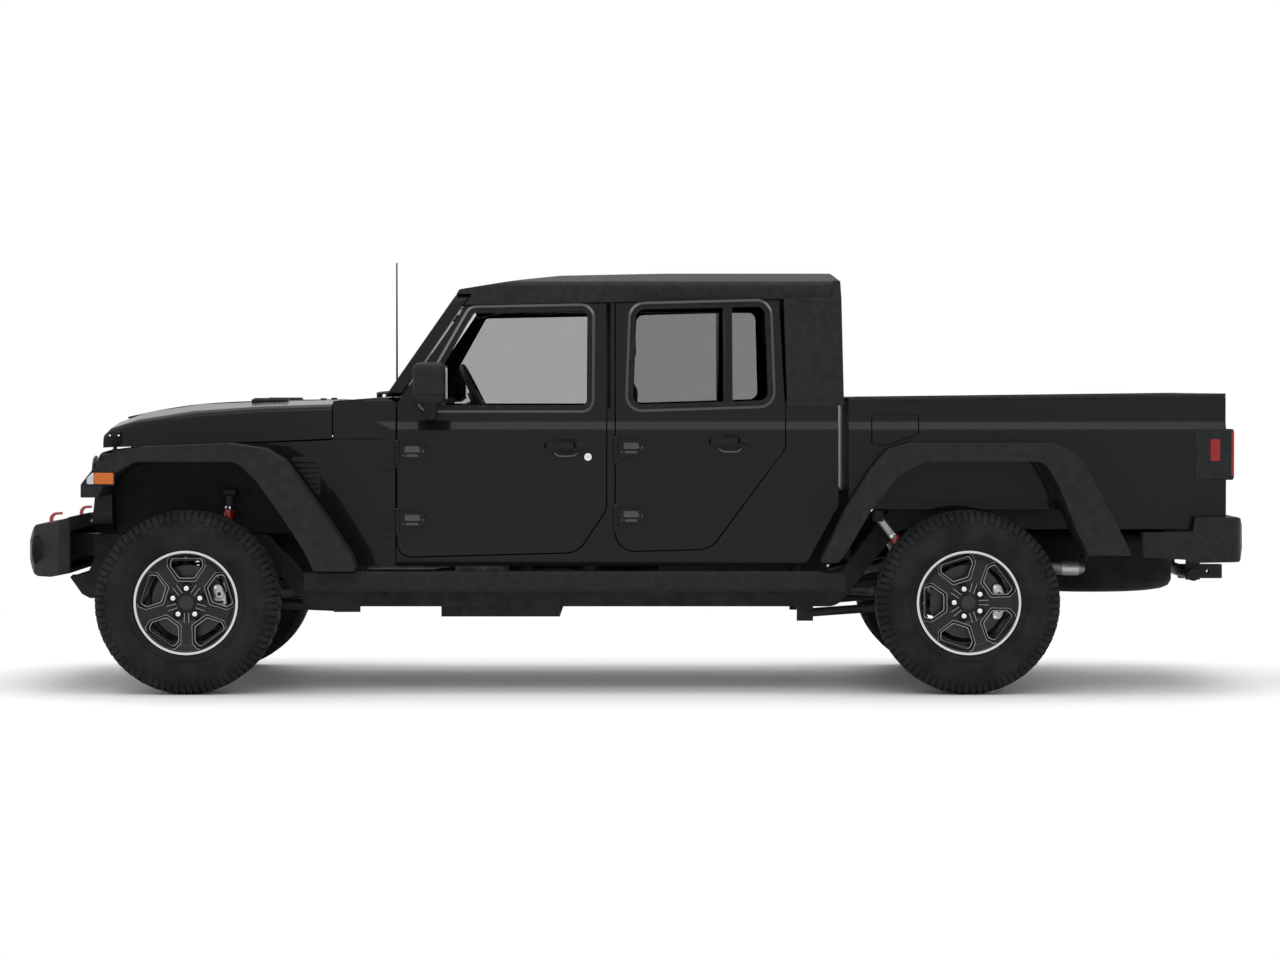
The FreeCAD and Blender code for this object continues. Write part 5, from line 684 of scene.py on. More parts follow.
def makeTyre():
    t = tyreSizes
    floor = t["radius"] - t["groove"]
    half, gap = math.pi * t["radius"] / t["pitches"], t["gap"]
    profile = [
        (-0.100, 0.2205), (-0.105, 0.228), (-0.109, 0.2355), (-0.118, 0.240), (-0.1275, 0.246), (-0.1285, 0.250),
        (-0.131, 0.2515), (-0.1345, 0.258), (-0.1365, 0.268), (-0.1375, 0.271), (-0.1395, 0.288), (-0.1405, 0.306),
        (-0.1405, 0.322), (-0.1390, 0.338), (-0.1360, 0.354), (-0.1315, 0.370), (-0.1255, 0.382),
        (-0.1170, floor - 0.010), (-0.1000, floor - 0.002), (-0.0500, floor)]
    profile += [(-y, radius) for y, radius in reversed(profile)]
    profile = profile[::-1] + [(-0.06, 0.2202), (0.06, 0.2202)]
    parts = [latheShape("tyreCarcass", profile, "tyreRubber", steps=96, angle=28)]
    blocks = [treadBlock(outline, t["groove"] + 0.004) for outline in treadOutlines(half, gap)]
    lugs = []
    for side in (-1, 1):
        for k, low in ((0, 0.352), (1, 0.368)):
            s0 = -half + gap / 2 + k * half + 0.002
            lugs.append(shoulderLug(side, s0, s0 + half - gap - 0.004, low))
    parts += [ringOf(gathered("tyreTread", blocks, "tyreRubber"), t["pitches"]),
              ringOf(gathered("tyreLugs", lugs, "tyreRubber"), t["pitches"])]
    for side in (-1, 1):
        for rib in ([(0.1398, 0.300), (0.1409, 0.3015), (0.1412, 0.304), (0.1398, 0.306)],
                    [(0.1325, 0.2610), (0.1385, 0.2600), (0.1390, 0.2570), (0.1300, 0.2540)]):
            parts.append(latheShape("tyreRib", [(side * y, radius) for y, radius in rib], "tyreRubber", steps=96))
    return joinPieces("tyreMaster", parts)


fitAtCorners(makeTyre(), "tyre", wheelBodies, tyreSizes["rearTurn"], "tyre_")
print("tyres fitted")

# wheels

wheelSizes = {
    "face": -0.084, "lipFace": -0.115, "lipOut": 0.2338, "lipIn": 0.2215, "bolts": 0.0635, "nut": 0.0146, "cap": 0.0310,
    "reach": 0.2025, "root": 0.097, "span": 0.085, "foot": 0.0395, "waist": 0.163, "corner": 0.014,
    "cone": (0.188, 0.035, 0.031), "windows": 5, "rearTurn": -math.pi / 2,
}


def windowOutline(grow):
    w = wheelSizes
    span, foot, r = w["span"] + grow, w["foot"] + grow / 2, w["corner"]
    top, low, waist = w["reach"] + grow / 2, w["root"] - grow, w["waist"]
    return roundedOutline([(-foot, low, r), (foot, low, r), (span, waist, r), (span - 0.006, top, r),
                           (0.006 - span, top, r), (-span, waist, r)], 4)


def coneDrop(a, b):
    # how far the rim's cone stands out from the flat of the face
    start, length, drop = wheelSizes["cone"]
    return max(0.0, (math.hypot(a, b) - start) / length) * drop


def windowBand(name, growths, depths, finishName, cone=0.0):
    # five bands between two outlines of the windows
    face = wheelSizes["face"]
    rings = [[(a, face + depth - cone * coneDrop(a, b), b) for a, b in windowOutline(grow)]
             for depth in depths for grow in growths]
    return ringOf(bandPiece(name, rings, finishName), wheelSizes["windows"])


def accentStrips(face):
    # two bright strips, one along each side of a spoke
    strips = []
    for side in (-1, 1):
        ends = []
        for radius, degrees in ((0.094, 29.5), (0.047, 24)):
            a = math.radians(degrees) * side
            ends.append(Vector((radius * math.sin(a), radius * math.cos(a))))
        start, end = ends
        along = (end - start).normalized()
        across, shoulder = Vector((-along.y, along.x)) * 0.0017, along * 0.008
        outline = [tuple(p) for p in (start, start + across + shoulder, end + across, end - across,
                                      start - across + shoulder)]
        strips.append(extrudeOutline("accent", outline, face - 0.0008, face + 0.002, "side", "edgeMetal"))
    return joinPieces("accent", strips)


def makeWheelTrim():
    w = wheelSizes
    face, bolts, nut, cap = w["face"], w["bolts"], w["nut"], w["cap"]
    lipFace, lipOut, lipIn = w["lipFace"], w["lipOut"], w["lipIn"]

    def onFace(rows):
        return [(face + along, radius) for along, radius in rows]

    lip = [(lipFace + 0.0035, lipOut), (lipFace - 0.0012, lipOut - 0.0015), (lipFace - 0.0016, lipOut - 0.006),
           (lipFace - 0.0012, lipIn + 0.0005), (lipFace + 0.005, lipIn - 0.0015), (lipFace + 0.006, lipIn + 0.004)]
    parts = [
        latheShape("lip", lip, "machined", steps=120, angle=30),
        windowBand("rimBand", (0.0, 0.0030), (-0.0009, 0.003), "edgeMetal", 1.0),
        windowBand("innerBand", (-0.0135, -0.0095), (0.0078, 0.0098), "edgeMetal"),
        # a matte dark band on each window's step: painted shade of the gap round the window
        windowBand("gapShadeBand", (-0.0098, -0.0004), (0.0084, 0.0094), "rubber"),
        ringOf(accentStrips(face), w["windows"]),
    ]
    dish = [(0.0095, 0.0), (0.0102, 0.0), (0.0102, 0.0178), (-0.0006, 0.0195), (-0.0012, 0.0182), (0.0096, 0.0165)]
    nutRows = [(0.010, 0), (0.010, nut), (-0.004, nut), (-0.0085, nut * 0.93), (-0.0125, nut * 0.7),
               (-0.0145, nut * 0.35), (-0.015, 0)]
    for piece in (latheShape("nutDish", onFace(dish), "wheelPaint", steps=28),
                  turned("nut", onFace(nutRows), "chrome", steps=18, angle=50)):
        piece.data.transform(Matrix.Translation((0, 0, bolts)))
        parts.append(ringOf(piece, w["windows"]))
    capRows = [(0.012, 0), (0.012, cap + 0.0012), (-0.0045, cap + 0.0012), (-0.0068, cap - 0.001),
               (-0.0078, cap - 0.005), (-0.0078, 0)]
    stepRows = [(0.008, cap + 0.0015), (-0.0025, cap + 0.0015), (-0.0025, cap + 0.0045), (0.008, cap + 0.006)]
    # the disc face in nearly black steel, painted shade inside the wheel
    disc = [(-0.0060, 0.084), (-0.0060, 0.164), (-0.0045, 0.1655), (0.0205, 0.1655), (0.0218, 0.164), (0.0218, 0.084)]
    valve = [(0.0, face + 0.004, 0.2085), (0.0, face - 0.010, 0.2060), (0.0, face - 0.021, 0.2030)]
    parts += [turned("hubCap", onFace(capRows), "trimPlastic", steps=48, angle=40),
              latheShape("hubStep", onFace(stepRows), "wheelPaint", steps=48),
              latheShape("discFace", disc, "shadedBrakeSteel", steps=96, angle=30),
              tubeShape("valve", valve, 0.0028, "chrome")]
    return joinPieces("wheelTrim", parts)


# wheels with open windows

openingSizes = {"lift": 0.040, "step": 0.0090, "pocket": 0.0240, "through": 0.0600, "barrel": 0.1860}


def windowCutters():
    # a shallow step, a deeper pocket, and a hole that stays inside the barrel
    face, o = wheelSizes["face"], openingSizes
    step, inner = windowOutline(-0.0004), windowOutline(-0.0098)
    hole = []
    for a, b in inner:
        point = (round(a, 6), min(b, o["barrel"]))
        if not hole or math.dist(point, hole[-1]) > 1e-4:
            hole.append(point)
    return [ringOf(extrudeOutline("cutter", outline, face - o["lift"], face + o[depth], "side", "wheelPaint"),
                   wheelSizes["windows"])
            for outline, depth in ((step, "step"), (inner, "pocket"), (hole, "through"))]


def makeOpenWheel():
    # the wheel nodes' shape with five windows cut through the face
    x, side, _ = corners["front_left"]
    mesh = frame["nodes"]["wheel_front_left"].data.copy()
    mesh.transform(Matrix.Translation((-x, -side * tyreSizes["track"], -tyreSizes["axle"])))
    bm = bmesh.new()
    bm.from_mesh(mesh)
    bmesh.ops.remove_doubles(bm, verts=bm.verts, dist=1e-5)
    before = bm.calc_volume()
    bm.to_mesh(mesh)
    bm.free()
    master = linked("openWheel", mesh)
    cutters = windowCutters()
    for cutter in cutters:
        cut = master.modifiers.new("windows", "BOOLEAN")
        cut.operation = "DIFFERENCE"
        cut.solver = "EXACT"
        cut.object = cutter
        bakeModifiers(master)
    for cutter in cutters:
        dropPiece(cutter)
    print("wheel windows cut, volume kept", round(volumeOf(master.data) / before, 4))
    shadeByAngle(master.data, 28)
    return master


# brake calipers

def makeCaliper():
    outline = [(0.113, -0.078, 0.012), (0.148, -0.078, 0.02), (0.170, -0.036, 0.03), (0.173, 0.0, 0.04),
               (0.170, 0.036, 0.03), (0.148, 0.078, 0.02), (0.113, 0.078, 0.012)]
    piston = [(-0.0375, 0), (-0.0375, 0.024), (-0.0425, 0.024), (-0.0445, 0.021), (-0.0445, 0.0)]
    well = [(-0.0452, 0.0), (-0.0452, 0.009), (-0.0444, 0.0095), (-0.0440, 0.0)]
    bolt = [(-0.0370, 0), (-0.0370, 0.006), (-0.0415, 0.006), (-0.0420, 0)]
    parts = [plate("caliperFace", outline, 5, (-0.0375, -0.0312), "side", "silverPaint", 0.003)]
    for z in (-0.036, 0.036):
        parts.append(turned("piston", piston, "silverPaint", centre=(0.141, 0, z), steps=28))
        parts.append(latheShape("pistonWell", well, "castMetal", centre=(0.141, 0, z), steps=20))
    parts.append(boxShape("caliperBridge", (0.120, -0.0395, -0.006), (0.160, -0.0370, 0.006), "castMetal", 0.001))
    for z in (-0.066, 0.066):
        parts.append(turned("caliperBolt", bolt, "chrome", centre=(0.124, 0, z), steps=6))
    return joinPieces("caliper", parts)


fitAtCorners(makeWheelTrim(), "wheelTrim", wheelBodies, wheelSizes["rearTurn"])
fitAtCorners(makeOpenWheel(), "wheelDisc", wheelBodies, wheelSizes["rearTurn"], "wheel_")
fitAtCorners(makeCaliper(), "caliper", hubBodies)
print("wheels and calipers fitted")

# the body's outer face and outlines on it

bodySizes = {"side": 0.800, "tuck": 0.778, "tuckZ": 0.640, "sillZ": 0.569, "shoulder": 1.174, "rise": 0.045,
             "in": 0.020, "lean": 0.003, "belt": 1.274, "eave": 0.690, "eaveZ": 1.776}


def sideY(z):
    # distance of the cab's and bed's outer face from the middle at a height
    b = bodySizes
    ledge, beltFace = b["side"] - b["in"], b["side"] - b["in"] - b["lean"]
    foot = b["shoulder"] + b["rise"]
    if z < b["tuckZ"]:
        return b["tuck"] + (b["side"] - b["tuck"]) * max(0.0, z - b["sillZ"]) / (b["tuckZ"] - b["sillZ"])
    if z < b["shoulder"]:
        return b["side"]
    if z < foot:
        return b["side"] - b["in"] * (z - b["shoulder"]) / b["rise"]
    if z < b["belt"]:
        return ledge - b["lean"] * (z - foot) / (b["belt"] - foot)
    return beltFace - (beltFace - b["eave"]) * (z - b["belt"]) / (b["eaveZ"] - b["belt"])


def grown(points, amount):
    # a convex outline of (a, b, radius) corners moved outwards by an amount
    count = len(points)
    area = sum(points[i][0] * points[(i + 1) % count][1] - points[(i + 1) % count][0] * points[i][1]
               for i in range(count))
    sign = 1 if area > 0 else -1
    out = []
    for i in range(count):
        a, b, c = (Vector(points[(i + k) % count][:2]) for k in (-1, 0, 1))
        d0, d1 = (b - a).normalized(), (c - b).normalized()
        n0, n1 = Vector((d0.y, -d0.x)) * sign, Vector((d1.y, -d1.x)) * sign
        mid = (n0 + n1).normalized()
        at = b + mid * (amount / max(0.3, mid.dot(n0)))
        out.append((at.x, at.y, max(0.002, points[i][2] + amount)))
    return out


def faceBand(name, points, inner, outer, low, high, finishName, slope=0.0):
    # a band round an outline that lies on the outer face of the left side, between two offsets from it
    rings = []
    for level in (low, high):
        for grow in (inner, outer):
            lift = level - (slope if (grow == outer and level == high) else 0.0)
            rings.append([(a, -(sideY(b) + lift), b) for a, b in roundedOutline(grown(points, grow), 6)])
    return bandPiece(name, rings, finishName, 30)


def bothSides(name, piece, bodies):
    # keeps the left piece and adds its twin on the right
    leftBody, rightBody = bodies
    right = shifted(piece, flip=True, name=name + "Right")
    piece.name = name + "Left"
    piece.data.name = piece.name
    settle(piece, leftBody)
    settle(right, rightBody)


# doors: window seals, hinges, handles, lock

frontPane = [(-0.9712, 1.278, 0.035), (-0.194, 1.278, 0.035), (-0.192, 1.7254, 0.040), (-0.7235, 1.7153, 0.030)]
rearPane = [(-0.012, 1.280, 0.050), (0.620, 1.300, 0.050), (0.606, 1.7463, 0.050), (0.004, 1.7311, 0.050)]
barOutline = [(0.408, 1.293, 0.004), (0.448, 1.293, 0.004), (0.446, 1.742, 0.004), (0.406, 1.741, 0.004)]
doorSizes = {"hingeFace": -0.814, "pinFace": -0.811, "gripFace": -0.8082, "lockFace": -0.800, "lock": 0.0165}


def rod(name, low, high, radius, finishName, axis, centre, steps):
    return turned(name, [(low, 0), (low, radius), (high, radius), (high, 0)], finishName, axis, centre, steps)


def boltHead(place, radius, finishName, height=0.004):
    # a domed screw head that faces the left side
    dome = [(-height * 0.2, 0), (-height * 0.2, radius), (-height * 0.55, radius), (-height, radius * 0.75),
            (-height, 0)]
    well = [(-height - 0.0002, 0), (-height - 0.0002, radius * 0.38), (-height + 0.0004, radius * 0.42),
            (-height + 0.0004, 0)]
    both = joinPieces("bolt", [turned("bolt", dome, finishName, steps=16),
                               latheShape("socket", well, "rubber", steps=6)])
    both.data.transform(Matrix.Translation(place))
    return both


def hingeCover(x, z0, z1):
    # the raised parts of a hinge strap with its two screws
    y, mid = doorSizes["hingeFace"], (z0 + z1) / 2
    top = [(x + 0.020, z0 + 0.018, 0.006), (x + 0.020, z1 - 0.014, 0.006), (x + 0.118, z1 - 0.014, 0.012),
           (x + 0.130, mid, 0.012), (x + 0.112, z0 + 0.018, 0.012)]
    rib = [(x + 0.034, mid - 0.004, 0.005), (x + 0.034, z1 - 0.024, 0.005), (x + 0.100, z1 - 0.024, 0.008),
           (x + 0.108, mid - 0.004, 0.008)]
    low = [(x + 0.040, z0 + 0.024, 0.004), (x + 0.040, mid - 0.012, 0.004), (x + 0.100, mid - 0.012, 0.006),
           (x + 0.094, z0 + 0.024, 0.006)]
    parts = [plate("strapTop", top, 4, (y - 0.0055, y + 0.004), "side", "blackPaint", 0.003),
             plate("strapRib", rib, 4, (y - 0.0105, y - 0.004), "side", "hingeGloss", 0.0028),
             plate("strapLow", low, 4, (y - 0.0085, y - 0.004), "side", "hingeGloss", 0.0022),
             boltHead((x + 0.028, y - 0.0050, z0 + 0.030), 0.0062, "hingeGloss"),
             boltHead((x + 0.116, y - 0.0050, mid), 0.0062, "hingeGloss")]
    for z in (z0 - 0.001, z1 + 0.001):
        parts.append(rod("pinHead", -0.0035, 0.0035, 0.0085, "castMetal", "z", (x, doorSizes["pinFace"], z), 20))
    return parts


def handleTrim(x, z, lock):
    # the scoop behind a grip, drawn as flat dark plates of painted shade, its bright lower lip, and the lock
    y = doorSizes["gripFace"]
    scoop = [(x + 0.062, z + 0.050, 0.008), (x + 0.076, z + 0.066, 0.012), (x + 0.144, z + 0.066, 0.012),
             (x + 0.158, z + 0.050, 0.008)]
    under = rectangle(x + 0.050, z + 0.004, x + 0.166, z + 0.016, (0.006, 0.004, 0.004, 0.006))
    lip = [(x + 0.056, y - 0.001, z + 0.004), (x + 0.066, y - 0.002, z - 0.008), (x + 0.085, y - 0.0025, z - 0.0115),
           (x + 0.125, y - 0.0025, z - 0.0115), (x + 0.146, y - 0.002, z - 0.008), (x + 0.156, y - 0.001, z + 0.004)]
    button = [(0.0, 0), (0.0, 0.0125), (-0.0075, 0.0125), (-0.0095, 0.0105), (-0.0095, 0.0)]
    # the two dark plates above and below the grip are painted shade of the recess
    parts = [plate("scoopShadeTop", scoop, 5, (y - 0.0006, y + 0.006), "side", "rubber"),
             plate("scoopShadeUnder", under, 4, (y - 0.0006, y + 0.006), "side", "rubber"),
             tubeShape("scoopLip", lip, 0.0052, "hingeGloss", sides=16),
             turned("pushButton", button, "blackPaint", centre=(x + 0.172, y, z + 0.032), steps=28)]
    if lock:
        r, a, b, c = doorSizes["lock"], x + 0.205, doorSizes["lockFace"], z - 0.014
        ring = [(0.002, 0), (0.002, r), (-0.0035, r), (-0.0050, r - 0.002), (-0.0050, r - 0.0045),
                (-0.0034, r - 0.0052), (-0.0034, 0)]
        parts += [turned("lockRing", ring, "chrome", centre=(a, b, c), steps=36, angle=40),
                  boxShape("keySlot", (a - 0.0012, b - 0.0039, c - 0.0055), (a + 0.0012, b - 0.003, c + 0.0055),
                           "rubber")]
    return parts


def fitDoorDetail():
    # name, window outline, hinge line, heights of the hinges, grip, lock
    doors = (
        ("front", frontPane, -1.054, ((1.034, 1.130), (0.728, 0.824)), (-0.405, 1.072), True),
        ("rear", rearPane, -0.075, ((1.050, 1.146), (0.744, 0.840)), (0.331, 1.092), False),
    )
    for end, pane, hingeX, heights, grip, lock in doors:
        parts = [faceBand("glassSeal", pane, -0.012, 0.0075, -0.0195, 0.0015, "rubber"),
                 faceBand("sealLip", pane, 0.0070, 0.0110, -0.004, 0.0030, "rubber"),
                 faceBand("frameBead", pane, 0.0112, 0.0225, -0.004, 0.0042, "hingeGloss", 0.0034)]
        for z0, z1 in heights:
            parts += hingeCover(hingeX, z0, z1)
        parts += handleTrim(*grip, lock)
        bodies = ["door_" + end[0] + side for side in "lr"]
        bothSides(end + "DoorTrim", joinPieces("doorTrim", parts), bodies)
    bar = faceBand("barSeal", barOutline, -0.006, 0.001, -0.004, 0.0012, "rubber")
    bothSides("barSeal", bar, ("door_rl", "door_rr"))
    print("door detail fitted")


# mirrors

mirrorSizes = {"inner": (-1.036, 1.296), "outer": (-0.856, 1.480), "middle": (-0.9005, -0.946),
               "seam": (1.3355, 1.3385), "shrink": 0.97}


def fitMirrors():
    # a glass set in the rear face of each housing, with a dark rim, a seam round the housing and a rubber foot
    m = mirrorSizes
    (y0, z0), (y1, z1) = m["inner"], m["outer"]
    rim = rectangle(y0 + 0.016, z0 + 0.014, y1 - 0.014, z1 - 0.014, (0.026, 0.030, 0.030, 0.026))
    pane = rectangle(y0 + 0.024, z0 + 0.022, y1 - 0.022, z1 - 0.022, (0.020, 0.024, 0.024, 0.020))
    seam = roundedOutline(rectangle(-0.9735, -1.0375, -0.8275, -0.8545, 0.034), 8)
    a0, b0 = m["middle"]
    inner = [((a - a0) * m["shrink"] + a0, (b - b0) * m["shrink"] + b0) for a, b in seam]
    rings = [[(a, b, z) for a, b in line] for z in m["seam"] for line in (inner, seam)]
    foot = [(-0.905, -0.800, 1.238), (-0.905, -0.822, 1.256), (-0.905, -0.845, 1.275)]
    parts = [plate("mirrorRim", rim, 6, (-0.8295, -0.8260), "front", "trimPlastic", 0.0015),
             plate("mirrorPane", pane, 6, (-0.8262, -0.8248), "front", "mirrorGlass", 0.0006),
             bandPiece("housingSeam", rings, "rubber"),
             tubeShape("mirrorBoot", foot, 0.022, "rubber", sides=16)]
    bothSides("mirrorTrim", joinPieces("mirrorTrim", parts), ("door_fl", "door_fr"))
    print("mirrors fitted")


fitDoorDetail()
fitMirrors()

# lamps

# x, y, z, radius, depth, the ring's finish
lampSizes = {"head": (-2.460, 0.456, 0.962, 0.089, 0.066, "whiteLens"),
             "fog": (-2.697, 0.690, 0.640, 0.0617, 0.056, "silverPaint")}


def lampCup(centre, radius, depth, ringFinish):
    # the inside of a round lamp: dark cup, bright bowl, projector and lit ring, all behind its clear lens
    r = radius - 0.0015
    cup = [(0.0012, r), (depth, r), (depth, 0.0), (depth - 0.002, 0.0), (depth - 0.002, r - 0.003), (0.0012, r - 0.003)]
    bowl = [(0.004, r - 0.0045), (0.010, r - 0.010), (depth * 0.45, radius * 0.62), (depth * 0.8, radius * 0.34),
            (depth * 0.8, 0.0), (depth * 0.84, 0.0), (depth * 0.84, radius * 0.36), (depth * 0.5, radius * 0.66),
            (0.004, r - 0.0032)]
    ball = [(depth * 0.24, 0.0), (depth * 0.27, radius * 0.16), (depth * 0.36, radius * 0.27),
            (depth * 0.5, radius * 0.33), (depth * 0.62, radius * 0.33), (depth * 0.62, 0.0)]
    collar = [(depth * 0.42, radius * 0.335), (depth * 0.42, radius * 0.40), (depth * 0.7, radius * 0.40),
              (depth * 0.7, radius * 0.335)]
    ring = [(0.0030, radius * 0.80), (0.0030, radius * 0.90), (0.0075, radius * 0.90), (0.0075, radius * 0.80)]
    return [latheShape("lampCup", cup, "radiatorDark", "x", centre, 48),
            latheShape("lampBowl", bowl, "chrome", "x", centre, 48),
            turned("projector", ball, "clearLens", "x", centre, 32),
            latheShape("projectorCollar", collar, "blackPaint", "x", centre, 40),
            latheShape("lampRing", ring, ringFinish, "x", centre, 48)]


def fitFrontLamps():
    parts = []
    headRim = [(-0.0030, -0.004), (-0.0045, 0.003), (-0.0020, 0.0065), (0.006, 0.0065), (0.006, -0.004)]
    fogRim = [(-0.006, -0.003), (-0.006, 0.005), (0.004, 0.005), (0.004, -0.003)]
    rims = {"head": (headRim, "blackPaint", 56), "fog": (fogRim, "steelPaint", 48)}
    for side in (-1, 1):
        for kind, (rim, rimFinish, steps) in rims.items():
            x, y, z, r, depth, ringFinish = lampSizes[kind]
            parts += lampCup((x, side * y, z), r, depth, ringFinish)
            profile = [(along, r + out) for along, out in rim]
            parts.append(latheShape(kind + "Rim", profile, rimFinish, "x", (x + 0.004, side * y, z), steps))
    settle(joinPieces("frontLampInner", parts), "vehicle")


def fitMarkers():
    # amber marker on the front moulding, clear at its front end
    amber = rectangle(-2.3895, 0.940, -2.3040, 0.9905, (0.003, 0.003, 0.009, 0.005))
    clear = [(-2.4225, 0.940, 0.005), (-2.4225, 0.967, 0.014), (-2.3990, 0.9905, 0.010), (-2.3915, 0.9905, 0.002),
             (-2.3915, 0.940, 0.002)]
    rim = [(-2.4275, 0.934, 0.008), (-2.4275, 0.970, 0.018), (-2.4010, 0.996, 0.014), (-2.2985, 0.996, 0.012),
           (-2.2985, 0.934, 0.008)]
    parts = [plate("markerAmber", amber, 4, (-0.9527, -0.9440), "side", "amberLens", 0.0016),
             plate("markerClear", clear, 4, (-0.9525, -0.9440), "side", "whiteLens", 0.0016),
             plate("markerRim", rim, 4, (-0.9478, -0.9420), "side", "rubber", 0.0012)]
    bothSides("marker", joinPieces("marker", parts), ("vehicle", "vehicle"))


def fitTailLamps():
    # wrap-round tail lamp: dark housing with a red rear face, a small red side lens and a clear reversing part
    back = rectangle(-0.7985, 0.962, -0.6790, 1.176, 0.012)
    edge = [(2.6805, 0.972, 0.002), (2.6805, 1.176, 0.002), (2.6925, 1.172, 0.003), (2.6925, 0.976, 0.003)]
    parts = [
        plate("tailSide", rectangle(2.5870, 1.040, 2.6300, 1.138, 0.006), 4, (-0.8062, -0.8000), "side", "redLens",
              0.0014),
        plate("tailBack", back, 4, (2.6860, 2.6945), "front", "redLens", 0.0024),
        plate("tailEdge", edge, 3, (-0.8065, -0.7990), "side", "redLens", 0.0012),
        plate("tailFrame", rectangle(-0.7750, 1.020, -0.7020, 1.118, 0.010), 4, (2.6930, 2.6958), "front", "rubber",
              0.0010),
    ]
    for name, z0, z1 in (("white", 1.025, 1.068), ("amber", 1.072, 1.113)):
        line = rectangle(-0.7700, z0, -0.7070, z1, 0.007)
        parts.append(plate("tail" + name.title(), line, 4, (2.6950, 2.6972), "front", name + "Lens", 0.0010))
    for z in (0.966, 1.172):
        rib = rectangle(2.534, z - 0.0035, 2.672, z + 0.0035, 0.0015)
        parts.append(plate("tailRib", rib, 2, (-0.8052, -0.8020), "side", "darkPlastic", 0.0008))
    for z in (0.990, 1.148):
        parts.append(boltHead((2.548, -0.8042, z), 0.0050, "darkPlastic", 0.0024))
    bothSides("tailLampLens", joinPieces("tailLampLens", parts), ("vehicle", "vehicle"))


# bonnet, grille and wings

grilleSizes = {"slots": 9, "pitch": 0.070, "half": 0.022, "low": 0.830, "high": 1.056, "corner": 0.018,
               "face": -2.456, "foot": 0.706, "lean": 0.040 / 0.366}


def fitGrilleMesh():
    # wire mesh behind the upright openings, a strip of it behind the low one, and a raised ring round each opening
    parts = []
    for name, low, high, count, step in (
            ("meshWire", (-2.3705, -0.330, 0.836), (-2.3685, 0.330, 0.8385), 20, (0, 0, 0.0112)),
            ("meshBar", (-2.3720, -0.3285, 0.832), (-2.3700, -0.3260, 1.054), 60, (0, 0.0111, 0)),
            ("lowWire", (-2.3720, -0.376, 0.7505), (-2.3700, -0.3735, 0.784), 50, (0, 0.0152, 0))):
        parts.append(rowOf(boxShape(name, low, high, "rubber"), count, step))
    g = grilleSizes
    for number in range(g["slots"]):
        y = g["pitch"] * (number - 4)
        opening = rectangle(y - g["half"], g["low"], y + g["half"], g["high"], g["corner"])
        rings = []
        for grow, lift in ((-0.0035, -0.0045), (0.0060, -0.0015), (-0.0035, 0.0040), (0.0060, 0.0040)):
            rings.append([(g["face"] + g["lean"] * (b - g["foot"]) + lift, a, b)
                          for a, b in roundedOutline(grown(opening, grow), 4)])
        parts.append(bandPiece("slotRing", rings, "blackPaint", 40))
    settle(joinPieces("grilleMesh", parts), "vehicle")


def fitBonnetDetail():
    # two louvred vents on top, the rubber catches at the front corners, a pair of washer jets and two creases
    parts = []
    for side in (-1, 1):
        y0, y1 = sorted((side * 0.262, side * 0.414))
        cover = [(-1.748, y0, 0.016), (-1.582, y0, 0.016), (-1.582, y1, 0.016), (-1.748, y1, 0.016)]
        parts.append(plate("ventPlate", cover, 4, (1.296, 1.3155), "plan", "darkPlastic", 0.004))
        blade = boxShape("ventBlade", (-1.736, y0 + 0.014, 1.313), (-1.727, y1 - 0.014, 1.3205), "darkPlastic", 0.0015)
        parts.append(rowOf(blade, 9, (0.0178, 0, 0)))
    base = rectangle(-2.372, 1.112, -2.318, 1.172, (0.008, 0.012, 0.012, 0.008))
    grip = [(-2.358, 1.104, 0.006), (-2.364, 1.158, 0.010), (-2.326, 1.158, 0.010), (-2.332, 1.104, 0.006)]
    catch = [plate("catchBase", base, 4, (-0.622, -0.600), "side", "darkPlastic", 0.003),
             plate("catchStrap", grip, 4, (-0.634, -0.618), "side", "rubber", 0.004),
             rod("catchPin", -0.024, 0.024, 0.0045, "chrome", "x", (-2.345, -0.628, 1.150), 16)]
    bothSides("bonnetCatch", joinPieces("bonnetCatch", catch), ("bonnet", "bonnet"))
    for side in (-1, 1):
        y = side * 0.30
        parts.append(boxShape("washerJet", (-1.440, y - 0.014, 1.306), (-1.412, y + 0.014, 1.3195), "darkPlastic",
                              0.004))
    for side in (-1, 1):
        crease = ((-2.335, 0.238, 1.2285), (-2.20, 0.262, 1.2595), (-1.98, 0.300, 1.2925), (-1.68, 0.340, 1.3055),
                  (-1.372, 0.366, 1.3085))
        parts.append(tubeShape("bonnetCrease", [(x, side * y, z) for x, y, z in crease], 0.0045, "blackPaint"))
    settle(joinPieces("bonnetTrim", parts), "bonnet")


def fitWingVent():
    # the louvred vent behind each front moulding, on the wing's slanted face
    outline = [(-1.546, 1.057, 0.010), (-1.404, 1.057, 0.012), (-1.404, 0.890, 0.010), (-1.424, 0.886, 0.010)]
    parts = [plate("ventFrame", outline, 4, (-0.7270, -0.7100), "side", "darkPlastic", 0.003)]
    for number in range(6):
        z = 1.040 - 0.0235 * number
        left = -1.532 + 0.0175 * number
        blade = [(left, z - 0.006, 0.002), (left - 0.004, z + 0.004, 0.002), (-1.414, z + 0.004, 0.002),
                 (-1.414, z - 0.006, 0.002)]
        parts.append(plate("ventBlade", blade, 2, (-0.7315, -0.7260), "side", "darkPlastic", 0.0012))
    vent = joinPieces("wingVent", parts)
    tilt = 0.1369
    slant = Matrix.Identity(4)
    slant[1][0] = -tilt
    slant[1][3] = -tilt * 1.475
    vent.data.transform(slant)
    bothSides("wingVent", vent, ("vehicle", "vehicle"))


fitFrontLamps()
fitMarkers()
fitTailLamps()
fitGrilleMesh()
fitBonnetDetail()
fitWingVent()
print("lamps, grille and vents fitted")

# springs and dampers

coilSizes = {"reach": 0.0506, "wire": 0.0068, "foot": 0.4555, "side": 0.496, "pad": (0.046, 0.0575), "perTurn": 26}


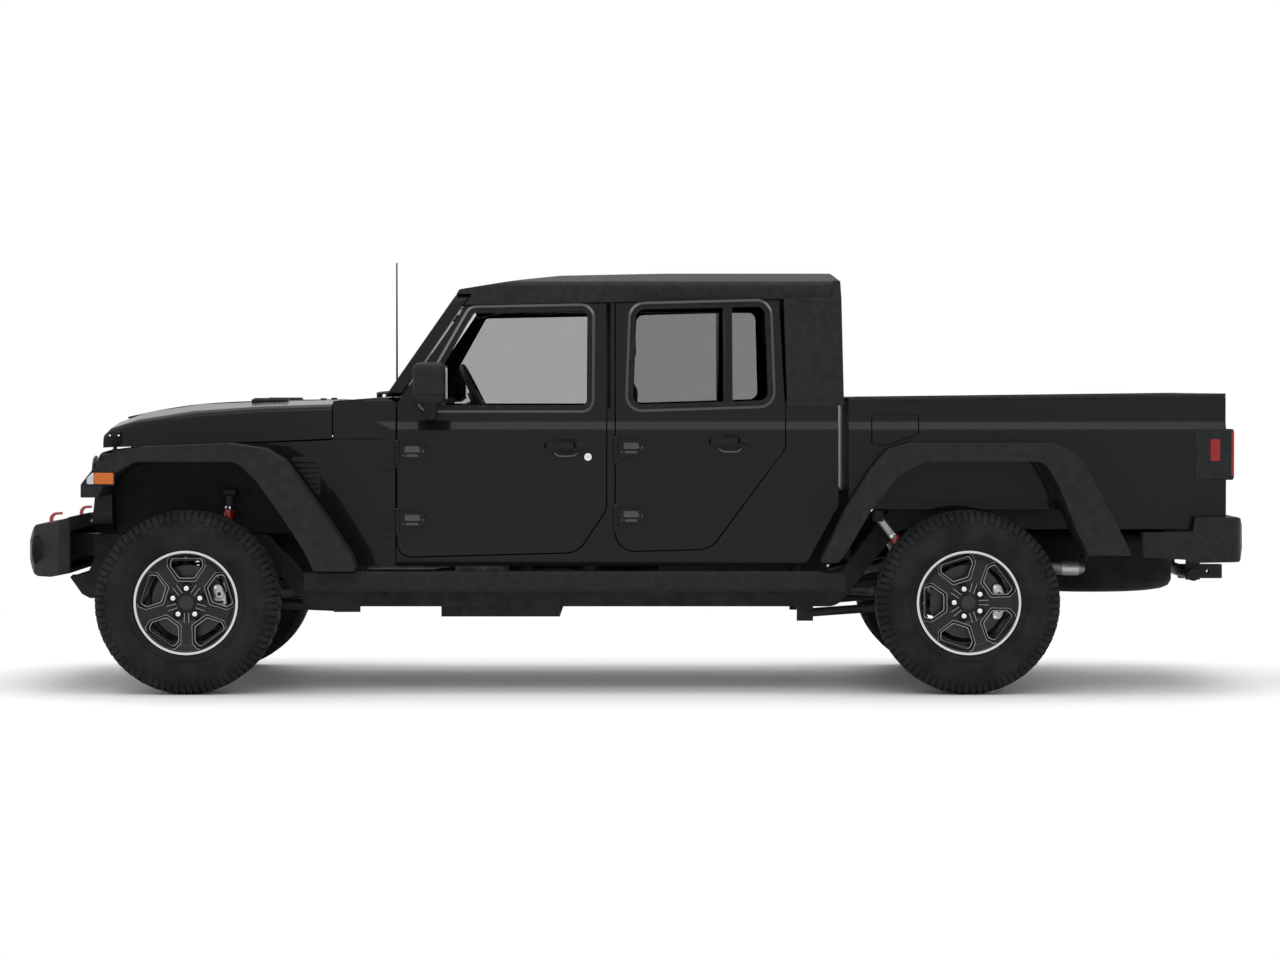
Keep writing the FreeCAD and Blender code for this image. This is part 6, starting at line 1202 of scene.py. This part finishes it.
def turnedBetween(name, start, end, profile, finishName, steps=32):
    # a turned shape along a line; profile holds (metres from the start, radius)
    made = turned(name, profile, finishName, "z", steps=steps)
    turn = (Vector(end) - Vector(start)).to_track_quat("Z", "Y").to_matrix().to_4x4()
    made.data.transform(Matrix.Translation(start) @ turn)
    return made


def coil(x, top, turns):
    c = coilSizes
    foot, high = c["foot"] + c["wire"], top - c["wire"] - 0.0005
    points = []
    count = int(turns * c["perTurn"])
    for i in range(count + 1):
        t = i / count
        angle = 2 * math.pi * turns * t
        rise = min(1.0, max(0.0, (t - 0.5 / turns) / (1 - 1.0 / turns)))
        points.append((x + c["reach"] * math.cos(angle), -c["side"] + c["reach"] * math.sin(angle),
                       foot + (high - foot) * rise))
    inner, outer = c["pad"]
    pad = [(top - 0.008, inner), (top - 0.008, outer), (top - 0.0005, outer), (top - 0.0005, inner)]
    return [tubeShape("coil", points, c["wire"], "springPaint", smoothLine=False),
            latheShape("coilPad", pad, "rubber", "z", (x, -c["side"], 0), 36)]


def damperParts(start, end, bandLow, bandHigh, coverFinish):
    # thick silver body below, thinner cover above, with red and bright collars
    reach = (Vector(end) - Vector(start)).length
    half = reach * 0.5
    shapes = (
        ("damperBody", "silverPaint", [(0, 0), (0, 0.018), (0.010, 0.0285), (0.018, 0.0295), (half - 0.010, 0.0295),
                                       (half, 0.026), (half, 0)]),
        ("damperCover", coverFinish, [(half - 0.004, 0), (half - 0.004, 0.0205), (half + 0.004, 0.0215),
                                      (reach - 0.004, 0.0215), (reach, 0.017), (reach, 0)]),
        ("damperBand", "redPaint", [(bandLow, 0), (bandLow, 0.0235), (bandLow + 0.004, 0.0245),
                                    (bandHigh - 0.004, 0.0245), (bandHigh, 0.0235), (bandHigh, 0)]),
        ("damperRing", "redPaint", [(half - 0.040, 0), (half - 0.040, 0.0305), (half - 0.012, 0.0305),
                                    (half - 0.012, 0)]),
        ("damperCollar", "chrome", [(bandHigh + 0.006, 0), (bandHigh + 0.006, 0.0228), (bandHigh + 0.016, 0.0228),
                                    (bandHigh + 0.016, 0)]),
    )
    return [turnedBetween(name, start, end, profile, finishName) for name, finishName, profile in shapes]


def fitSprings():
    parts = coil(-1.9895, 0.656, 5.0) + coil(1.4975, 0.710, 6.0)
    parts += damperParts((-1.8855, -0.482, 0.430), (-1.8348, -0.5108, 0.8795), 0.300, 0.386, "springPaint")
    parts += damperParts((1.3975, -0.560, 0.420), (1.1175, -0.560, 0.780), 0.302, 0.342, "silverPaint")
    left = joinPieces("springsLeft", parts)
    both = joinPieces("springsAndDampers", [left, shifted(left, flip=True, name="springsRight")])
    settle(both, "vehicle")
    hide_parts("springs_and_dampers")


fitSprings()
print("springs and dampers fitted")

# seats

padSizes = {"voxel": 0.0125, "pressure": 4.0, "cap": 0.024, "inset": 0.013, "round": 0.022, "frames": 20}
frontSeat = {
    "cushion": [(-0.650, 0.793, 0.050), (-0.650, 0.933, 0.060), (-0.120, 0.883, 0.040), (-0.100, 0.773, 0.030)],
    "back": [(-0.160, 0.790, 0.050), (-0.220, 0.930, 0.040), (-0.100, 1.450, 0.060), (0.020, 1.450, 0.050),
             (-0.030, 0.800, 0.040)],
    "head": [(-0.094, 1.472, 0.030), (-0.078, 1.655, 0.036), (0.016, 1.655, 0.036), (0.022, 1.472, 0.030)],
}
rearSeat = {
    "cushion": [(0.280, 0.783, 0.050), (0.280, 0.923, 0.060), (0.760, 0.883, 0.040), (0.780, 0.763, 0.030)],
    "back": [(0.710, 0.773, 0.040), (0.690, 0.913, 0.040), (0.770, 1.393, 0.050), (0.860, 1.393, 0.040),
             (0.840, 0.783, 0.030)],
    "head": [(0.772, 1.386, 0.020), (0.780, 1.553, 0.034), (0.856, 1.553, 0.034), (0.858, 1.386, 0.020)],
}
# the side outline of each pad, where it starts and ends across, and how far in from there its seams run
padTable = {
    "frontCushionLeft": (frontSeat["cushion"], -0.620, -0.140, 0.095),
    "frontBackLeft": (frontSeat["back"], -0.620, -0.140, 0.100),
    "frontHeadLeft": (frontSeat["head"], -0.500, -0.260, None),
    "benchCushion": (rearSeat["cushion"], -0.614, 0.614, 0.150),
    "benchBackWide": (rearSeat["back"], -0.614, 0.118, 0.120),
    "benchBackNarrow": (rearSeat["back"], 0.122, 0.614, 0.110),
    "benchHeadLeft": (rearSeat["head"], -0.450, -0.230, None),
}
seamSizes = {"radius": 0.0028, "sunk": 0.0006}
floorTop = 0.593


def padShape(name, corners, y0, y1):
    # the plain start shape of a pad: its side outline, drawn in a little, with round edges
    inset = padSizes["inset"]
    shape = plate(name, corners, 5, (y0 + inset, y1 - inset), "side", "seatCloth")
    vertices = shape.data.vertices
    centre = sum((Vector((v.co.x, 0, v.co.z)) for v in vertices), Vector()) / len(vertices)
    wide = max(v.co.x for v in vertices) - min(v.co.x for v in vertices)
    tall = max(v.co.z for v in vertices) - min(v.co.z for v in vertices)
    for v in vertices:
        v.co.x = centre.x + (v.co.x - centre.x) * (1 - 2 * inset / wide)
        v.co.z = centre.z + (v.co.z - centre.z) * (1 - 2 * inset / tall)
    softenEdges(shape, padSizes["round"], 3)
    return shape


def puffPads(pads):
    # fills the pads with air, as cloth under pressure, and keeps each point near where it began
    scene.frame_set(1)
    starts = []
    for pad in pads:
        remesh = pad.modifiers.new("even", "REMESH")
        remesh.mode = "VOXEL"
        remesh.voxel_size = padSizes["voxel"]
        bakeModifiers(pad)
        pad.data.materials.clear()
        pad.data.materials.append(finish["seatCloth"])
        starts.append([v.co.copy() for v in pad.data.vertices])
        cloth = pad.modifiers.new("air", "CLOTH")
        cloth.settings.use_pressure = True
        cloth.settings.uniform_pressure_force = padSizes["pressure"]
        cloth.settings.effector_weights.gravity = 0.0
        cloth.settings.quality = 4
    for frameNumber in range(1, padSizes["frames"] + 1):
        scene.frame_set(frameNumber)
    for pad, start in zip(pads, starts):
        bakeModifiers(pad)
        for v, s in zip(pad.data.vertices, start):
            move = v.co - s
            if move.length > padSizes["cap"]:
                v.co = s + move * (padSizes["cap"] / move.length)
        smooth = pad.modifiers.new("smooth", "SUBSURF")
        smooth.levels = smooth.render_levels = 1
        bakeModifiers(pad)
        pad.data.polygons.foreach_set("use_smooth", [True] * len(pad.data.polygons))
    scene.frame_set(1)


def padSeams(name, pad):
    # two stitched cords round a pad, found by looking from outside towards its middle line
    corners, y0, y1, inner = padTable[name]
    line = roundedOutline(corners, 8)
    cx, cz = (sum(p[k] for p in line) / len(line) for k in (0, 1))
    tree = BVHTree.FromObject(pad, bpy.context.evaluated_depsgraph_get())
    radius = seamSizes["radius"]
    parts = []
    for y in (y0 + inner, y1 - inner):
        ring = [Vector((cx + (a - cx) * 1.5, y, cz + (b - cz) * 1.5)) for a, b in line]
        hits = []
        for point in [*ring, ring[0]]:
            hit, normal, _, _ = tree.ray_cast(point, (Vector((cx, y, cz)) - point).normalized())
            if hit is not None:
                hits.append(tuple(hit + normal * (radius * 0.35 - seamSizes["sunk"])))
        parts.append(tubeShape("seam", hits, radius, "thread", sides=8, smoothLine=False))
    return parts


def seatFrames():
    # bases, rails and shields of the front seats, posts of all head rests, base and back plate of the bench
    parts = []
    for side in (-1, 1):
        y0, y1 = sorted((side * 0.180, side * 0.580))
        parts.append(boxShape("seatBase", (-0.540, y0, floorTop), (-0.150, y1, 0.800), "darkPlastic", 0.012))
        for y in (side * 0.180, side * 0.560):
            parts.append(boxShape("seatRail", (-0.600, y - 0.016, floorTop), (-0.120, y + 0.016, floorTop + 0.030),
                                  "castMetal", 0.003))
        y = side * 0.600
        parts.append(boxShape("seatShield", (-0.560, y - 0.010, 0.740), (-0.180, y + 0.010, 0.830), "darkPlastic",
                              0.006))
        for name, x, low, high, places in (("headPost", -0.040, 1.430, 1.500, (0.330, 0.430)),
                                           ("rearPost", 0.818, 1.370, 1.420, (0.290, 0.390))):
            parts += [rod(name, low, high, 0.006, "chrome", "z", (x, side * y, 0), 16) for y in places]
    parts += [boxShape("benchBase", (0.330, -0.590, floorTop), (0.760, 0.590, 0.790), "darkPlastic", 0.012),
              boxShape("benchPlate", (0.800, -0.590, 0.720), (0.846, 0.590, 1.300), "darkPlastic", 0.012)]
    return joinPieces("seatFrames", parts)


def fitSeats():
    pads = {name: padShape(name, *row[:3]) for name, row in padTable.items()}
    puffPads(list(pads.values()))
    seams = {}
    for end, piece in (("front", "frontSeamsLeft"), ("bench", "benchSeams")):
        stitched = [name for name in pads if name.startswith(end) and padTable[name][3]]
        seams[end] = joinPieces(piece, [part for name in stitched for part in padSeams(name, pads[name])])
    twins = [shifted(pad, flip=True, name=name.replace("Left", "Right"))
             for name, pad in pads.items() if "Left" in name]
    for pad in [*pads.values(), *twins]:
        settle(pad, "vehicle")
    for piece in (shifted(seams["front"], flip=True, name="frontSeamsRight"), *seams.values()):
        settle(piece, "vehicle")
    base = seatFrames()
    settle(base, "vehicle")
    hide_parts("seats")


fitSeats()
print("seats fitted")

# inside the cab

def leverShape(x, y, high):
    # a lever with a rubber foot and a round knob
    foot = 0.905
    profile = [(0, 0), (0, 0.020), (0.03, 0.008), (high - 0.945, 0.007), (high - 0.935, 0.019), (high - 0.905, 0.022),
               (high - 0.895, 0.014), (high - 0.893, 0)]
    return turnedBetween("lever", (x - 0.020, y, foot), (x, y, high), profile, "rubber", 24)


def fitCabTrim():
    hood = [(-1.010, 1.266, 0.010), (-0.996, 1.330, 0.024), (-0.884, 1.318, 0.018), (-0.868, 1.262, 0.008)]
    dial = [(0.0, 0.040), (0.0, 0.047), (0.010, 0.047), (0.010, 0.040)]
    vent = [(0.0, 0.026), (-0.006, 0.034), (0.012, 0.040), (0.030, 0.040), (0.030, 0.026)]
    grab = [(-0.850, 0.250, 1.190), (-0.815, 0.262, 1.190), (-0.812, 0.360, 1.190), (-0.815, 0.458, 1.190),
            (-0.850, 0.470, 1.190)]
    stalk = [(0, 0), (0, 0.010), (0.058, 0.008), (0.058, 0)]
    parts = [plate("dialHood", hood, 4, (-0.520, -0.220), "side", "darkPlastic", 0.010)]
    parts += [latheShape("dialRing", dial, "silverPaint", "x", (-0.876, y, 1.290), 36) for y in (-0.430, -0.310)]
    parts.append(boxShape("middleScreen", (-0.872, -0.120, 1.150), (-0.852, 0.120, 1.262), "blackPaint", 0.004))
    parts += [latheShape("airVent", vent, "darkPlastic", "x", (-0.858, y, 1.210), 32)
              for y in (-0.560, -0.165, 0.165, 0.560)]
    parts += [tubeShape("grabBar", grab, 0.011, "rubber"), leverShape(-0.760, -0.010, 1.105),
              leverShape(-0.660, -0.060, 1.060),
              boxShape("armRest", (-0.420, -0.105, 0.900), (-0.060, 0.105, 1.000), "trimPlastic", 0.018),
              boxShape("roomMirror", (-0.828, -0.125, 1.640), (-0.806, 0.125, 1.706), "darkPlastic", 0.010),
              turnedBetween("mirrorStalk", (-0.872, 0, 1.700), (-0.818, 0, 1.675), stalk, "darkPlastic", 16)]
    settle(joinPieces("cabTrim", parts), "vehicle")


def fitDoorCards():
    # an arm rest and a pocket on the inside of each door
    for side, hand in ((-1, "Left"), (1, "Right")):
        for x, end in ((-0.630, "front"), (0.230, "rear")):
            rest = [(x - 0.190, 0.965, 0.012), (x - 0.190, 1.005, 0.014), (x + 0.200, 1.020, 0.014),
                    (x + 0.200, 0.975, 0.012)]
            pocket = rectangle(x - 0.240, 0.690, x + 0.180, 0.800, 0.020)
            parts = [plate("doorRest", rest, 4, sorted((side * 0.690, side * 0.640)), "side", "darkPlastic", 0.008),
                     plate("doorPocket", pocket, 4, sorted((side * 0.690, side * 0.662)), "side", "darkPlastic", 0.008)]
            settle(joinPieces(end + "DoorCard" + hand, parts), "door_" + end[0] + hand[0].lower())


fitCabTrim()
fitDoorCards()
print("cab trim fitted")

# panels and castings with softened edges, each standing for its plain solid

# node: edge radius in metres, and the fold in degrees that still reads as one curved sheet
panelEdges = {
    "bonnet": (0.0030, 26), "grille": (0.0020, 30), "front_wings": (0.0025, 20), "scuttle": (0.0025, 20),
    "cab_sides": (0.0030, 20), "windscreen_frame": (0.0030, 26), "roof_front_panel": (0.0060, 26),
    "hard_top": (0.0060, 26), "arch_mouldings": (0.0050, 26), "load_bed": (0.0030, 20), "tailgate": (0.0030, 26),
    "bed_trim": (0.0030, 26), "front_bumper": (0.0050, 24), "rear_bumper": (0.0050, 24), "sill_rails": (0.0040, 26),
    "mirror_left": (0.0060, 24), "mirror_right": (0.0060, 24), "tail_lamps": (0.0050, 26),
    "dashboard": (0.0060, 26), "spare_wheel": (0.0040, 30), "chassis_frame": (0.0025, 30), "axles": (0.0020, 30),
}
for end in ("front", "rear"):
    for side in ("left", "right"):
        panelEdges[f"door_{end}_{side}"] = (0.0025, 20)

cadBody = {held: body for body, nodes in frame["record"]["behaviour"]["bodies"].items() for held in nodes}


def softPanel(nodeName):
    width, fold = panelEdges[nodeName]
    mesh = cadNodes[nodeName].data.copy()
    bm = bmesh.new()
    bm.from_mesh(mesh)
    bmesh.ops.remove_doubles(bm, verts=bm.verts, dist=1e-5)
    before = bm.calc_volume()
    bmesh.ops.dissolve_limit(bm, angle_limit=math.radians(0.5), verts=bm.verts, edges=bm.edges)
    bm.to_mesh(mesh)
    bm.free()
    piece = linked("soft" + "".join(word.title() for word in nodeName.split("_")), mesh)
    softenEdges(piece, width, 2, fold)
    shadeByAngle(piece.data, fold + 8)
    even = piece.modifiers.new("even", "WEIGHTED_NORMAL")
    even.keep_sharp = True
    bakeModifiers(piece)
    settle(piece, cadBody[nodeName])
    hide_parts(nodeName)
    print("soft", nodeName, len(piece.data.polygons), "volume kept", round(volumeOf(piece.data) / before, 4))
    return piece


softPanels = {nodeName: softPanel(nodeName) for nodeName in panelEdges}
print("panel edges softened:", len(panelEdges))

# cargo bed, hard top seals, exhaust tip and dark plates of painted shade

bedSizes = {"front": 0.985, "rear": 2.600, "floor": 0.880, "half": 0.568, "top": 1.300, "ribs": 9, "pitch": 0.108,
            "ribWide": 0.052, "ribHigh": 0.007, "tieDowns": (1.060, 2.520), "tieHeight": 1.200}


def lineTub(piece):
    # the inside of the tub gets the sprayed liner instead of the body colour
    piece.data.materials.append(finish["bedLiner"])
    for face in piece.data.polygons:
        x, y, z = face.center
        inX = bedSizes["front"] - 0.012 < x < bedSizes["rear"] + 0.02
        if inX and abs(y) < bedSizes["half"] + 0.003 and bedSizes["floor"] - 0.002 < z < bedSizes["top"]:
            face.material_index = len(piece.data.materials) - 1


def tieDown(x, side):
    # a small plate with a hanging ring on the tub wall
    y, z = side * (bedSizes["half"] - 0.002), bedSizes["tieHeight"]
    low, high = sorted((y, y - side * 0.006))
    ringY = y - side * 0.012
    loop = [(-0.020, 0.010), (-0.026, -0.024), (-0.012, -0.044), (0.012, -0.044), (0.026, -0.024), (0.020, 0.010)]
    bar = [(x + along, ringY, z + 0.006) for along in (-0.016, 0, 0.016)]
    return [boxShape("tiePlate", (x - 0.026, low, z - 0.022), (x + 0.026, high, z + 0.030), "steelPaint", 0.002),
            tubeShape("tieRing", [(x + a, ringY, z + b) for a, b in loop], 0.0042, "chrome", closed=True),
            tubeShape("tieBar", bar, 0.0065, "steelPaint")]


def fitBed():
    s = bedSizes
    first = -s["pitch"] * (s["ribs"] - 1) / 2
    rib = boxShape("bedRib", (s["front"] + 0.035, first - s["ribWide"] / 2, s["floor"] - 0.001),
                   (s["rear"] - 0.030, first + s["ribWide"] / 2, s["floor"] + s["ribHigh"]), "bedLiner", 0.003, 3)
    parts = [rowOf(rib, s["ribs"], (0, s["pitch"], 0))]
    for x in s["tieDowns"]:
        for side in (-1, 1):
            parts += tieDown(x, side)
    settle(joinPieces("bedFittings", parts), "vehicle")


def onHardTop(outline):
    # carries an outline (y, z) onto the back of the hard top, looking forward from the bed
    source = cadNodes["hard_top"].data
    tree = BVHTree.FromPolygons([v.co for v in source.vertices], [tuple(p.vertices) for p in source.polygons])
    hits = [(tree.ray_cast(Vector((1.4, y, z)), Vector((-1, 0, 0)))[0], y, z) for y, z in outline]
    return [(hit.x, y, z) for hit, y, z in hits if hit is not None]


def fitSeals():
    # the rubber round the back window, and one along the foot of the hard top
    corners = [(-0.572, 1.378, 0.050), (0.572, 1.378, 0.050), (0.532, 1.732, 0.060), (-0.532, 1.732, 0.060)]
    path = onHardTop(roundedOutline(corners, 6))
    foot = onHardTop([(y, 1.2955) for y in (-0.66, -0.4, -0.2, 0.0, 0.2, 0.4, 0.66)])
    parts = []
    if len(path) > 12:
        parts.append(tubeShape("backWindowSeal", path, 0.0075, "rubber", closed=True))
    if len(foot) > 3:
        parts.append(tubeShape("hardTopFoot", foot, 0.0045, "rubber"))
    print("points of the seals:", len(path), len(foot))
    if parts:
        settle(joinPieces("hardTopSeals", parts), "vehicle")


def fitShadePanels():
    # dark closing plates between the cab's rear foot and the bed, inboard of the flare: painted shade that fills the
    # gap where the backdrop would show through
    outline = [(0.800, 0.592, 0.010), (0.984, 0.592, 0.010), (0.984, 0.890, 0.006), (0.938, 0.890, 0.006),
               (0.800, 0.650, 0.010)]
    left = plate("shadePanel", outline, 4, (-0.664, -0.656), "side", "rubber", 0.0015)
    bothSides("shadePanel", left, ("vehicle", "vehicle"))


def fitExhaustTip():
    # a rolled bright end on the tail pipe
    profile = [(-0.062, 0.0302), (-0.062, 0.0330), (0.010, 0.0335), (0.013, 0.0325), (0.013, 0.0290), (-0.042, 0.0285)]
    settle(latheShape("exhaustTip", profile, "silverPaint", "x", (2.012, -0.560, 0.549), 40), "vehicle")


lineTub(softPanels["load_bed"])
fitBed()
fitSeals()
fitShadePanels()
fitExhaustTip()
print("bed, seals and closing plates fitted")

# camera, floor and light

view = {"place": (0.033, -17.42, 1.38), "lens": 104.4, "tilt": 1.466, "sensor": 36.0}
cameraData = bpy.data.cameras.new("photoCamera")
cameraData.lens = view["lens"]
cameraData.sensor_width = view["sensor"]
cameraData.clip_end = 200
camera = linked("photoCamera", cameraData)
camera.location = view["place"]
camera.rotation_euler = (math.radians(90 - view["tilt"]), 0, 0)
scene.camera = camera

scene.view_settings.view_transform = "Standard"
light = {"sky": 0.9, "skyColour": (0.95, 0.97, 1.0, 1), "overhead": 200, "side": 80}
# under the object the floor shows its own light and shadow, far from it the plain white of the backdrop
floorGlow = {"reach": (5.2, 3.4), "near": 0.75, "far": 1.7}


def seenShare(tree):
    # 1 for the rays that show the bright backdrop: the camera's, a reflected or a passed one
    path = tree.nodes.new("ShaderNodeLightPath")
    both = tree.nodes.new("ShaderNodeMath")
    every = tree.nodes.new("ShaderNodeMath")
    both.operation = every.operation = "ADD"
    every.use_clamp = True
    tree.links.new(path.outputs["Is Camera Ray"], both.inputs[0])
    tree.links.new(path.outputs["Is Glossy Ray"], both.inputs[1])
    tree.links.new(both.outputs[0], every.inputs[0])
    tree.links.new(path.outputs["Is Transmission Ray"], every.inputs[1])
    return every.outputs[0]


def makeSky():
    world = bpy.data.worlds.new("studioSky")
    world.use_nodes = True
    scene.world = world
    tree = world.node_tree
    tree.nodes.clear()
    out = tree.nodes.new("ShaderNodeOutputWorld")
    mix = tree.nodes.new("ShaderNodeMixShader")
    tree.links.new(seenShare(tree), mix.inputs[0])
    for slot, colour, strength in ((1, light["skyColour"], light["sky"]), (2, (1, 1, 1, 1), 1.0)):
        sky = tree.nodes.new("ShaderNodeBackground")
        sky.inputs["Color"].default_value = colour
        sky.inputs["Strength"].default_value = strength
        tree.links.new(sky.outputs[0], mix.inputs[slot])
    tree.links.new(mix.outputs[0], out.inputs["Surface"])


def makeFloor():
    mesh = bpy.data.meshes.new("studioFloor")
    bm = bmesh.new()
    bmesh.ops.create_grid(bm, x_segments=2, y_segments=2, size=60)
    bm.to_mesh(mesh)
    bm.free()
    floor = linked("studioFloor", mesh)
    mat = newMaterial("studioFloorPaint", (0.9, 0.9, 0.9), 0.6, specular=0.2)
    tree = mat.node_tree
    glow = node(mat, "ShaderNodeEmission", Strength=1.0, Color=(1, 1, 1, 1))
    mixed = node(mat, "ShaderNodeMixShader")
    reachX, reachY = floorGlow["reach"]
    away = node(mat, "ShaderNodeVectorMath", operation="LENGTH")
    join(mat, objectPoint(mat, (1 / reachX, 1 / reachY, 1)), "Vector", away, 0)
    spread = node(mat, "ShaderNodeMapRange", interpolation_type="SMOOTHSTEP")
    spread.inputs["From Min"].default_value = floorGlow["near"]
    spread.inputs["From Max"].default_value = floorGlow["far"]
    join(mat, away, "Value", spread, "Value")
    share = node(mat, "ShaderNodeMath", operation="MULTIPLY")
    tree.links.new(seenShare(tree), share.inputs[0])
    join(mat, spread, "Result", share, 1)
    tree.links.new(share.outputs[0], mixed.inputs[0])
    tree.links.new(shaderOf(mat).outputs[0], mixed.inputs[1])
    tree.links.new(glow.outputs[0], mixed.inputs[2])
    tree.links.new(mixed.outputs[0], tree.nodes["Material Output"].inputs["Surface"])
    mesh.materials.append(mat)


def areaLight(name, place, target, size, power):
    data = bpy.data.lights.new(name, "AREA")
    data.energy = power
    data.shape = "RECTANGLE"
    data.size, data.size_y = size
    lamp = linked(name, data)
    lamp.location = place
    lamp.rotation_euler = (Vector(target) - Vector(place)).to_track_quat("-Z", "Y").to_euler()


makeSky()
makeFloor()
areaLight("overheadBox", (0, 0, 5.6), (0, 0, 0), (9.0, 3.4), light["overhead"])
areaLight("nearBox", (-0.3, -4.6, 5.2), (0, 0, 1.0), (9.0, 1.5), light["side"])
areaLight("farBox", (0, 4.6, 5.2), (0, 0, 1.0), (9.0, 1.5), light["side"])
print("stage and lights set")
